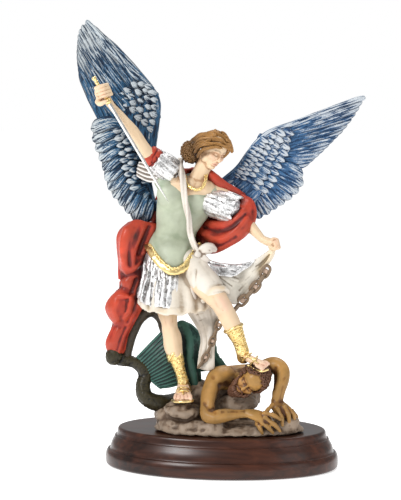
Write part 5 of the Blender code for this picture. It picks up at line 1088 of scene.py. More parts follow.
band_form = Shells()
band = [(-26.5, 2, 175.5, 1.9), (-26.5, -8, 172, 2), (-25.5, -14, 166, 2), (-24.5, -17, 158.5, 1.9),
    (-23, -18.5, 149, 1.9), (-21.5, -17, 140, 1.8), (-20.5, -15.5, 131, 1.8), (-18, -16, 123.5, 1.9),
    (-15, -15, 117.5, 2.2)]
band_form.tube(band, 24, 150, ribs=3, rib=0.26, twist=0.11)
band_form.tube([(-15.5, -15, 116, 2.1), (-12.5, -16.5, 119, 3.1), (-9.5, -16.5, 120, 3.7),
    (-6.5, -15, 120, 3.3), (-4.5, -13, 119, 2.1)], 28, 60, face=(0.2, -1, 0.1), flat=0.5, ribs=5, rib=0.10,
    twist=0.03)
band_form.tube([(-14.5, -16, 115, 2.2), (-12, -17, 113.5, 2.8), (-9.5, -17, 111.5, 2.7),
    (-7.5, -16, 111, 1.7)], 24, 40, face=(0.2, -1, 0.1), flat=0.5, ribs=5, rib=0.10, twist=0.03)
band_form.tube([(-16, -14, 115, 2.3), (-17, -15.5, 110.5, 2.4), (-18, -17.5, 105, 2.6),
    (-18.5, -19.5, 98.5, 2.6), (-18, -20.5, 93, 2.2), (-17, -20.5, 88.5, 1.4)], 20, 70, face=(0.3, -1, 0),
    flat=0.55, ribs=3, rib=0.14, twist=0.05)
band_form.ball((-15.5, -17, 116), (2.4, 1.9, 2.4), steps=12)
baldric = Casting(band_form, 0.5, 1)
baldric.stroke(-0.55, 0.5, [(-14, -21, 118.5), (-11, -21, 119.5), (-7.5, -18, 119)],
    [(-14.5, -20, 113.5), (-12, -21, 113), (-9.5, -20, 112.5)], [(-17, -19, 113), (-18.5, -23, 105.5),
    (-18.5, -25, 97)], [(-13.5, -20, 121.5), (-12, -21, 119), (-12, -20, 117)])
offwhite = painted("off-white cloth", (0.60, 0.54, 0.47), (0.16, 0.10, 0.06), (0.80, 0.75, 0.69), 0.95, 0.4,
    0.25, 0.8, 0.1, 0.15)
baldric.place("baldric_and_bow", offwhite, contrast=1.0)

# ---- Silvered sleeves ----
# Short sleeves of overlapping leather strips on both shoulders, laid with silver leaf that is rubbed and
# scratched dark in the grooves, streaked with painted reflections and darkened by painted shade where
# enclosed;
# a loose cream sleeve hangs under the raised arm.

silver, tree, shader = finish("rubbed silver leaf", 0.34, 0.8)
relief = node_of(tree, "ShaderNodeAttribute", attribute_name="relief").outputs["Fac"]
enclosed_shade = node_of(tree, "ShaderNodeAttribute", attribute_name="enclosed_shade").outputs["Fac"]
spot = node_of(tree, "ShaderNodeTexCoord").outputs["Object"]
crackle_and_reflections = node_of(tree, "ShaderNodeTexNoise", {"Vector": spot, "Scale": 620.0, "Detail": 5.0,
    "Distortion": 2.2}).outputs["Fac"]
leaf = node_of(tree, "ShaderNodeTexVoronoi", {"Vector": spot, "Scale": 520.0}, feature="F1").outputs["Color"]
leaf_tone = node_of(tree, "ShaderNodeSeparateColor", {"Color": leaf}).outputs["Red"]
maths, _ = sums_of(tree)
# The leaf's tone: lighter where it stands proud, streaked by noise that is partly its crackle and partly
# painted reflections, and darker as painted shade where the casting is enclosed.
tone = maths("ADD", maths("MULTIPLY", relief, 0.34), maths("MULTIPLY", crackle_and_reflections, 0.75))
tone = maths("ADD", tone, maths("MULTIPLY", leaf_tone, 0.22))
tone = maths("SUBTRACT", tone, maths("MULTIPLY", enclosed_shade, 0.12))
tree.links.new(ramp_of(tree, tone, (0.34, (0.060, 0.050, 0.044)), (0.82, (0.86, 0.86, 0.86)),
    (0.50, (0.22, 0.21, 0.208)), (0.62, (0.50, 0.50, 0.50))), shader.inputs["Base Color"])
rough = node_of(tree, "ShaderNodeMapRange", {"Value": crackle_and_reflections, "To Min": 0.2, "To Max": 0.55})
tree.links.new(rough.outputs["Result"], shader.inputs["Roughness"])
bump = node_of(tree, "ShaderNodeBump", {"Height": crackle_and_reflections, "Strength": 0.5, "Distance": 0.0006})
tree.links.new(bump.outputs["Normal"], shader.inputs["Normal"])


def strips_around(clay, start, end, start_radius, end_radius, count, width, seed=1):
    """Strips of a sleeve, set round an arm from start to end, each a little out of line."""
    start, end = np.array(start, float), np.array(end, float)
    along = unit(end - start)
    side = unit(np.cross(along, (0, 0.3, 1)))
    other = np.cross(along, side)
    shake = random.Random(seed)
    for strip in range(count):
        angle = 2 * math.pi * (strip + 0.3 * shake.random()) / count
        outward = side * math.cos(angle) + other * math.sin(angle)
        low, high = start + outward * start_radius, end + outward * end_radius + along * 1.4 * shake.random()
        middle = (low + high) / 2 + outward * (0.4 + 0.6 * shake.random())
        clay.tube([(*low, width / 2), (*middle, width / 2), (*high, width / 2 * 1.12),
            (*(high + along * 0.8 + outward * 0.3), width / 2.6)], 14, 22, face=outward, flat=0.5)


sleeve_form = Shells()
sleeve_form.tube([(-32, -5, 168.5, 6.8), (-41, -7, 175.5, 5.5)], 24, 12)
strips_around(sleeve_form, (-32, -5, 168.5), (-41, -7, 175.5), 7.5, 6.5, 13, 3.6, 3)
sleeve_form.tube([(-9, -5, 150, 7.1), (-1, -7, 148, 7.8), (6, -8.5, 145.5, 7.1)], 24, 16)
strips_around(sleeve_form, (-9, -5, 150), (-0.5, -7, 147), 7.6, 8.6, 15, 3.8, 5)
strips_around(sleeve_form, (-3.5, -6, 148.5), (7.5, -9, 144.5), 8.2, 9.0, 17, 3.4, 6)
sleeves = Casting(sleeve_form, 0.6, 1)
shake = random.Random(15)
# Scratches and ridges of the foil
for scratch in range(46):
    centre, span = ((-36.5, -12, 172), 7.5) if scratch % 2 else ((0, -15, 148.5), 9.0)
    spot = np.array(centre) + (span * (shake.random() - 0.5) * 1.6, -1 - 3 * shake.random(),
        span * (shake.random() - 0.5) * 1.8)
    way = np.array((1.2 * (shake.random() - 0.5), 0, 1.2 * (shake.random() - 0.5))) + ((-0.8, 0, 0.7)
        if scratch % 2 else (0.9, 0, -0.35))
    sleeves.stroke(-0.28 if scratch % 3 else 0.26, 0.4, [spot - way * 1.6, spot, spot + way * 1.8])
sleeves.place("silvered_sleeves", silver, contrast=0.6)

loose_form = Shells()
loose_form.cloth([[(-41.5, -9, 173), (-47.5, -6, 174.5), (-53, -2, 175)], [(-41, -8, 168), (-48.5, -5, 169),
    (-54.5, -1, 170)], [(-40.5, -7, 162), (-47, -4, 162), (-55, -1, 165)]], 3.0, 30, 40, lambda u,
    v: 0.9 * np.sin(9 * math.pi * v + 1.2 * u))
loose = Casting(loose_form, 0.5, 1)
for fold in range(5):
    at = fold / 4
    loose.stroke(-0.45, 0.5, [np.array((-41.5, -14, 173)) * (1 - at) + np.array((-41, -12, 163)) * at,
        np.array((-53.5, -6, 175)) * (1 - at) + np.array((-54, -5, 165)) * at])
loose_paint = painted("cream lining", (0.60, 0.545, 0.49), (0.10, 0.07, 0.05), (0.84, 0.82, 0.80), 0.95, 0.7,
    0.3, 1.2, 0.2, 0.15)
loose.place("loose_sleeve", loose_paint, contrast=1.0)

# ---- Skirts ----
# A pleated outer skirt laid with silver leaf over a longer cream underskirt; on the left the cream cloth
# covers the raised thigh and is drawn out to the fist as a sail, and a long end hangs between the legs.

SKIRT = [(-32, -1, 116, 16.6), (-31.5, -3, 109.5, 18.8), (-30, -6, 101.5, 20.8), (-29.5, -8, 93, 22.7),
    (-29.5, -9, 86, 24.6), (-29.5, -10, 81, 25)]


def skirt_rings(line, count, sides, stretch, pleats, seed):
    """Rings of a pleated skirt: pleats deepen toward the hem, each of its own width and lean."""
    shake = random.Random(seed)
    shift = [(shake.random() * 6.28, shake.random()) for _ in range(4)]
    rings, angles = [], np.arange(sides) * 2 * math.pi / sides
    for step, (x, y, z, radius) in enumerate(through(line, count)):
        flare = step / (count - 1)
        lean = angles + 0.10 * np.sin(3 * angles + shift[0][0]) + 0.16 * flare * np.sin(2 * angles
            + shift[1][0])
        wave = np.cos(pleats * lean + shift[2][0]) + 0.45 * np.cos(0.55 * pleats * lean + 2.2 * flare
            + shift[3][0])
        front = np.clip(-np.sin(angles), 0, 1)
        drop = flare**3 * (2.5 * (1 - 2 * front) + 0.7 * wave)
        swell = stretch + 0.032 * flare**0.7 * wave
        rings.append(np.stack([x + radius * swell * np.cos(angles), y + 0.66 * radius * swell
            * np.sin(angles), z + drop], axis=1))
    hem = rings[-1]
    middle = hem.mean(axis=0)
    rings.append(middle + (hem - middle) * 0.93 + (0, 0, 0.3))
    rings.append(middle + (hem - middle) * 0.86 + (0, 0, 2.5))
    rings.append(middle + (hem - middle) * 0.6 + (0, 0, 9))
    return rings


under_form = Shells()
under_form.rings(skirt_rings(SKIRT[:-1] + [(-29.5, -10, 80, 25.6)], 46, 300, 0.955, 13, 3))
under_form.tube([(-20.5, -8, 110, 9.7), (-16, -13, 105.5, 9.9), (-12, -19, 100.5, 9.5),
    (-7.5, -26, 96.5, 8.3), (-5, -30, 93.5, 7.4)], 36, 50)
under_form.tube([(-11.5, -24, 87.5, 2.2), (-10, -30, 91, 2), (-7.5, -35, 95, 1.9), (-3, -36.5, 97, 1.8),
    (1.5, -33, 96.5, 1.8), (4, -27, 93, 1.7)], 16, 50)
underskirt = Casting(under_form, 0.8, 1)
underskirt.stroke(-0.5, 1.1, [(-16.5, -26, 107.5), (-17, -27, 98.5), (-15.5, -26, 89)],
    [(-14, -22, 112), (-9.5, -29, 106.5), (-5, -35, 101.5)], [(-18, -24, 91.5), (-12, -27, 88.5),
    (-10, -24, 85)])
underskirt.stroke(0.5, 1.0, [(-18, -26, 106), (-19, -27, 97), (-18.5, -26, 88)], [(-23, -27, 88),
    (-16.5, -25, 85), (-10, -22, 84.5)])
underskirt.stroke(-0.35, 0.8, [(-10, -24, 109.5), (-4, -33, 103), (-1.5, -36, 98.5)],
    [(-46, -20, 84.5), (-36, -26, 82.5), (-24.5, -27, 83)])
# The lighter cream on the front of the raised thigh is a painted highlight.
tinted(underskirt, (0.64, 0.58, 0.49), ((0.60, 0.38, 0.13), [(-11, -30, 88.5), (-8.5, -37, 94.5),
    (-4, -40, 98), (1, -37, 97)], 1.5, 0.85), ((0.66, 0.52, 0.34), [(-46.5, -18, 81), (-32, -28, 80),
    (-19, -27, 79.5), (-7.5, -20, 81)], 2.4, 0.6), ((0.80, 0.75, 0.70), [(-14, -29, 101), (-11.5, -32, 95)],
    4.5, 0.5))
cream = painted("cream cloth", (0.64, 0.58, 0.49), (0.20, 0.125, 0.06), (0.80, 0.75, 0.67), 0.8, 0.35, 0.2,
    0.8, 0.08, 0.15, "paint")
underskirt.place("underskirt", cream, contrast=1.1)

silver_form = Shells()
outer_line = [(-32, -1, 116, 16.9), (-31.5, -3, 109.5, 19.5), (-30, -6, 101.5, 21.4), (-30, -8, 93, 23.1),
    (-30, -9, 88, 24.3), (-30, -9.5, 84, 24.5)]
rings = np.array(skirt_rings(outer_line, 60, 420, 0.995, 17, 8))
# On the left front the silver stops where the cream cloth of the thigh begins
angles = np.arange(420) * 2 * math.pi / 420
open_front = np.exp(-(((angles - math.radians(308)) / 0.62) ** 4))
core = rings.mean(axis=1, keepdims=True)
rings = core + (rings - core) * (1 - 0.20 * open_front)[None, :, None]
silver_form.rings(rings)
silver_skirt = Casting(silver_form, 0.7, 1)
shake = random.Random(28)
# Creases of the foil, along the pleats and a little across them
for fold in range(74):
    angle = math.radians(182 + 112 * shake.random())
    begin = 0.12 + 0.5 * shake.random()
    end = min(1.0, begin + 0.22 + 0.35 * shake.random())
    bias = 0.16 * (shake.random() - 0.5)
    line = []
    for share in np.linspace(begin, end, 4):
        x, y, z, radius = through(outer_line, 40)[int(share * 39)]
        turn = angle + bias * (share - begin) * 4
        line.append((x + radius * math.cos(turn), y + 0.66 * radius * math.sin(turn), z))
    silver_skirt.stroke(-0.5 if fold % 2 else 0.45, 0.42 + 0.25 * shake.random(), line)
silver_skirt.place("silvered_skirt", silver, contrast=0.6)

sail_form = Shells()
sail_form.cloth([[(-14, -14, 113), (-5, -15, 111), (4, -15, 109.5), (12, -15.5, 110), (19.5, -16, 112),
    (26.5, -18, 116.5), (31.5, -18, 120)], [(-11.5, -19, 107.5), (-3, -19, 105.5), (5.5, -17, 104),
    (13, -16, 105.5), (20, -16, 108.5), (27, -18, 114), (32.5, -18, 119)], [(-9, -23, 101.5), (-1, -20, 98.5),
    (6.5, -18, 97), (13.5, -16, 99), (21, -16, 104), (27, -18, 111), (32.5, -18, 118)],
    [(-5.5, -26, 95.5), (1.5, -21, 92.5), (8.5, -18, 90.5), (15, -16, 93.5), (21, -16, 100), (27.5, -17, 108),
    (33, -18, 117.5)], [(-2.5, -25, 89.5), (3.5, -21, 86), (9, -18, 84), (15, -16, 89), (21, -16, 96),
    (27.5, -17, 106), (33, -18, 116.5)]], 2.4, 60, 110, lambda u, v: 0.55 * np.sin(5 * math.pi * u + 1.5 * v)
    * (0.3 + 0.7 * np.sin(math.pi * v)))
sail_form.tube([(33, -19, 121.5, 1.9), (31.5, -18.5, 116.5, 2.3), (29, -18, 112, 2.2), (26, -17, 107.5, 1.7)],
    18, 30, ribs=4, rib=0.14, twist=0.02)
sail = Casting(sail_form, 0.6, 1)
hip = np.array((-15.5, -18, 114))
# Folds drawn from the hip, then folds drawn from the fist
for far, deep in (((2.5, -18, 109), -0.55), ((9, -18, 105), -0.6), ((10.5, -18, 100.5), -0.6),
        ((6.5, -20, 96), -0.5), ((16, -17, 109.5), -0.4), ((1.5, -24, 94), -0.45)):
    far = np.array(far) + (0, -1, 0)
    sail.stroke(deep, 0.55, [hip * 0.75 + far * 0.25 + (0, -1, 0), hip * 0.4 + far * 0.6 + (0, 0, -0.6), far])
    sail.stroke(-deep * 0.9, 0.55, [hip * 0.72 + far * 0.28 + (0, -1, -1.3), hip * 0.4 + far * 0.6
        + (0, 0, -1.9), far + (0, 0, -1.4)])
fist = np.array((32, -19, 118))
for far in ((19.5, -18, 105), (15.5, -18, 99.5), (11.5, -18, 93), (22, -17, 108.5), (10.5, -19, 88)):
    sail.stroke(-0.45, 0.6, [fist * 0.85 + np.array(far) * 0.15 + (0, -1, 0), fist * 0.45 + np.array(far)
        * 0.55 + (0, -1, -0.8), np.array(far) + (0, -1, 0)])
sail.stroke(0.4, 0.7, [(1.5, -24, 87), (9, -20, 85), (15, -18, 90), (21, -18, 97), (27, -19, 106.5)])
tinted(sail, (0.66, 0.62, 0.54), ((0.62, 0.43, 0.17), [(33, -20, 119.5), (29.5, -20, 113), (26, -18, 106)],
    3.2, 0.8), ((0.60, 0.45, 0.24), [(27, -18, 105.5), (19.5, -17, 94.5), (13.5, -17, 87)], 2.0, 0.5),
    ((0.55, 0.52, 0.44), [(14.5, -17, 94.5), (6.5, -20, 88.5)], 5.0, 0.4))
sail_paint = painted("sail of cream cloth", (0.62, 0.58, 0.50), (0.14, 0.10, 0.06), (0.80, 0.76, 0.69), 0.85,
    0.4, 0.3, 0.8, 0.1, 0.15, "paint")
sail.place("drawn_out_cloth", sail_paint, contrast=1.2)

band_form = Shells()
band_form.cloth([[(-13.5, -16, 113), (-5, -17, 111.5), (4, -17, 110), (13, -17.5, 110.5), (22, -18, 113.5)],
    [(-11.5, -19, 110.5), (-3.5, -19.5, 109), (5.5, -19, 108), (13.5, -18, 109), (21.5, -18, 112)],
    [(-9.5, -22, 108), (-2.5, -21, 106), (6, -19.5, 105), (13, -18.5, 106.5), (19.5, -18, 110)],
    [(-7.5, -25, 104.5), (-1, -22.5, 103), (6, -20.5, 102), (10.5, -19, 103.5), (15.5, -18, 107.5)]], 1.2, 34,
    60, lambda u, v: 0.3 * np.sin(7 * math.pi * u + 2.0 * v))
silver_band = Casting(band_form, 0.5, 1)
for far, deep in (((2.5, -18, 109), -0.5), ((9, -18, 105.5), -0.5), ((10.5, -18, 101.5), -0.5),
        ((6, -20, 98.5), -0.45), ((15.5, -18, 110), -0.4)):
    far = np.array(far) + (0, -1, 0)
    silver_band.stroke(deep, 0.42, [hip * 0.75 + far * 0.25 + (0, -1, 0), hip * 0.4 + far * 0.6
        + (0, 0, -0.6), far])
    silver_band.stroke(-deep, 0.45, [hip * 0.72 + far * 0.28 + (0, -1, -1.2), hip * 0.4 + far * 0.6
        + (0, 0, -1.8), far + (0, 0, -1.3)])
silver_band.place("silvered_edge", silver, contrast=0.7)

hang_form = Shells()
hang_form.cloth([[(-23, -2, 78.5), (-18, -3, 70), (-13, -5, 60), (-14.5, -6, 50), (-15.5, -7, 40.5)],
    [(-16.5, -7, 79), (-12.5, -7, 70), (-10, -8, 59), (-11.5, -9, 50), (-12, -9, 39.5)],
    [(-9, -8, 81.5), (-7.5, -9, 70.5), (-7, -10, 60), (-8, -11, 50.5), (-9, -10, 39)],
    [(-1, -8, 82.5), (-1.5, -8, 71.5), (-3.5, -9, 60.5), (-4.5, -10, 51), (-5, -9, 40)]], 2.8, 50, 80,
    lambda u, v: 0.8 * np.sin(4.5 * math.pi * u + 1.2 * v) * (0.35 + 0.65 * v))
hanging = Casting(hang_form, 0.65, 1)
hanging.stroke(-0.5, 0.7, [(-16.5, -10, 77.5), (-12, -11, 68.5), (-10, -12, 58.5), (-11, -12, 48)],
    [(-7.5, -12, 79.5), (-5.5, -12, 69), (-6, -13, 58.5), (-7, -13, 48)])
hanging.stroke(0.45, 0.8, [(-19, -8, 77.5), (-14.5, -9, 68.5), (-12, -10, 58), (-13, -10, 46)],
    [(-11.5, -12, 79.5), (-8.5, -13, 69), (-8, -13, 58.5), (-9.5, -13, 46.5)])
hanging.stroke(-0.3, 0.5, [(-16.5, -9, 75.5), (-10, -12, 77.5), (-3.5, -12, 78.5)],
    [(-14.5, -9, 71.5), (-9, -12, 74), (-3, -12, 75.5)])
# Painted shadow where the cloth comes out from under the skirt, and a darker tone at its foot.
tinted(hanging, (0.585, 0.525, 0.45), ((0.50, 0.40, 0.28), [(-23, -4, 79), (-16.5, -10, 78.5),
    (-7.5, -12, 80), (-1, -11, 82.5)], 3.4, 0.7), ((0.42, 0.34, 0.22), [(-14, -9, 42), (-6, -11, 41)], 4.0,
    0.5))
hanging_paint = painted("hanging cloth", (0.585, 0.525, 0.45), (0.14, 0.10, 0.055), (0.78, 0.74, 0.68), 0.85,
    0.5, 0.35, 0.8, 0.12, 0.1, "paint")
hanging.place("hanging_cloth", hanging_paint, contrast=1.2)

# ---- Cape ----
# Heavy cape fastened on the shoulders: it billows behind the right side, is gathered, spreads again and runs
# down to the tail's end, and swings forward under the left arm as a deep pouch. Red paint dry-brushed
# orange-red and washed dark wine, with painted highlights on its billows and painted shade in its folds.

cape_form = Shells()
# The roll over the shoulders and the fall down the back
cape_form.tube([(-16.5, 6, 167.5, 3.3), (-12, 0, 169, 2.6), (-8.5, -4, 167.5, 3), (-4.5, -5, 164, 3.5),
    (1.5, -4, 159, 3.5), (8, -1, 155.5, 3), (13.5, 2, 152, 2.6)], 20, 60)
cape_form.cloth([[(-36, 8, 166), (-26, 11, 169.5), (-14, 10, 169), (-1.5, 7, 162)],
    [(-41.5, 9, 152), (-28.5, 14, 152), (-15.5, 14, 151.5), (-2.5, 8, 146.5)], [(-48, 7, 136),
    (-36.5, 15, 135), (-20.5, 15, 134.5), (-7.5, 8, 131)], [(-56, 5, 121), (-43.5, 15, 118), (-28.5, 16, 117),
    (-12, 8, 118)], [(-61, 4, 104.5), (-51, 12, 101), (-39, 15, 98.5), (-23, 12, 97.5)]], 3.4, 60, 70,
    lambda u, v: 1.2 * np.sin(9 * math.pi * (u + 0.15 * v)) + 0.4 * np.sin(17 * math.pi * u + 2))
# The long fall at the side, down to the tail, with the rolls that gather it
cape_form.cloth([[(-59, 5, 134), (-54.5, -1, 136), (-48, 0, 135.5), (-40, 7, 133)],
    [(-66.5, 4, 127), (-60.5, -6, 129), (-51.5, -3, 128), (-42, 7, 128)], [(-67, 3, 118.5), (-61.5, -7, 119),
    (-54.5, -3, 118), (-47.5, 5, 117)], [(-66, 2, 110), (-61.5, -6, 110.5), (-56, -4, 110.5),
    (-50.5, 3, 110)], [(-65, 1, 105), (-60.5, -6, 105.5), (-56.5, -3, 105.5), (-53, 2, 105)],
    [(-61, 0, 100.5), (-58.5, -3, 101), (-56, -3, 101), (-53.5, 2, 100.5)], [(-64.5, 0, 96), (-60.5, -5, 96),
    (-57, -3, 95), (-54.5, 2, 94.5)], [(-63.5, 0, 91.5), (-61.5, -3, 92), (-58.5, -4, 90.5), (-54.5, 1, 89)],
    [(-71.5, 0, 85), (-66.5, -6, 87), (-59.5, -5, 85), (-52, 0, 81.5)], [(-75, 0, 79.5), (-68.5, -7, 81),
    (-60, -5, 80.5), (-52.5, 0, 78)], [(-73, 0, 74), (-68, -6, 75), (-61.5, -5, 74.5), (-55.5, 1, 73)],
    [(-68.5, 1, 68), (-66, -4, 68.5), (-63, -3, 67.5), (-59, 1, 67)], [(-71.5, 2, 62), (-69, -4, 62.5),
    (-65.5, -3, 61.5), (-62, 1, 61)], [(-74, 2, 55.5), (-71.5, -4, 55.5), (-67.5, -3, 54), (-63.5, 1, 52)],
    [(-72.5, 2, 49.5), (-70.5, -1, 49.5), (-67.5, -1, 49.5), (-65, 1, 48.5)]], 5.0, 40, 150, lambda u,
    v: 0.8 * np.sin(4 * math.pi * u + 3 * v) * np.sin(math.pi * u))
cape_form.tube([(-65.5, -2, 105.5, 1.2), (-62.5, -5, 104, 1.6), (-59.5, -6.5, 104.5, 1.7),
    (-55.5, -6, 106.5, 1.7), (-53, -4, 109.5, 1.3)], 16, 30)
cape_form.tube([(-64, -2, 95.5, 1.2), (-61.5, -5, 98, 1.4), (-59, -5.5, 99.5, 1.4), (-55.5, -4, 100.5, 1.3)],
    16, 24)
cape_form.tube([(-72, -2, 84.5, 1.3), (-68, -7, 87, 1.6), (-63.5, -8, 88, 1.6), (-59, -7, 86.5, 1.4),
    (-54.5, -4, 83.5, 1.3)], 16, 30)
# The pouch under the left arm, its rolled edge and its far side
cape_form.cloth([[(-10, 8, 139.5), (-3.5, 1, 140.5), (4, -5, 143), (10.5, -6, 148.5), (13, -2, 152)],
    [(-15.5, 7, 132), (-6, -3, 133), (4, -12, 136), (13, -13, 143), (18.5, -5, 149)],
    [(-16.5, 6, 124), (-7.5, -6, 125.5), (4, -15, 129), (15, -15, 137), (20, -7, 142)],
    [(-14, 3, 118), (-5.5, -5, 117.5), (5.5, -13, 123), (13.5, -14, 128.5), (19, -9, 133.5)]], 3.8, 60, 60,
    lambda u, v: 0.8 * np.sin(3.4 * math.pi * v + 2.2 * u))
cape_form.tube([(-12.5, 2, 117, 1.6), (-4.5, -6, 117, 1.8), (6, -13.5, 123, 1.8), (13.5, -14, 128, 1.8),
    (19, -10, 134, 1.8), (21, -7, 142, 1.9), (19, -5, 149, 1.9), (14, -2, 152, 1.7)], 20, 90)
cape_form.cloth([[(-11, 9, 139), (-1, 9, 142), (7, 7, 145.5), (14, 2, 151)], [(-14.5, 10, 129),
    (-3.5, 9, 130.5), (8, 5, 135), (19, -4, 142.5)], [(-12.5, 6, 117), (-5, 4, 118.5), (5.5, -2, 123),
    (18.5, -7, 133.5)]], 3.4, 40, 40)
cape = Casting(cape_form, 0.95, 1)
# Ridges and deep folds, first of the long fall and then of the pouch
cape.stroke(1.3, 1.6, [(-62, -5, 131.5), (-64, -7, 124.5), (-64.5, -8, 116.5), (-63, -8, 109.5)],
    [(-51, -5, 132), (-54, -6, 124.5), (-57, -7, 116), (-57.5, -6, 108)], [(-44.5, 2, 131), (-48, 0, 123.5),
    (-51, -2, 116)])
cape.stroke(-1.5, 1.2, [(-57, -4, 132.5), (-59.5, -6, 124.5), (-60, -8, 115.5), (-59.5, -7, 108)],
    [(-47, 0, 132.5), (-50.5, -3, 124), (-53.5, -5, 115)])
cape.stroke(-1.3, 1.1, [(-55.5, -5, 98), (-58, -6, 91.5), (-61, -7, 84), (-62, -7, 77.5)],
    [(-53.5, -4, 91.5), (-55, -5, 85), (-57.5, -5, 77), (-61, -5, 70.5)], [(-62.5, -4, 66.5), (-66, -5, 58.5),
    (-68, -4, 52)])
cape.stroke(1.1, 1.4, [(-68.5, -8, 84), (-70, -8, 78.5), (-67.5, -7, 72.5)], [(-59, -8, 88),
    (-59.5, -8, 81.5), (-63, -7, 73.5)], [(-68, -4, 65), (-71, -4, 57)])
cape.stroke(1.2, 1.6, [(-10, -2, 137), (-2.5, -10, 135), (6.5, -15, 137.5), (13.5, -14, 144)],
    [(-12, -3, 128), (-3, -12, 125.5), (7, -17, 130.5), (15.5, -14, 139)], [(-5.5, -2, 142), (2.5, -10, 143),
    (10.5, -11, 147.5)])
cape.stroke(-1.2, 1.2, [(-11.5, -2, 132.5), (-3, -10, 130.5), (6.5, -16, 134), (15, -13, 142)],
    [(-10, 0, 139.5), (-1.5, -7, 138.5), (6, -12, 140.5), (11.5, -13, 146)], [(-10, -4, 122),
    (-1, -12, 121.5), (9, -16, 127.5)])
cape.stroke(-0.6, 0.9, [(-14.5, -5, 168.5), (-9.5, -9, 166), (-3.5, -9, 161.5), (3, -7, 157.5)])
# Painted highlights on the billows and painted shade in the folds, at the shoulders and inside the pouch.
lit, dark = (0.48, 0.044, 0.019), (0.150, 0.009, 0.007)
tinted(cape, (0.30, 0.020, 0.012), (lit, [(-63, -6, 129.5), (-65, -8, 120.5), (-64, -8, 111.5)], 5.0, 1.0),
    (dark, [(-57.5, -4, 132), (-59.5, -7, 120.5), (-58.5, -7, 108.5)], 2.4, 0.95),
    (lit, [(-71, -6, 83.5), (-68.5, -8, 76), (-61, -8, 80)], 7.0, 0.9), (dark, [(-43.5, 3, 130),
    (-48, 0, 119.5), (-51.5, -2, 109.5)], 3.2, 0.95), (dark, [(-53, -5, 100), (-55.5, -6, 90),
    (-57.5, -6, 79.5)], 2.6, 0.8), (dark, [(-64.5, -4, 103), (-59, -7, 103), (-53.5, -5, 103)], 1.6, 0.8),
    (lit, [(-58, -5, 94.5), (-57, -6, 87.5)], 3.0, 0.7), (dark, [(-67.5, -3, 62), (-70, -3, 55.5),
    (-69.5, -2, 50)], 4.5, 0.55), (lit, [(-12, -3, 128.5), (-2.5, -12, 126.5), (8, -17, 131.5),
    (15.5, -14, 139.5)], 4.0, 0.8), (dark, [(-14, 2, 135), (-12, 0, 126), (-12.5, 0, 119)], 3.0, 0.8),
    (dark, [(-10, 2, 140.5), (-1, -4, 141.5), (8, -8, 144.5)], 3.0, 0.9), (dark, [(-10, -4, 121),
    (-1, -12, 120.5), (9, -16, 125.5)], 2.2, 0.7), (dark, [(-11.5, -2, 131.5), (-3, -10, 130),
    (6.5, -16, 133), (15, -13, 141.5)], 1.5, 0.7), (lit, [(17, -10, 147), (19.5, -11, 140.5),
    (16.5, -13, 132)], 2.4, 0.7), (dark, [(-26, 11, 169.5), (-14, 8, 169), (-11, -2, 165.5)], 3.0, 0.6))
cape_paint = painted("red cape", (0.30, 0.020, 0.012), (0.045, 0.003, 0.003), (0.62, 0.085, 0.036), 0.9, 0.42,
    0.9, 0.6, 0.1, 0.4, "paint")
cape.place("cape", cape_paint, contrast=0.75)

cuff_form = Shells()
cuff_at, along = np.array((-44.5, -6.5, 178)), unit(np.array((-48, -9, 181.5)) - np.array((-36.5, -5, 170.5)))
side = unit(np.cross(along, (0, 1, 0)))
other = np.cross(along, side)
for ring_at, wide, thick in ((-2.6, 4.9, 2.1), (0.2, 4.7, 2.5), (2.6, 4.3, 2.0)):
    ring = []
    for step in range(25):
        angle = 2 * math.pi * step / 24
        ring.append((*(cuff_at + along * (ring_at + 0.5 * math.sin(2 * angle + ring_at))
            + (side * math.cos(angle) + other * math.sin(angle)) * wide), thick + 0.35
            * math.sin(3 * angle + 2 * ring_at)))
    cuff_form.tube(ring, 16, 80)
cuff = Casting(cuff_form, 0.5, 1)
cuff.stroke(-0.5, 0.6, [(-46, -10, 183), (-44, -15, 179.5), (-45, -13, 175)], [(-43, -9, 181),
    (-41.5, -14, 177), (-42.5, -12, 173)])
# A painted highlight on the top of the cuff and painted shade under it.
tinted(cuff, (0.34, 0.020, 0.012), (lit, [(-45.5, -12, 182)], 2.5, 0.8), (dark, [(-43.5, -12, 175)], 2.5,
    0.8))
cuff.place("rolled_cuff", cape_paint, contrast=1.3)

# ---- Wings ----
# Two great wings: long flight feathers, a fan of shorter ones under them and rows of rounded coverts, each
# feather cast with its shaft and barbs, painted deep blue and dry-brushed white.


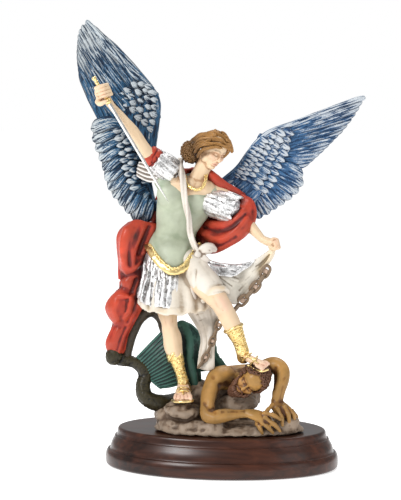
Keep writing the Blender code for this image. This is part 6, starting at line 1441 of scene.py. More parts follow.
def feather(clay, root, tip, width, face, thick=1.2, sag=(0, 0, 0), shape=(0.55, 0.92, 1.0, 0.8), pitch=1.15,
        cut=0.16, slant=0.9, blunt=0.62, half=5):
    """One feather: a bowed vane with a raised shaft and slanting barbs, its lie in millimetres."""
    root, tip, sag, face = (np.array(v, float) for v in (root, tip, sag, face))
    length = np.linalg.norm(tip - root)
    rows = int(np.clip(length / 0.6, 12, 72))
    share = np.linspace(0, 1, rows)
    line = root + (tip - root) * share[:, None] + sag * np.sin(math.pi * np.minimum(share * 1.1, 1))[:, None]
    breadth = np.interp(share, (0.0, 0.4, 0.75, 0.96, 1), (*shape, shape[-1])) * width / 2
    round_end = np.sqrt(np.clip(1 - np.clip((share - (1 - blunt * width / length)) / (blunt * width / length),
        0, 1) ** 2, 0.02, 1))
    breadth = breadth * round_end
    tangent = np.gradient(line, axis=0)
    tangent /= np.linalg.norm(tangent, axis=1, keepdims=True)
    out = face - tangent * (tangent @ face)[:, None]
    out /= np.linalg.norm(out, axis=1, keepdims=True)
    side = np.cross(tangent, out)
    across = np.concatenate([np.linspace(-1, 1, 2 * half + 1), np.linspace(1, -1, half + 2)[1:-1]])
    top = np.concatenate([np.ones(2 * half + 1), -np.ones(half)])
    wide = across[None, :] * breadth[:, None]
    run = share[:, None] * length
    barbs = np.sin(2 * math.pi * (run + slant * np.abs(wide) + 0.35 * np.sin(1.7 * run)) / pitch) * cut
    barbs = barbs * np.clip(3 * np.abs(across) - 0.3, 0, 1) * (1 - 0.35 * across[None, :] ** 2)
    shaft = 0.34 * np.exp(-((wide / 0.55) ** 2)) * (1 - share[:, None]) ** 0.4
    body = thick / 2 * np.sqrt(np.clip(1 - across[None, :] ** 2, 0, 1)) ** 0.7 * np.clip(round_end, 0.3, 1)[:,
        None]
    lift = (body + barbs + shaft) * top[None, :]
    rings = line[:, None, :] + side[:, None, :] * wide[..., None] + out[:, None, :] * lift[..., None]
    clay.rings(rings, np.stack(np.broadcast_arrays(run + 100 * np.sum(root) % 97, wide), axis=-1),
        np.abs(across))


def fan(clay, roots, tips, count, width, face, thick=1.2, sag=(0, 0, 0), lean=0.22, **details):
    """Feathers side by side, roots on one line and tips on another, each tilted to lap over the next."""
    face = unit(np.array(face, float))
    starts, ends = through(roots, 2 * count + 1)[1::2], through(tips, 2 * count + 1)[1::2]
    for root, tip in zip(starts, ends):
        side = unit(np.cross(tip - root, face))
        feather(clay, root, tip, width, unit(face + lean * side), thick, sag, **details)


def coverts(clay, line, count, way, size, face, lift=1.2, seed=1):
    """A row of small rounded feathers along a line, each pointing along `way` with a raised end."""
    face, way = unit(np.array(face, float)), unit(np.array(way, float))
    shake = random.Random(seed)
    for centre in through(line, 2 * count + 1)[1::2]:
        size_here = size * (0.9 + 0.25 * shake.random())
        lean = unit(way + 0.22 * (np.array((shake.random(), 0, shake.random())) - 0.5))
        root = centre[:3] + face * (lift - 1.1) - lean * size_here * 0.85
        tip = centre[:3] + face * (lift + 0.8) + lean * size_here * 0.7
        feather(clay, root, tip, size_here * 0.9, face, 0.8, face * 0.6, (0.55, 1.0, 0.98, 0.7), 0.8, 0.10,
            0.9, 0.9, 4)


def feather_group():
    """Feather paint: recess colour, painted shade where feathers lap, streaks along the vane, slanting barb
    strokes and dry-brushed white.
    """
    group = bpy.data.node_groups.new("dry-brushed feather", "ShaderNodeTree")
    face = group.interface
    for name, kind, value in (("Deep", "Color", (0, 0, 0, 1)), ("Blue", "Color", (0, 0, 1, 1)),
            ("White", "Color", (1, 1, 1, 1)), ("White Amount", "Float", 1.0), ("Barb Scale", "Float", 1.0),
            ("Edge Wash", "Float", 0.7), ("Tip White", "Float", 0.2)):
        face.new_socket(name, in_out="INPUT", socket_type="NodeSocket" + kind).default_value = value
    face.new_socket("Colour", in_out="OUTPUT", socket_type="NodeSocketColor")
    face.new_socket("Roughness", in_out="OUTPUT", socket_type="NodeSocketFloat")
    face.new_socket("Height", in_out="OUTPUT", socket_type="NodeSocketFloat")
    given = node_of(group, "NodeGroupInput").outputs
    relief = node_of(group, "ShaderNodeAttribute", attribute_name="relief").outputs["Fac"]
    enclosed_shade = node_of(group, "ShaderNodeAttribute", attribute_name="enclosed_shade").outputs["Fac"]
    share = node_of(group, "ShaderNodeAttribute", attribute_name="share").outputs["Fac"]
    pale = node_of(group, "ShaderNodeAttribute", attribute_name="pale").outputs["Fac"]
    lie = node_of(group, "ShaderNodeUVMap", uv_map="lie").outputs["UV"]
    spot = node_of(group, "ShaderNodeTexCoord").outputs["Object"]

    maths, spread = sums_of(group)

    parts = node_of(group, "ShaderNodeSeparateXYZ", {"Vector": lie}).outputs
    wide = maths("ABSOLUTE", parts["Y"], 0.0)
    barb_place = maths("ADD", parts["X"], maths("MULTIPLY", wide, 0.9))
    slanted = node_of(group, "ShaderNodeCombineXYZ", {"X": maths("MULTIPLY", barb_place, given["Barb Scale"]),
        "Y": maths("MULTIPLY", wide, 0.22), "Z": maths("SIGN", parts["Y"], 0.0)}).outputs[0]
    barbs = node_of(group, "ShaderNodeTexNoise", {"Vector": slanted, "Scale": 1.0, "Detail": 3.0,
        "Roughness": 0.6}).outputs["Fac"]
    long_way = node_of(group, "ShaderNodeCombineXYZ", {"X": maths("MULTIPLY", parts["X"], 0.075),
        "Y": maths("MULTIPLY", parts["Y"], 0.85)}).outputs[0]
    streaks = node_of(group, "ShaderNodeTexNoise", {"Vector": long_way, "Scale": 1.0, "Detail": 3.0,
        "Roughness": 0.6}).outputs["Fac"]
    cloud = node_of(group, "ShaderNodeTexNoise",
        {"Vector": spot, "Scale": 90.0, "Detail": 3.0}).outputs["Fac"]
    strokes = maths("ADD", maths("MULTIPLY", barbs, 0.42), maths("MULTIPLY", spread(streaks, 0.34, 0.66),
        0.58))
    shade = maths("ADD", maths("MULTIPLY", maths("SUBTRACT", relief, 0.5), 0.32), strokes)
    # Painted shade: the blue darkens and the white is held back where the casting is enclosed.
    body = spread(maths("SUBTRACT", shade, maths("MULTIPLY", enclosed_shade, 0.2)), 0.34, 0.62)
    base = node_of(group, "ShaderNodeMix", {0: body, 6: given["Deep"], 7: given["Blue"]},
        data_type="RGBA").outputs[2]
    bias = maths("ADD", maths("MULTIPLY", maths("SUBTRACT", share, 0.5), given["Tip White"]),
        maths("MULTIPLY", maths("SUBTRACT", pale, 0.5), 0.34))
    bias = maths("ADD", bias, maths("MULTIPLY", maths("SUBTRACT", cloud, 0.5), 0.22))
    high = spread(maths("ADD", shade, maths("SUBTRACT", bias, maths("MULTIPLY", enclosed_shade, 0.16))), 0.56, 0.86)
    high = maths("MULTIPLY", high, given["White Amount"], True)
    colour = node_of(group, "ShaderNodeMix", {0: high, 6: base, 7: given["White"]},
        data_type="RGBA").outputs[2]
    rim = node_of(group, "ShaderNodeAttribute", attribute_name="rim").outputs["Fac"]
    gap = maths("MULTIPLY", spread(maths("ADD", rim, maths("MULTIPLY", maths("SUBTRACT", strokes, 0.5), 0.4)),
        0.72, 1.0), given["Edge Wash"], True)
    # Painted shade in the deep colour where feathers lap and the casting is enclosed.
    shade_where_lapped = maths("MULTIPLY", spread(enclosed_shade, 0.25, 0.85), 0.75)
    gap = maths("MAXIMUM", gap, shade_where_lapped)
    colour = node_of(group, "ShaderNodeMix", {0: gap, 6: colour, 7: given["Deep"]},
        data_type="RGBA").outputs[2]
    out = node_of(group, "NodeGroupOutput")
    group.links.new(colour, out.inputs["Colour"])
    group.links.new(spread(strokes, 0.3, 0.7, 0.6, 0.42), out.inputs["Roughness"])
    group.links.new(strokes, out.inputs["Height"])
    return group


feather_paint = feather_group()


def plumage(name, deep, blue, white, amount, barb_scale=1.0, edge_wash=0.85, tip_white=0.2):
    material, tree, shader = finish(name, coat=0.12)
    group = node_of(tree, "ShaderNodeGroup", node_tree=feather_paint)
    for socket, value in (("Deep", (*deep, 1)), ("Blue", (*blue, 1)), ("White", (*white, 1)),
            ("White Amount", amount), ("Barb Scale", barb_scale), ("Edge Wash", edge_wash),
            ("Tip White", tip_white)):
        group.inputs[socket].default_value = value
    tree.links.new(group.outputs["Colour"], shader.inputs["Base Color"])
    tree.links.new(group.outputs["Roughness"], shader.inputs["Roughness"])
    uneven = node_of(tree, "ShaderNodeBump", {"Height": group.outputs["Height"], "Strength": 0.45,
        "Distance": 0.0006})
    tree.links.new(uneven.outputs["Normal"], shader.inputs["Normal"])
    return material


def feathered(clay, name, material, *pale_spots, base=0.35, contrast=1.0):
    """Places feathers, with the places where the white brush was heaviest: (path, width, how pale)."""
    form = Casting(clay)
    pale = np.full(len(form.points), base)
    for path, width, how in pale_spots:
        near = form.nearness(path, width)
        pale = pale * (1 - near) + how * near
    form.marks["pale"] = pale
    form.place(name, material, contrast=contrast)


teal = plumage("raised wing feathers", (0.004, 0.014, 0.036), (0.026, 0.105, 0.210), (0.52, 0.56, 0.57), 0.92)
teal_covert = plumage("raised wing coverts", (0.005, 0.016, 0.042), (0.045, 0.125, 0.22), (0.55, 0.60, 0.63),
    0.92, 0.6, 0.75, 0.6)
wing_face = (0.25, -1, 0.12)
flight = Shells()
fan(flight, [(-79.5, 4.5, 202), (-73.5, 5.5, 200.5), (-68, 7.5, 201), (-62, 10, 204), (-57, 12, 209.5),
    (-52.5, 13.5, 215), (-48.5, 15, 219.5), (-45.5, 15.5, 223)], [(-91.5, 17, 233), (-93.5, 20.5, 243.5),
    (-93.5, 22.5, 251), (-93, 24, 257.5), (-91.5, 25, 261.5), (-89, 25.5, 264), (-87, 25.5, 263.5),
    (-83.5, 24.5, 259.5), (-78.5, 23, 254)], 15, 8.6, wing_face, 1.2, (0, -0.6, 0), pitch=1.5, cut=0.05,
    slant=1.6, blunt=0.9)
fan(flight, [(-71, 5, 202), (-66, 7.5, 204.5), (-61, 10, 209), (-55.5, 12, 214.5)],
    [(-85, 14, 224), (-85.5, 17, 234.5), (-84.5, 19, 242), (-81, 20, 248)], 5, 6.4, wing_face, 1.0,
    (0, -1.2, 0), pitch=1.4, cut=0.12, slant=1.4, blunt=0.9)
feathered(flight, "raised_wing_flight_feathers", teal, ([(-88.5, 24, 263), (-90, 23, 255)], 10, 0.95),
    ([(-93, 22, 248.5), (-91.5, 19, 238.5)], 5, 0.8), ([(-80.5, 22, 255), (-69, 19, 242), (-58.5, 16, 230.5)],
    6, 0.85), ([(-79.5, 18, 233), (-69, 16, 221.5)], 9, 0.42), ([(-87, 12, 221.5), (-81.5, 8, 211.5),
    (-73.5, 6, 204)], 9, 0.08), base=0.5)

edge_form = Shells()
edge_form.tube([(-46.5, 11, 165, 2.9), (-45.5, 11, 181.5, 2.9), (-43.5, 11, 195.5, 2.7),
    (-42, 12, 205.5, 2.3), (-42, 13, 212, 2.3), (-44.5, 14, 218.5, 2.3), (-51, 15, 225.5, 2.2),
    (-59, 17, 232, 2.1), (-69, 20, 244, 2), (-77.5, 22, 253.5, 1.8), (-83.5, 24, 260, 1.7),
    (-87.5, 25, 264, 1.6)], 32, 130, ribs=9, rib=0.025, twist=0.05)
arm_rows = [[(-44.5, 14, 219), (-42.5, 13, 210), (-44.5, 11, 196.5), (-46.5, 11, 181.5), (-46.5, 11, 165),
    (-41.5, 8, 141)], [(-56.5, 15, 221.5), (-55.5, 13, 211), (-57, 9, 196.5), (-57.5, 7, 181.5),
    (-55, 7, 163.5), (-49.5, 7, 143.5)], [(-65, 16, 221.5), (-65.5, 13, 211), (-68.5, 4, 197.5),
    (-67, 1, 182), (-64.5, 1, 165), (-55, 3, 145.5)]]
edge_form.cloth(arm_rows, 3.4, 24, 60)
feathered(edge_form, "raised_wing_leading_edge", teal, ([(-88, 23, 264), (-76.5, 20, 252.5), (-59, 14, 232.5),
    (-50.5, 12, 225.5)], 7, 0.75), base=0.1)

fringe = Shells()
fan(fringe, [(-66.5, 2, 201), (-63, 1, 195), (-61.5, 0, 185.5), (-59.5, 1, 174.5), (-55.5, 3, 162.5),
    (-49, 5, 152), (-44, 6, 148)], [(-84.5, -2, 199), (-84.5, -3, 196), (-83.5, -4, 187.5),
    (-80.5, -4, 179.5), (-77, -3, 169.5), (-74.5, -2, 159.5), (-71.5, 0, 153), (-67, 2, 147), (-62, 4, 141),
    (-57.5, 5, 136), (-54, 6, 133.5), (-48, 8, 134.5)], 12, 10.4, wing_face, 1.3, (0, -1.8, 2.2), lean=0.3,
    pitch=1.6, cut=0.16, slant=1.1, blunt=0.62)
fan(fringe, [(-64.5, 4, 199), (-59.5, 4, 188.5), (-56, 4, 175.5), (-52, 5, 162.5), (-46.5, 7, 153)],
    [(-76, 0, 196.5), (-74, -1, 185.5), (-71, -1, 174.5), (-67, 0, 164), (-61.5, 2, 154.5),
    (-54.5, 5, 146.5)], 11, 8.6, wing_face, 1.1, (0, -1.4, 1.2), lean=0.3, pitch=1.5, cut=0.14, slant=1.1,
    blunt=0.62)
feathered(fringe, "raised_wing_fringe_feathers", teal, ([(-83.5, -3, 199.5), (-82, -5, 182.5),
    (-76, -4, 166.5), (-68.5, 0, 150.5), (-57, 4, 137)], 6, 0.9), ([(-63, -2, 182.5), (-59.5, 0, 162.5),
    (-52, 4, 147.5)], 7, 0.22), base=0.45, contrast=1.0)

scale_form = Shells()
left = (-0.85, -0.25, 0.35)
for row, (line, count, size) in enumerate((([(-49, 12.5, 224.5), (-44.5, 11.5, 217), (-43.5, 10.5, 209),
        (-44.5, 9.5, 200.5), (-46.5, 9.5, 192.5)], 7, 4.9), ([(-53.5, 13.5, 225.5), (-49, 12.5, 220.5),
        (-47, 11.5, 212.5), (-48, 10.5, 204), (-50, 9.5, 196.5)], 6, 5.4), ([(-57.5, 14, 225.5),
        (-53.5, 13, 219.5), (-52, 12, 212.5), (-52.5, 11, 206), (-54.5, 9.5, 199.5)], 5, 5.6),
        ([(-61.5, 14, 221.5), (-58.5, 13, 216), (-56.5, 12, 210), (-57, 10.5, 205)], 4, 5.6),
        ([(-64.5, 14, 218.5), (-62, 12.5, 213), (-61, 11, 208)], 3, 5.2))):
    coverts(scale_form, line, count, left, size, wing_face, 0.6, row + 3)
down_left = (-0.9, -0.3, -0.15)
for row, (line, count, size) in enumerate((([(-68.5, -1, 197), (-66.5, -2, 190), (-65, -3, 183.5),
        (-63.5, -3, 176.5), (-62, -3, 171), (-59.5, -2, 163.5), (-55.5, 0, 156)], 9, 4.8),
        ([(-64, 0, 194.5), (-61, -1, 187), (-59.5, -1, 178.5), (-58, -1, 171.5), (-55, 1, 162.5)], 7, 4.6),
        ([(-58, 4, 191), (-55.5, 3, 180.5), (-53.5, 3, 170.5), (-49, 5, 158.5)], 6, 4.4))):
    coverts(scale_form, line, count, down_left, size, wing_face, 1.2, row + 13)
feathered(scale_form, "raised_wing_coverts", teal_covert, ([(-48, 10, 217), (-49, 8, 204.5)], 14, 0.95),
    ([(-57, 4, 191.5), (-52, 4, 156)], 6, 0.05), ([(-67.5, 0, 190), (-65, 0, 175.5), (-60.5, 0, 162.5)], 5,
    0.8), base=0.6, contrast=1.3)

blue = plumage("low wing feathers", (0.008, 0.032, 0.085), (0.048, 0.135, 0.280), (0.58, 0.62, 0.65), 0.92)
blue_covert = plumage("low wing coverts", (0.012, 0.040, 0.110), (0.060, 0.155, 0.300), (0.58, 0.62, 0.65),
    0.92, 0.6, 0.75, 0.6)
low_face = (-0.15, -1, 0.1)
flight = Shells()
fan(flight, [(40, 12, 196.5), (43.5, 12, 192.5), (43.5, 12, 187), (42, 12, 181.5), (40, 12, 176),
    (37.5, 11, 171)], [(93, 24, 214), (91.5, 23, 210.5), (87, 21, 203.5), (80.5, 19, 195), (75, 17, 189.5),
    (69, 15, 183.5), (62.5, 13, 177.5), (56, 12, 171.5)], 13, 7.4, low_face, 1.2, pitch=1.5, cut=0.05,
    slant=1.6, lean=-0.25, blunt=0.9)
fan(flight, [(38, 10, 173.5), (36, 9, 168.5), (33, 8, 162), (29, 8, 155.5), (24.5, 8, 150), (20, 8, 145.5)],
    [(52, 11, 167.5), (54, 10, 162), (52.5, 10, 156.5), (49, 9, 152.5), (43.5, 8, 148), (38, 8, 144.5),
    (33, 8, 141), (28, 8, 137.5), (22.5, 8, 136)], 8, 10.2, low_face, 1.3, (0, -1.2, 0.8), lean=-0.3,
    pitch=1.6, cut=0.15, slant=1.1, blunt=0.6)
feathered(flight, "low_wing_flight_feathers", blue, ([(93, 22, 214), (77.5, 18, 208.5), (63, 14, 203.5)], 7,
    0.9), ([(46, 10, 188), (42, 9, 175), (33, 7, 157)], 6, 0.1), ([(54, 9, 164.5), (48.5, 8, 154),
    (35.5, 6, 144.5)], 6, 0.7), ([(85.5, 20, 201.5), (71, 16, 186), (55, 12, 171.5)], 5, 0.6), base=0.45,
    contrast=1.1)

edge_form = Shells()
edge_form.tube([(0.5, 10, 159, 3.3), (11.5, 10, 169, 2.9), (18, 10, 178.5, 2.6), (24, 10, 186.5, 2.3),
    (32, 11, 193, 2.1), (44.5, 13, 197.5, 2), (57, 16, 202, 1.8), (73, 19, 208, 1.8), (88, 22, 213.5, 1.7),
    (93, 23.5, 214.5, 1.6)], 32, 120, ribs=9, rib=0.025, twist=-0.05)
edge_form.cloth([[(4, 10, 162), (12.5, 10, 169.5), (19, 10, 179), (25, 10, 186.5), (34, 11, 192.5),
    (44, 12, 195)], [(12, 9, 155.5), (19, 9, 162), (24.5, 9, 169.5), (30.5, 10, 177.5), (36, 11, 184),
    (44, 12, 188)], [(20, 8, 145.5), (24.5, 8, 150), (29.5, 9, 158), (35, 10, 167), (40, 11, 175),
    (44.5, 12, 181.5)]], 3.2, 50, 24)
feathered(edge_form, "low_wing_leading_edge", blue, ([(88, 18, 213.5), (57.5, 12, 201.5), (33, 8, 192)], 8,
    0.9), ([(24.5, 6, 185.5), (18.5, 6, 177)], 6, 0.6), ([(12, 6, 168.5), (4, 6, 162)], 8, 0.2), base=0.3)

scale_form = Shells()
way = (0.8, 0.1, -0.45)
for row, (line, count, size) in enumerate((([(44.5, 11, 195), (42.5, 11, 188.5), (41.5, 11, 182),
        (39, 10, 176), (35.5, 9, 169.5), (33.5, 8, 163.5), (30.5, 8, 158), (26.5, 8, 153.5)], 10, 5.0),
        ([(39.5, 10.5, 194.5), (37, 10, 188), (34, 10, 181), (31, 9, 174.5), (28.5, 8, 167), (25, 8, 161.5),
        (21, 8, 155.5)], 10, 4.8), ([(34, 10, 192.5), (31.5, 9.5, 186.5), (27.5, 9, 179.5), (24, 8.5, 173),
        (20.5, 8, 166.5), (17.5, 8, 160)], 9, 4.5), ([(29, 9, 189.5), (25, 8.5, 182), (20.5, 8, 175),
        (16.5, 8, 168.5), (13.5, 8, 162)], 9, 4.1), ([(23.5, 8, 184), (18.5, 7.5, 177), (14, 7, 170),
        (9.5, 7, 163.5)], 8, 3.6))):
    coverts(scale_form, line, count, way, size, low_face, 0.7, row + 23)
feathered(scale_form, "low_wing_coverts", blue_covert, ([(40, 8, 193.5), (31.5, 7, 181.5)], 13, 0.85),
    ([(30, 6, 161), (23.5, 6, 155.5)], 9, 0.45), base=0.6, contrast=1.3)

back_form = Shells()
away = (-0.25, 1, 0)
for row, (line, count, size) in enumerate((([(-53, 15, 221.5), (-48.5, 14, 211), (-50, 12, 197.5),
        (-51, 12, 181.5), (-50.5, 12, 161.5)], 11, 8), ([(-61.5, 15, 220), (-58.5, 14, 208.5),
        (-59, 10, 194.5), (-59, 8, 178.5), (-56.5, 8, 158.5)], 11, 8))):
    coverts(back_form, line, count, (-0.8, 0.2, -0.3), size * 0.8, away, 1.2, row + 33)
for row, (line, count, size) in enumerate((([(40.5, 12, 191.5), (37, 11, 180), (30.5, 10, 168.5),
        (22.5, 9, 156.5)], 8, 7.5), ([(30.5, 11, 189), (24, 10, 179), (16, 10, 167)], 7, 7.5))):
    coverts(back_form, line, count, (0.7, 0.1, -0.5), size, (0.15, 1, 0), 1.2, row + 43)
back_form.tube([(-29.5, 6, 148.5, 3.9), (-37, 11, 145.5, 5.2), (-45.5, 11, 145.5, 3.9)], 20, 24)
back_form.tube([(-15.5, 6, 151.5, 3.9), (-4, 10, 155, 4.6), (5.5, 10, 160.5, 3.3)], 20, 24)
feathered(back_form, "wing_backs", blue, base=0.35, contrast=1.2)

# ---- Chain ----
# Cast chain with heavy oval links that hangs from the left fist along the cloth's edge, and again between
# the legs down to the demon. Bronze-brown, with the flesh colour of the cast web inside the links.

links = Shells()
webs = Shells()
upper = [(28, -20.5, 105.5), (25.5, -20, 100.5), (21.5, -19.5, 95.5), (18, -19, 91), (13.5, -18.5, 86.5),
    (9, -17, 81)]
lower = [(-2, -12, 69.5), (-4, -12.5, 64.5), (-6, -13, 59), (-8, -13, 54), (-10.5, -13, 48.5),
    (-13.5, -12.5, 44)]
for run, width, gauge, half in ((upper, 2.5, 1.0, 4.1), (lower, 1.8, 0.75, 3.4)):
    way = np.gradient(np.array(run), axis=0)
    for link, (middle, along) in enumerate(zip(np.array(run), way)):
        along = unit(along)
        side = unit(np.cross(along, (0.2, -1, 0.1)))
        long_half, wide = half, width
        if link % 2:
            side, long_half, wide = unit(side * 0.35 + np.array((0, -1, 0))), half * 0.92, width * 0.8
        loop = []
        for corner in range(17):
            angle = 2 * math.pi * corner / 16
            loop.append((*(middle + along * long_half * math.copysign(abs(math.cos(angle)) ** 0.75,
                math.cos(angle)) + side * wide * math.sin(angle)), gauge))
        links.tube(loop, 12, 48)
        if link % 2 == 0:
            webs.ball(middle + (0, 0.6, 0), (wide * 0.8, 0.6, wide * 0.8), (0, 0, 0), 10)
bronze = painted("bronze-brown chain", (0.070, 0.040, 0.026), (0.010, 0.006, 0.004), (0.27, 0.19, 0.12), 0.9,
    0.7, 0.5, 1.2, 0.3, 0.35)
Casting(links).place("chain", bronze, contrast=1.3)
web_paint = painted("flesh pink between the links", (0.50, 0.36, 0.27), (0.12, 0.06, 0.035),
    (0.60, 0.45, 0.35), 0.9, 0.4)
Casting(webs).place("chain_webs", web_paint)

# ---- Boots ----
# Open-toed gilt boots to mid shin, laced criss-cross up the front over bare skin, with a pointed flap at
# the top, and a thin sole. Toes are bare.

boot_form, lace_form, foot_form = Shells(), Shells(), Shells()
for leg, top, ankle, heel in ((WEIGHT_LEG[6:], (-31, -8, 49, 4.9), (-25, -9, 31.5, 3.6),
        (-24, -6, 27, 4.2)), (BENT_LEG[5:], (7.5, -25, 69.5, 5.7),
        (13.5, -22, 53.5, 4.1), (14, -19, 49.5, 4.3))):
    shin = through([top] + [tuple(p) for p in leg if p[2] < top[2] - 1.0 and p[2] > ankle[2] + 1.0] + [ankle],
        40)
    boot_form.tube([(*p[:3], p[3] * 1.07) for p in shin], 28, 60)
    boot_form.tube([ankle, heel], 20, 12)
    front = np.array((0.12, -1, 0.1))
    # Two laces run crosswise up the shin, half a turn apart
    for turn in range(2):
        lace = []
        for step in range(61):
            share = step / 60
            p = shin[int(share * 39)]
            ahead = unit(shin[min(int(share * 39) + 1, 39)][:3] - shin[max(int(share * 39) - 1, 0)][:3])
            side = unit(np.cross(ahead, front))
            out = np.cross(side, ahead)
            swing = 1.15 * math.asin(math.sin(2 * math.pi * 3.2 * share + math.pi * turn)) * 2 / math.pi
            lace.append((*(p[:3] + p[3] * 1.10 * (side * math.sin(swing) + out * math.cos(swing))), 0.33))
        lace_form.tube(lace, 9, 150)
    # Rim of the boot, drawn down to a point in front
    rim = []
    p, q = shin[0], shin[2]
    ahead = unit(q[:3] - p[:3])
    side = unit(np.cross(ahead, front))
    out = np.cross(side, ahead)
    for step in range(25):
        angle = 2 * math.pi * step / 24
        peak = 1.6 * max(0.0, math.cos(angle)) ** 3
        rim.append((*(p[:3] - ahead * peak + p[3] * 1.08 * (out * math.cos(angle) + side * math.sin(angle))),
            0.85))
    lace_form.tube(rim, 10, 80)
    for drop in (6, 14, 22, 30):
        p = shin[drop]
        lace_form.ball(p[:3] + np.array((0.1, -1, 0.1)) * p[3] * 1.1, (0.9, 0.7, 0.7), steps=8)

foot_form.tube([(-25, -9, 30, 3.5), (-25, -12, 27.5, 4.4), (-25, -18, 25, 5.4), (-25.5, -23, 24, 5.6)], 22,
    30, face=(0, 0.35, 1), flat=0.62)
for toe in range(5):
    across = toe / 4
    size = (1.05, 1.1, 1.2, 1.3, 1.75)[toe]
    root = np.array((-29.8, -23.5, 25.2)) * (1 - across) + np.array((-21.4, -24.5, 25.6)) * across
    tip = np.array((-30.3, -27, 24.2)) * (1 - across) + np.array((-20.2, -29, 24.4)) * across
    bow = (0, -0.6 * math.sin(math.pi * across), 0)
    foot_form.tube([(*(root + (0, 1.5, 0.3)), size * 0.95), (*(root + bow), size),
        (*((root + tip) / 2 + (0, 0, 0.5) + bow), size), (*(tip + bow), size * 0.85)], 12, 18)
foot_form.tube([(13.5, -20, 52, 3.9), (17.5, -23, 49.5, 4.1), (22, -26.5, 48, 4), (26, -29, 47, 3.3)], 22, 30,
    face=(0.3, 0.35, 1), flat=0.62)
for toe in range(5):
    across = toe / 4
    root = np.array((23.5, -30.5, 45.7)) * (1 - across) + np.array((26.8, -28, 48.1)) * across
    tip = np.array((25.7, -33, 44.4)) * (1 - across) + np.array((30.2, -30, 47.1)) * across
    size = (1.6, 1.2, 1.1, 1.05, 0.95)[toe]
    foot_form.tube([(*(root - (tip - root) * 0.4), size * 0.95), (*root, size), (*((root + tip) / 2
        + (0, 0, 0.5)), size), (*tip, size * 0.85)], 12, 18)
boots = Casting(boot_form, 0.5, 1)
boots.roughen(0.22, 1.2, 4.0)
boots.place("gilt_boots", gilt, contrast=1.3)
# Straps over both feet, and the edges of the soles
for strap_line in ([(-29.5, -14, 26.5, 0.6), (-27, -19, 29.5, 0.6), (-23, -19, 29.5, 0.6),
        (-20, -14, 26.5, 0.6)], [(-30, -18, 24, 0.6), (-27, -23, 28, 0.7), (-22.5, -23, 28, 0.7),
        (-19.5, -18, 24, 0.6)], [(-27, -19, 29.5, 0.6), (-25, -24, 27.5, 0.6), (-25, -27, 27, 0.5)],
        [(-32, -20, 21.5, 0.8), (-30, -28, 22, 0.8), (-25, -31, 22.5, 0.8), (-19.5, -29, 22.5, 0.8),
        (-18.5, -21, 22, 0.8)], [(14, -23, 47.5, 0.6), (16, -27.5, 51.5, 0.6), (19, -24, 53, 0.6)],
        [(18, -26, 45, 0.6), (21, -31, 50, 0.7), (23, -27, 51.5, 0.6)], [(16, -27, 52, 0.6),
        (20, -31, 50, 0.6), (23, -32, 48, 0.5)], [(17, -24, 45, 0.8), (22, -28, 43, 0.8),
        (25.5, -31.5, 42.5, 0.8), (29.5, -31, 43.5, 0.7)]):
    lace_form.tube(strap_line, 10, 30)
Casting(lace_form).place("boot_laces_and_soles", gilt, contrast=1.2)
feet = Casting(foot_form, 0.43, 1)
tinted(feet, (0.78, 0.55, 0.38), ((0.80, 0.44, 0.34), [(-30, -27, 25), (-25, -30, 25.5), (-20.5, -28, 25)],
    2.2, 0.6), ((0.80, 0.44, 0.34), [(25, -33, 45.5), (29.5, -31, 47)], 2.6, 0.6))
feet.place("bare_feet", skin, contrast=1.4)

# ---- Painted shade ----
# Painted shade: every recess of the casting, and every place that other parts close in, is darkened in the
# wash colour by how enclosed it is. That comes from how much surface lies close in front of each point, on a
# grid of small cells.

CELL, MARGIN, LIFT, LOOKS, LEAST_SLANT, EASING = 1.4, 20, 2.0, 24, 0.12, 6
casting_pieces = [piece for piece in bpy.data.objects
    if piece.type == "MESH" and "relief" in piece.data.attributes]
surfaces = []
for piece in casting_pieces:
    count = len(piece.data.vertices)
    points, normals = np.empty(3 * count), np.empty(3 * count)
    piece.data.vertices.foreach_get("co", points)
    piece.data.vertices.foreach_get("normal", normals)
    surfaces.append((points.reshape(-1, 3) * 1000, normals.reshape(-1, 3)))
everything = np.vstack([points for points, _ in surfaces])
origin = everything.min(axis=0) - MARGIN
shape = np.ceil((everything.max(axis=0) + MARGIN - origin) / CELL).astype(int)
filled = np.zeros(shape, bool)
cells = ((everything - origin) / CELL).astype(int)
filled[cells[:, 0], cells[:, 1], cells[:, 2]] = True
spiral = np.arange(LOOKS) + 0.5
height, turn = 1 - 2 * spiral / LOOKS, math.pi * (1 + 5**0.5) * spiral
looks = np.stack([np.cos(turn) * np.sqrt(1 - height**2), np.sin(turn) * np.sqrt(1 - height**2), height],
    axis=1)
for piece, (points, normals) in zip(casting_pieces, surfaces):
    blocked, weight = np.zeros(len(points)), np.zeros(len(points))
    start = points + normals * LIFT - origin
    for look in looks:
        slant = normals @ look
        facing = np.flatnonzero(slant > LEAST_SLANT)
        clear = np.ones(len(facing))
        for far, shade in ((2.0, 1.0), (3.6, 0.9), (5.6, 0.75), (8.2, 0.55), (11.5, 0.35)):
            index = ((start[facing] + look * far) / CELL).astype(int)
            hit = filled[index[:, 0], index[:, 1], index[:, 2]]
            clear = np.minimum(clear, np.where(hit, 1 - shade, 1))
        blocked[facing] += slant[facing] * (1 - clear)
        weight[facing] += slant[facing]
    enclosed_shade = blocked / np.maximum(weight, 1e-6)
    ends = np.empty(2 * len(piece.data.edges), dtype=np.int64)
    piece.data.edges.foreach_get("vertices", ends)
    a, b = ends[0::2], ends[1::2]
    degree = np.bincount(np.concatenate([a, b]), minlength=len(points)) + 1
    for _ in range(EASING):
        beside = np.bincount(a, weights=enclosed_shade[b], minlength=len(points)) + np.bincount(b, weights=enclosed_shade[a],
            minlength=len(points))
        enclosed_shade = (enclosed_shade + beside) / degree
    piece.data.attributes.new("enclosed_shade", "FLOAT", "POINT").data.foreach_set("value", np.clip(enclosed_shade, 0, 1))

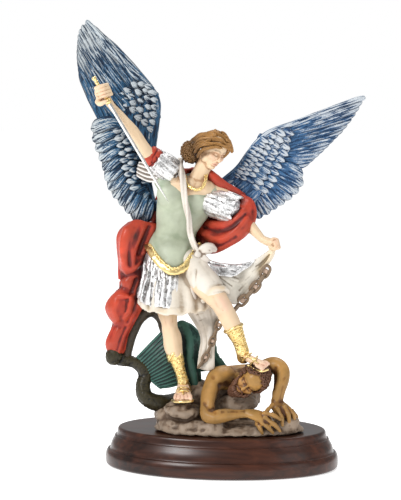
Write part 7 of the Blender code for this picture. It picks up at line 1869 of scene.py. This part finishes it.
# ---- Studio ----
# White sweep, a large soft key light from the upper left, a fill from the right and one from above behind.
# The camera stands a little higher than the raised wing, looks slightly down and has a long lens.

bpy.ops.mesh.primitive_plane_add(size=6, location=(0, 0, -0.0005))
sweep = bpy.context.object
sweep.name = "white_table"
table, tree, shader = finish("white table", 0.9)
shader.inputs["Base Color"].default_value = (0.94, 0.94, 0.94, 1)
shader.inputs["Emission Color"].default_value = (1, 1, 1, 1)
shader.inputs["Emission Strength"].default_value = 0.6
sweep.data.materials.append(table)

world = bpy.data.worlds.new("studio")
bpy.context.scene.world = world
world.use_nodes = True
sky = world.node_tree.nodes["Background"]
sky.inputs["Color"].default_value = (1, 1, 1, 1)
seen = node_of(world.node_tree, "ShaderNodeLightPath").outputs["Is Camera Ray"]
bright = node_of(world.node_tree, "ShaderNodeMapRange", {"Value": seen, "To Min": 0.46, "To Max": 1.0})
world.node_tree.links.new(bright.outputs["Result"], sky.inputs["Strength"])

for name, place, size, power in (("key", (-0.55, -0.75, 0.75), 0.35, 8.0), ("fill", (0.8, -0.5, 0.3), 0.5,
        1.0), ("top", (0.1, 0.35, 0.9), 0.5, 3.0)):
    lamp = bpy.data.lights.new(name, "AREA")
    lamp.size, lamp.energy = size, power
    light = bpy.data.objects.new(name, lamp)
    bpy.context.collection.objects.link(light)
    light.location = place
    light.rotation_euler = (Vector((0, 0, 0.14)) - Vector(place)).to_track_quat("-Z", "Y").to_euler()

lens = bpy.data.cameras.new("camera")
lens.lens, lens.sensor_width = 165.96, 36
lens.clip_start, lens.clip_end = 0.1, 20
camera = bpy.data.objects.new("camera", lens)
bpy.context.collection.objects.link(camera)
look_down = math.radians(7)
camera.location = Matrix.Rotation(FIGURE_TURN, 3, "Z") @ Vector((-0.0137, -1.4888, 0.3248))
back = Vector((math.sin(FIGURE_TURN) * math.cos(look_down), -math.cos(FIGURE_TURN) * math.cos(look_down),
    math.sin(look_down)))
camera.rotation_euler = back.to_track_quat("Z", "Y").to_euler()
bpy.context.scene.camera = camera
bpy.context.scene.view_settings.view_transform = "Standard"
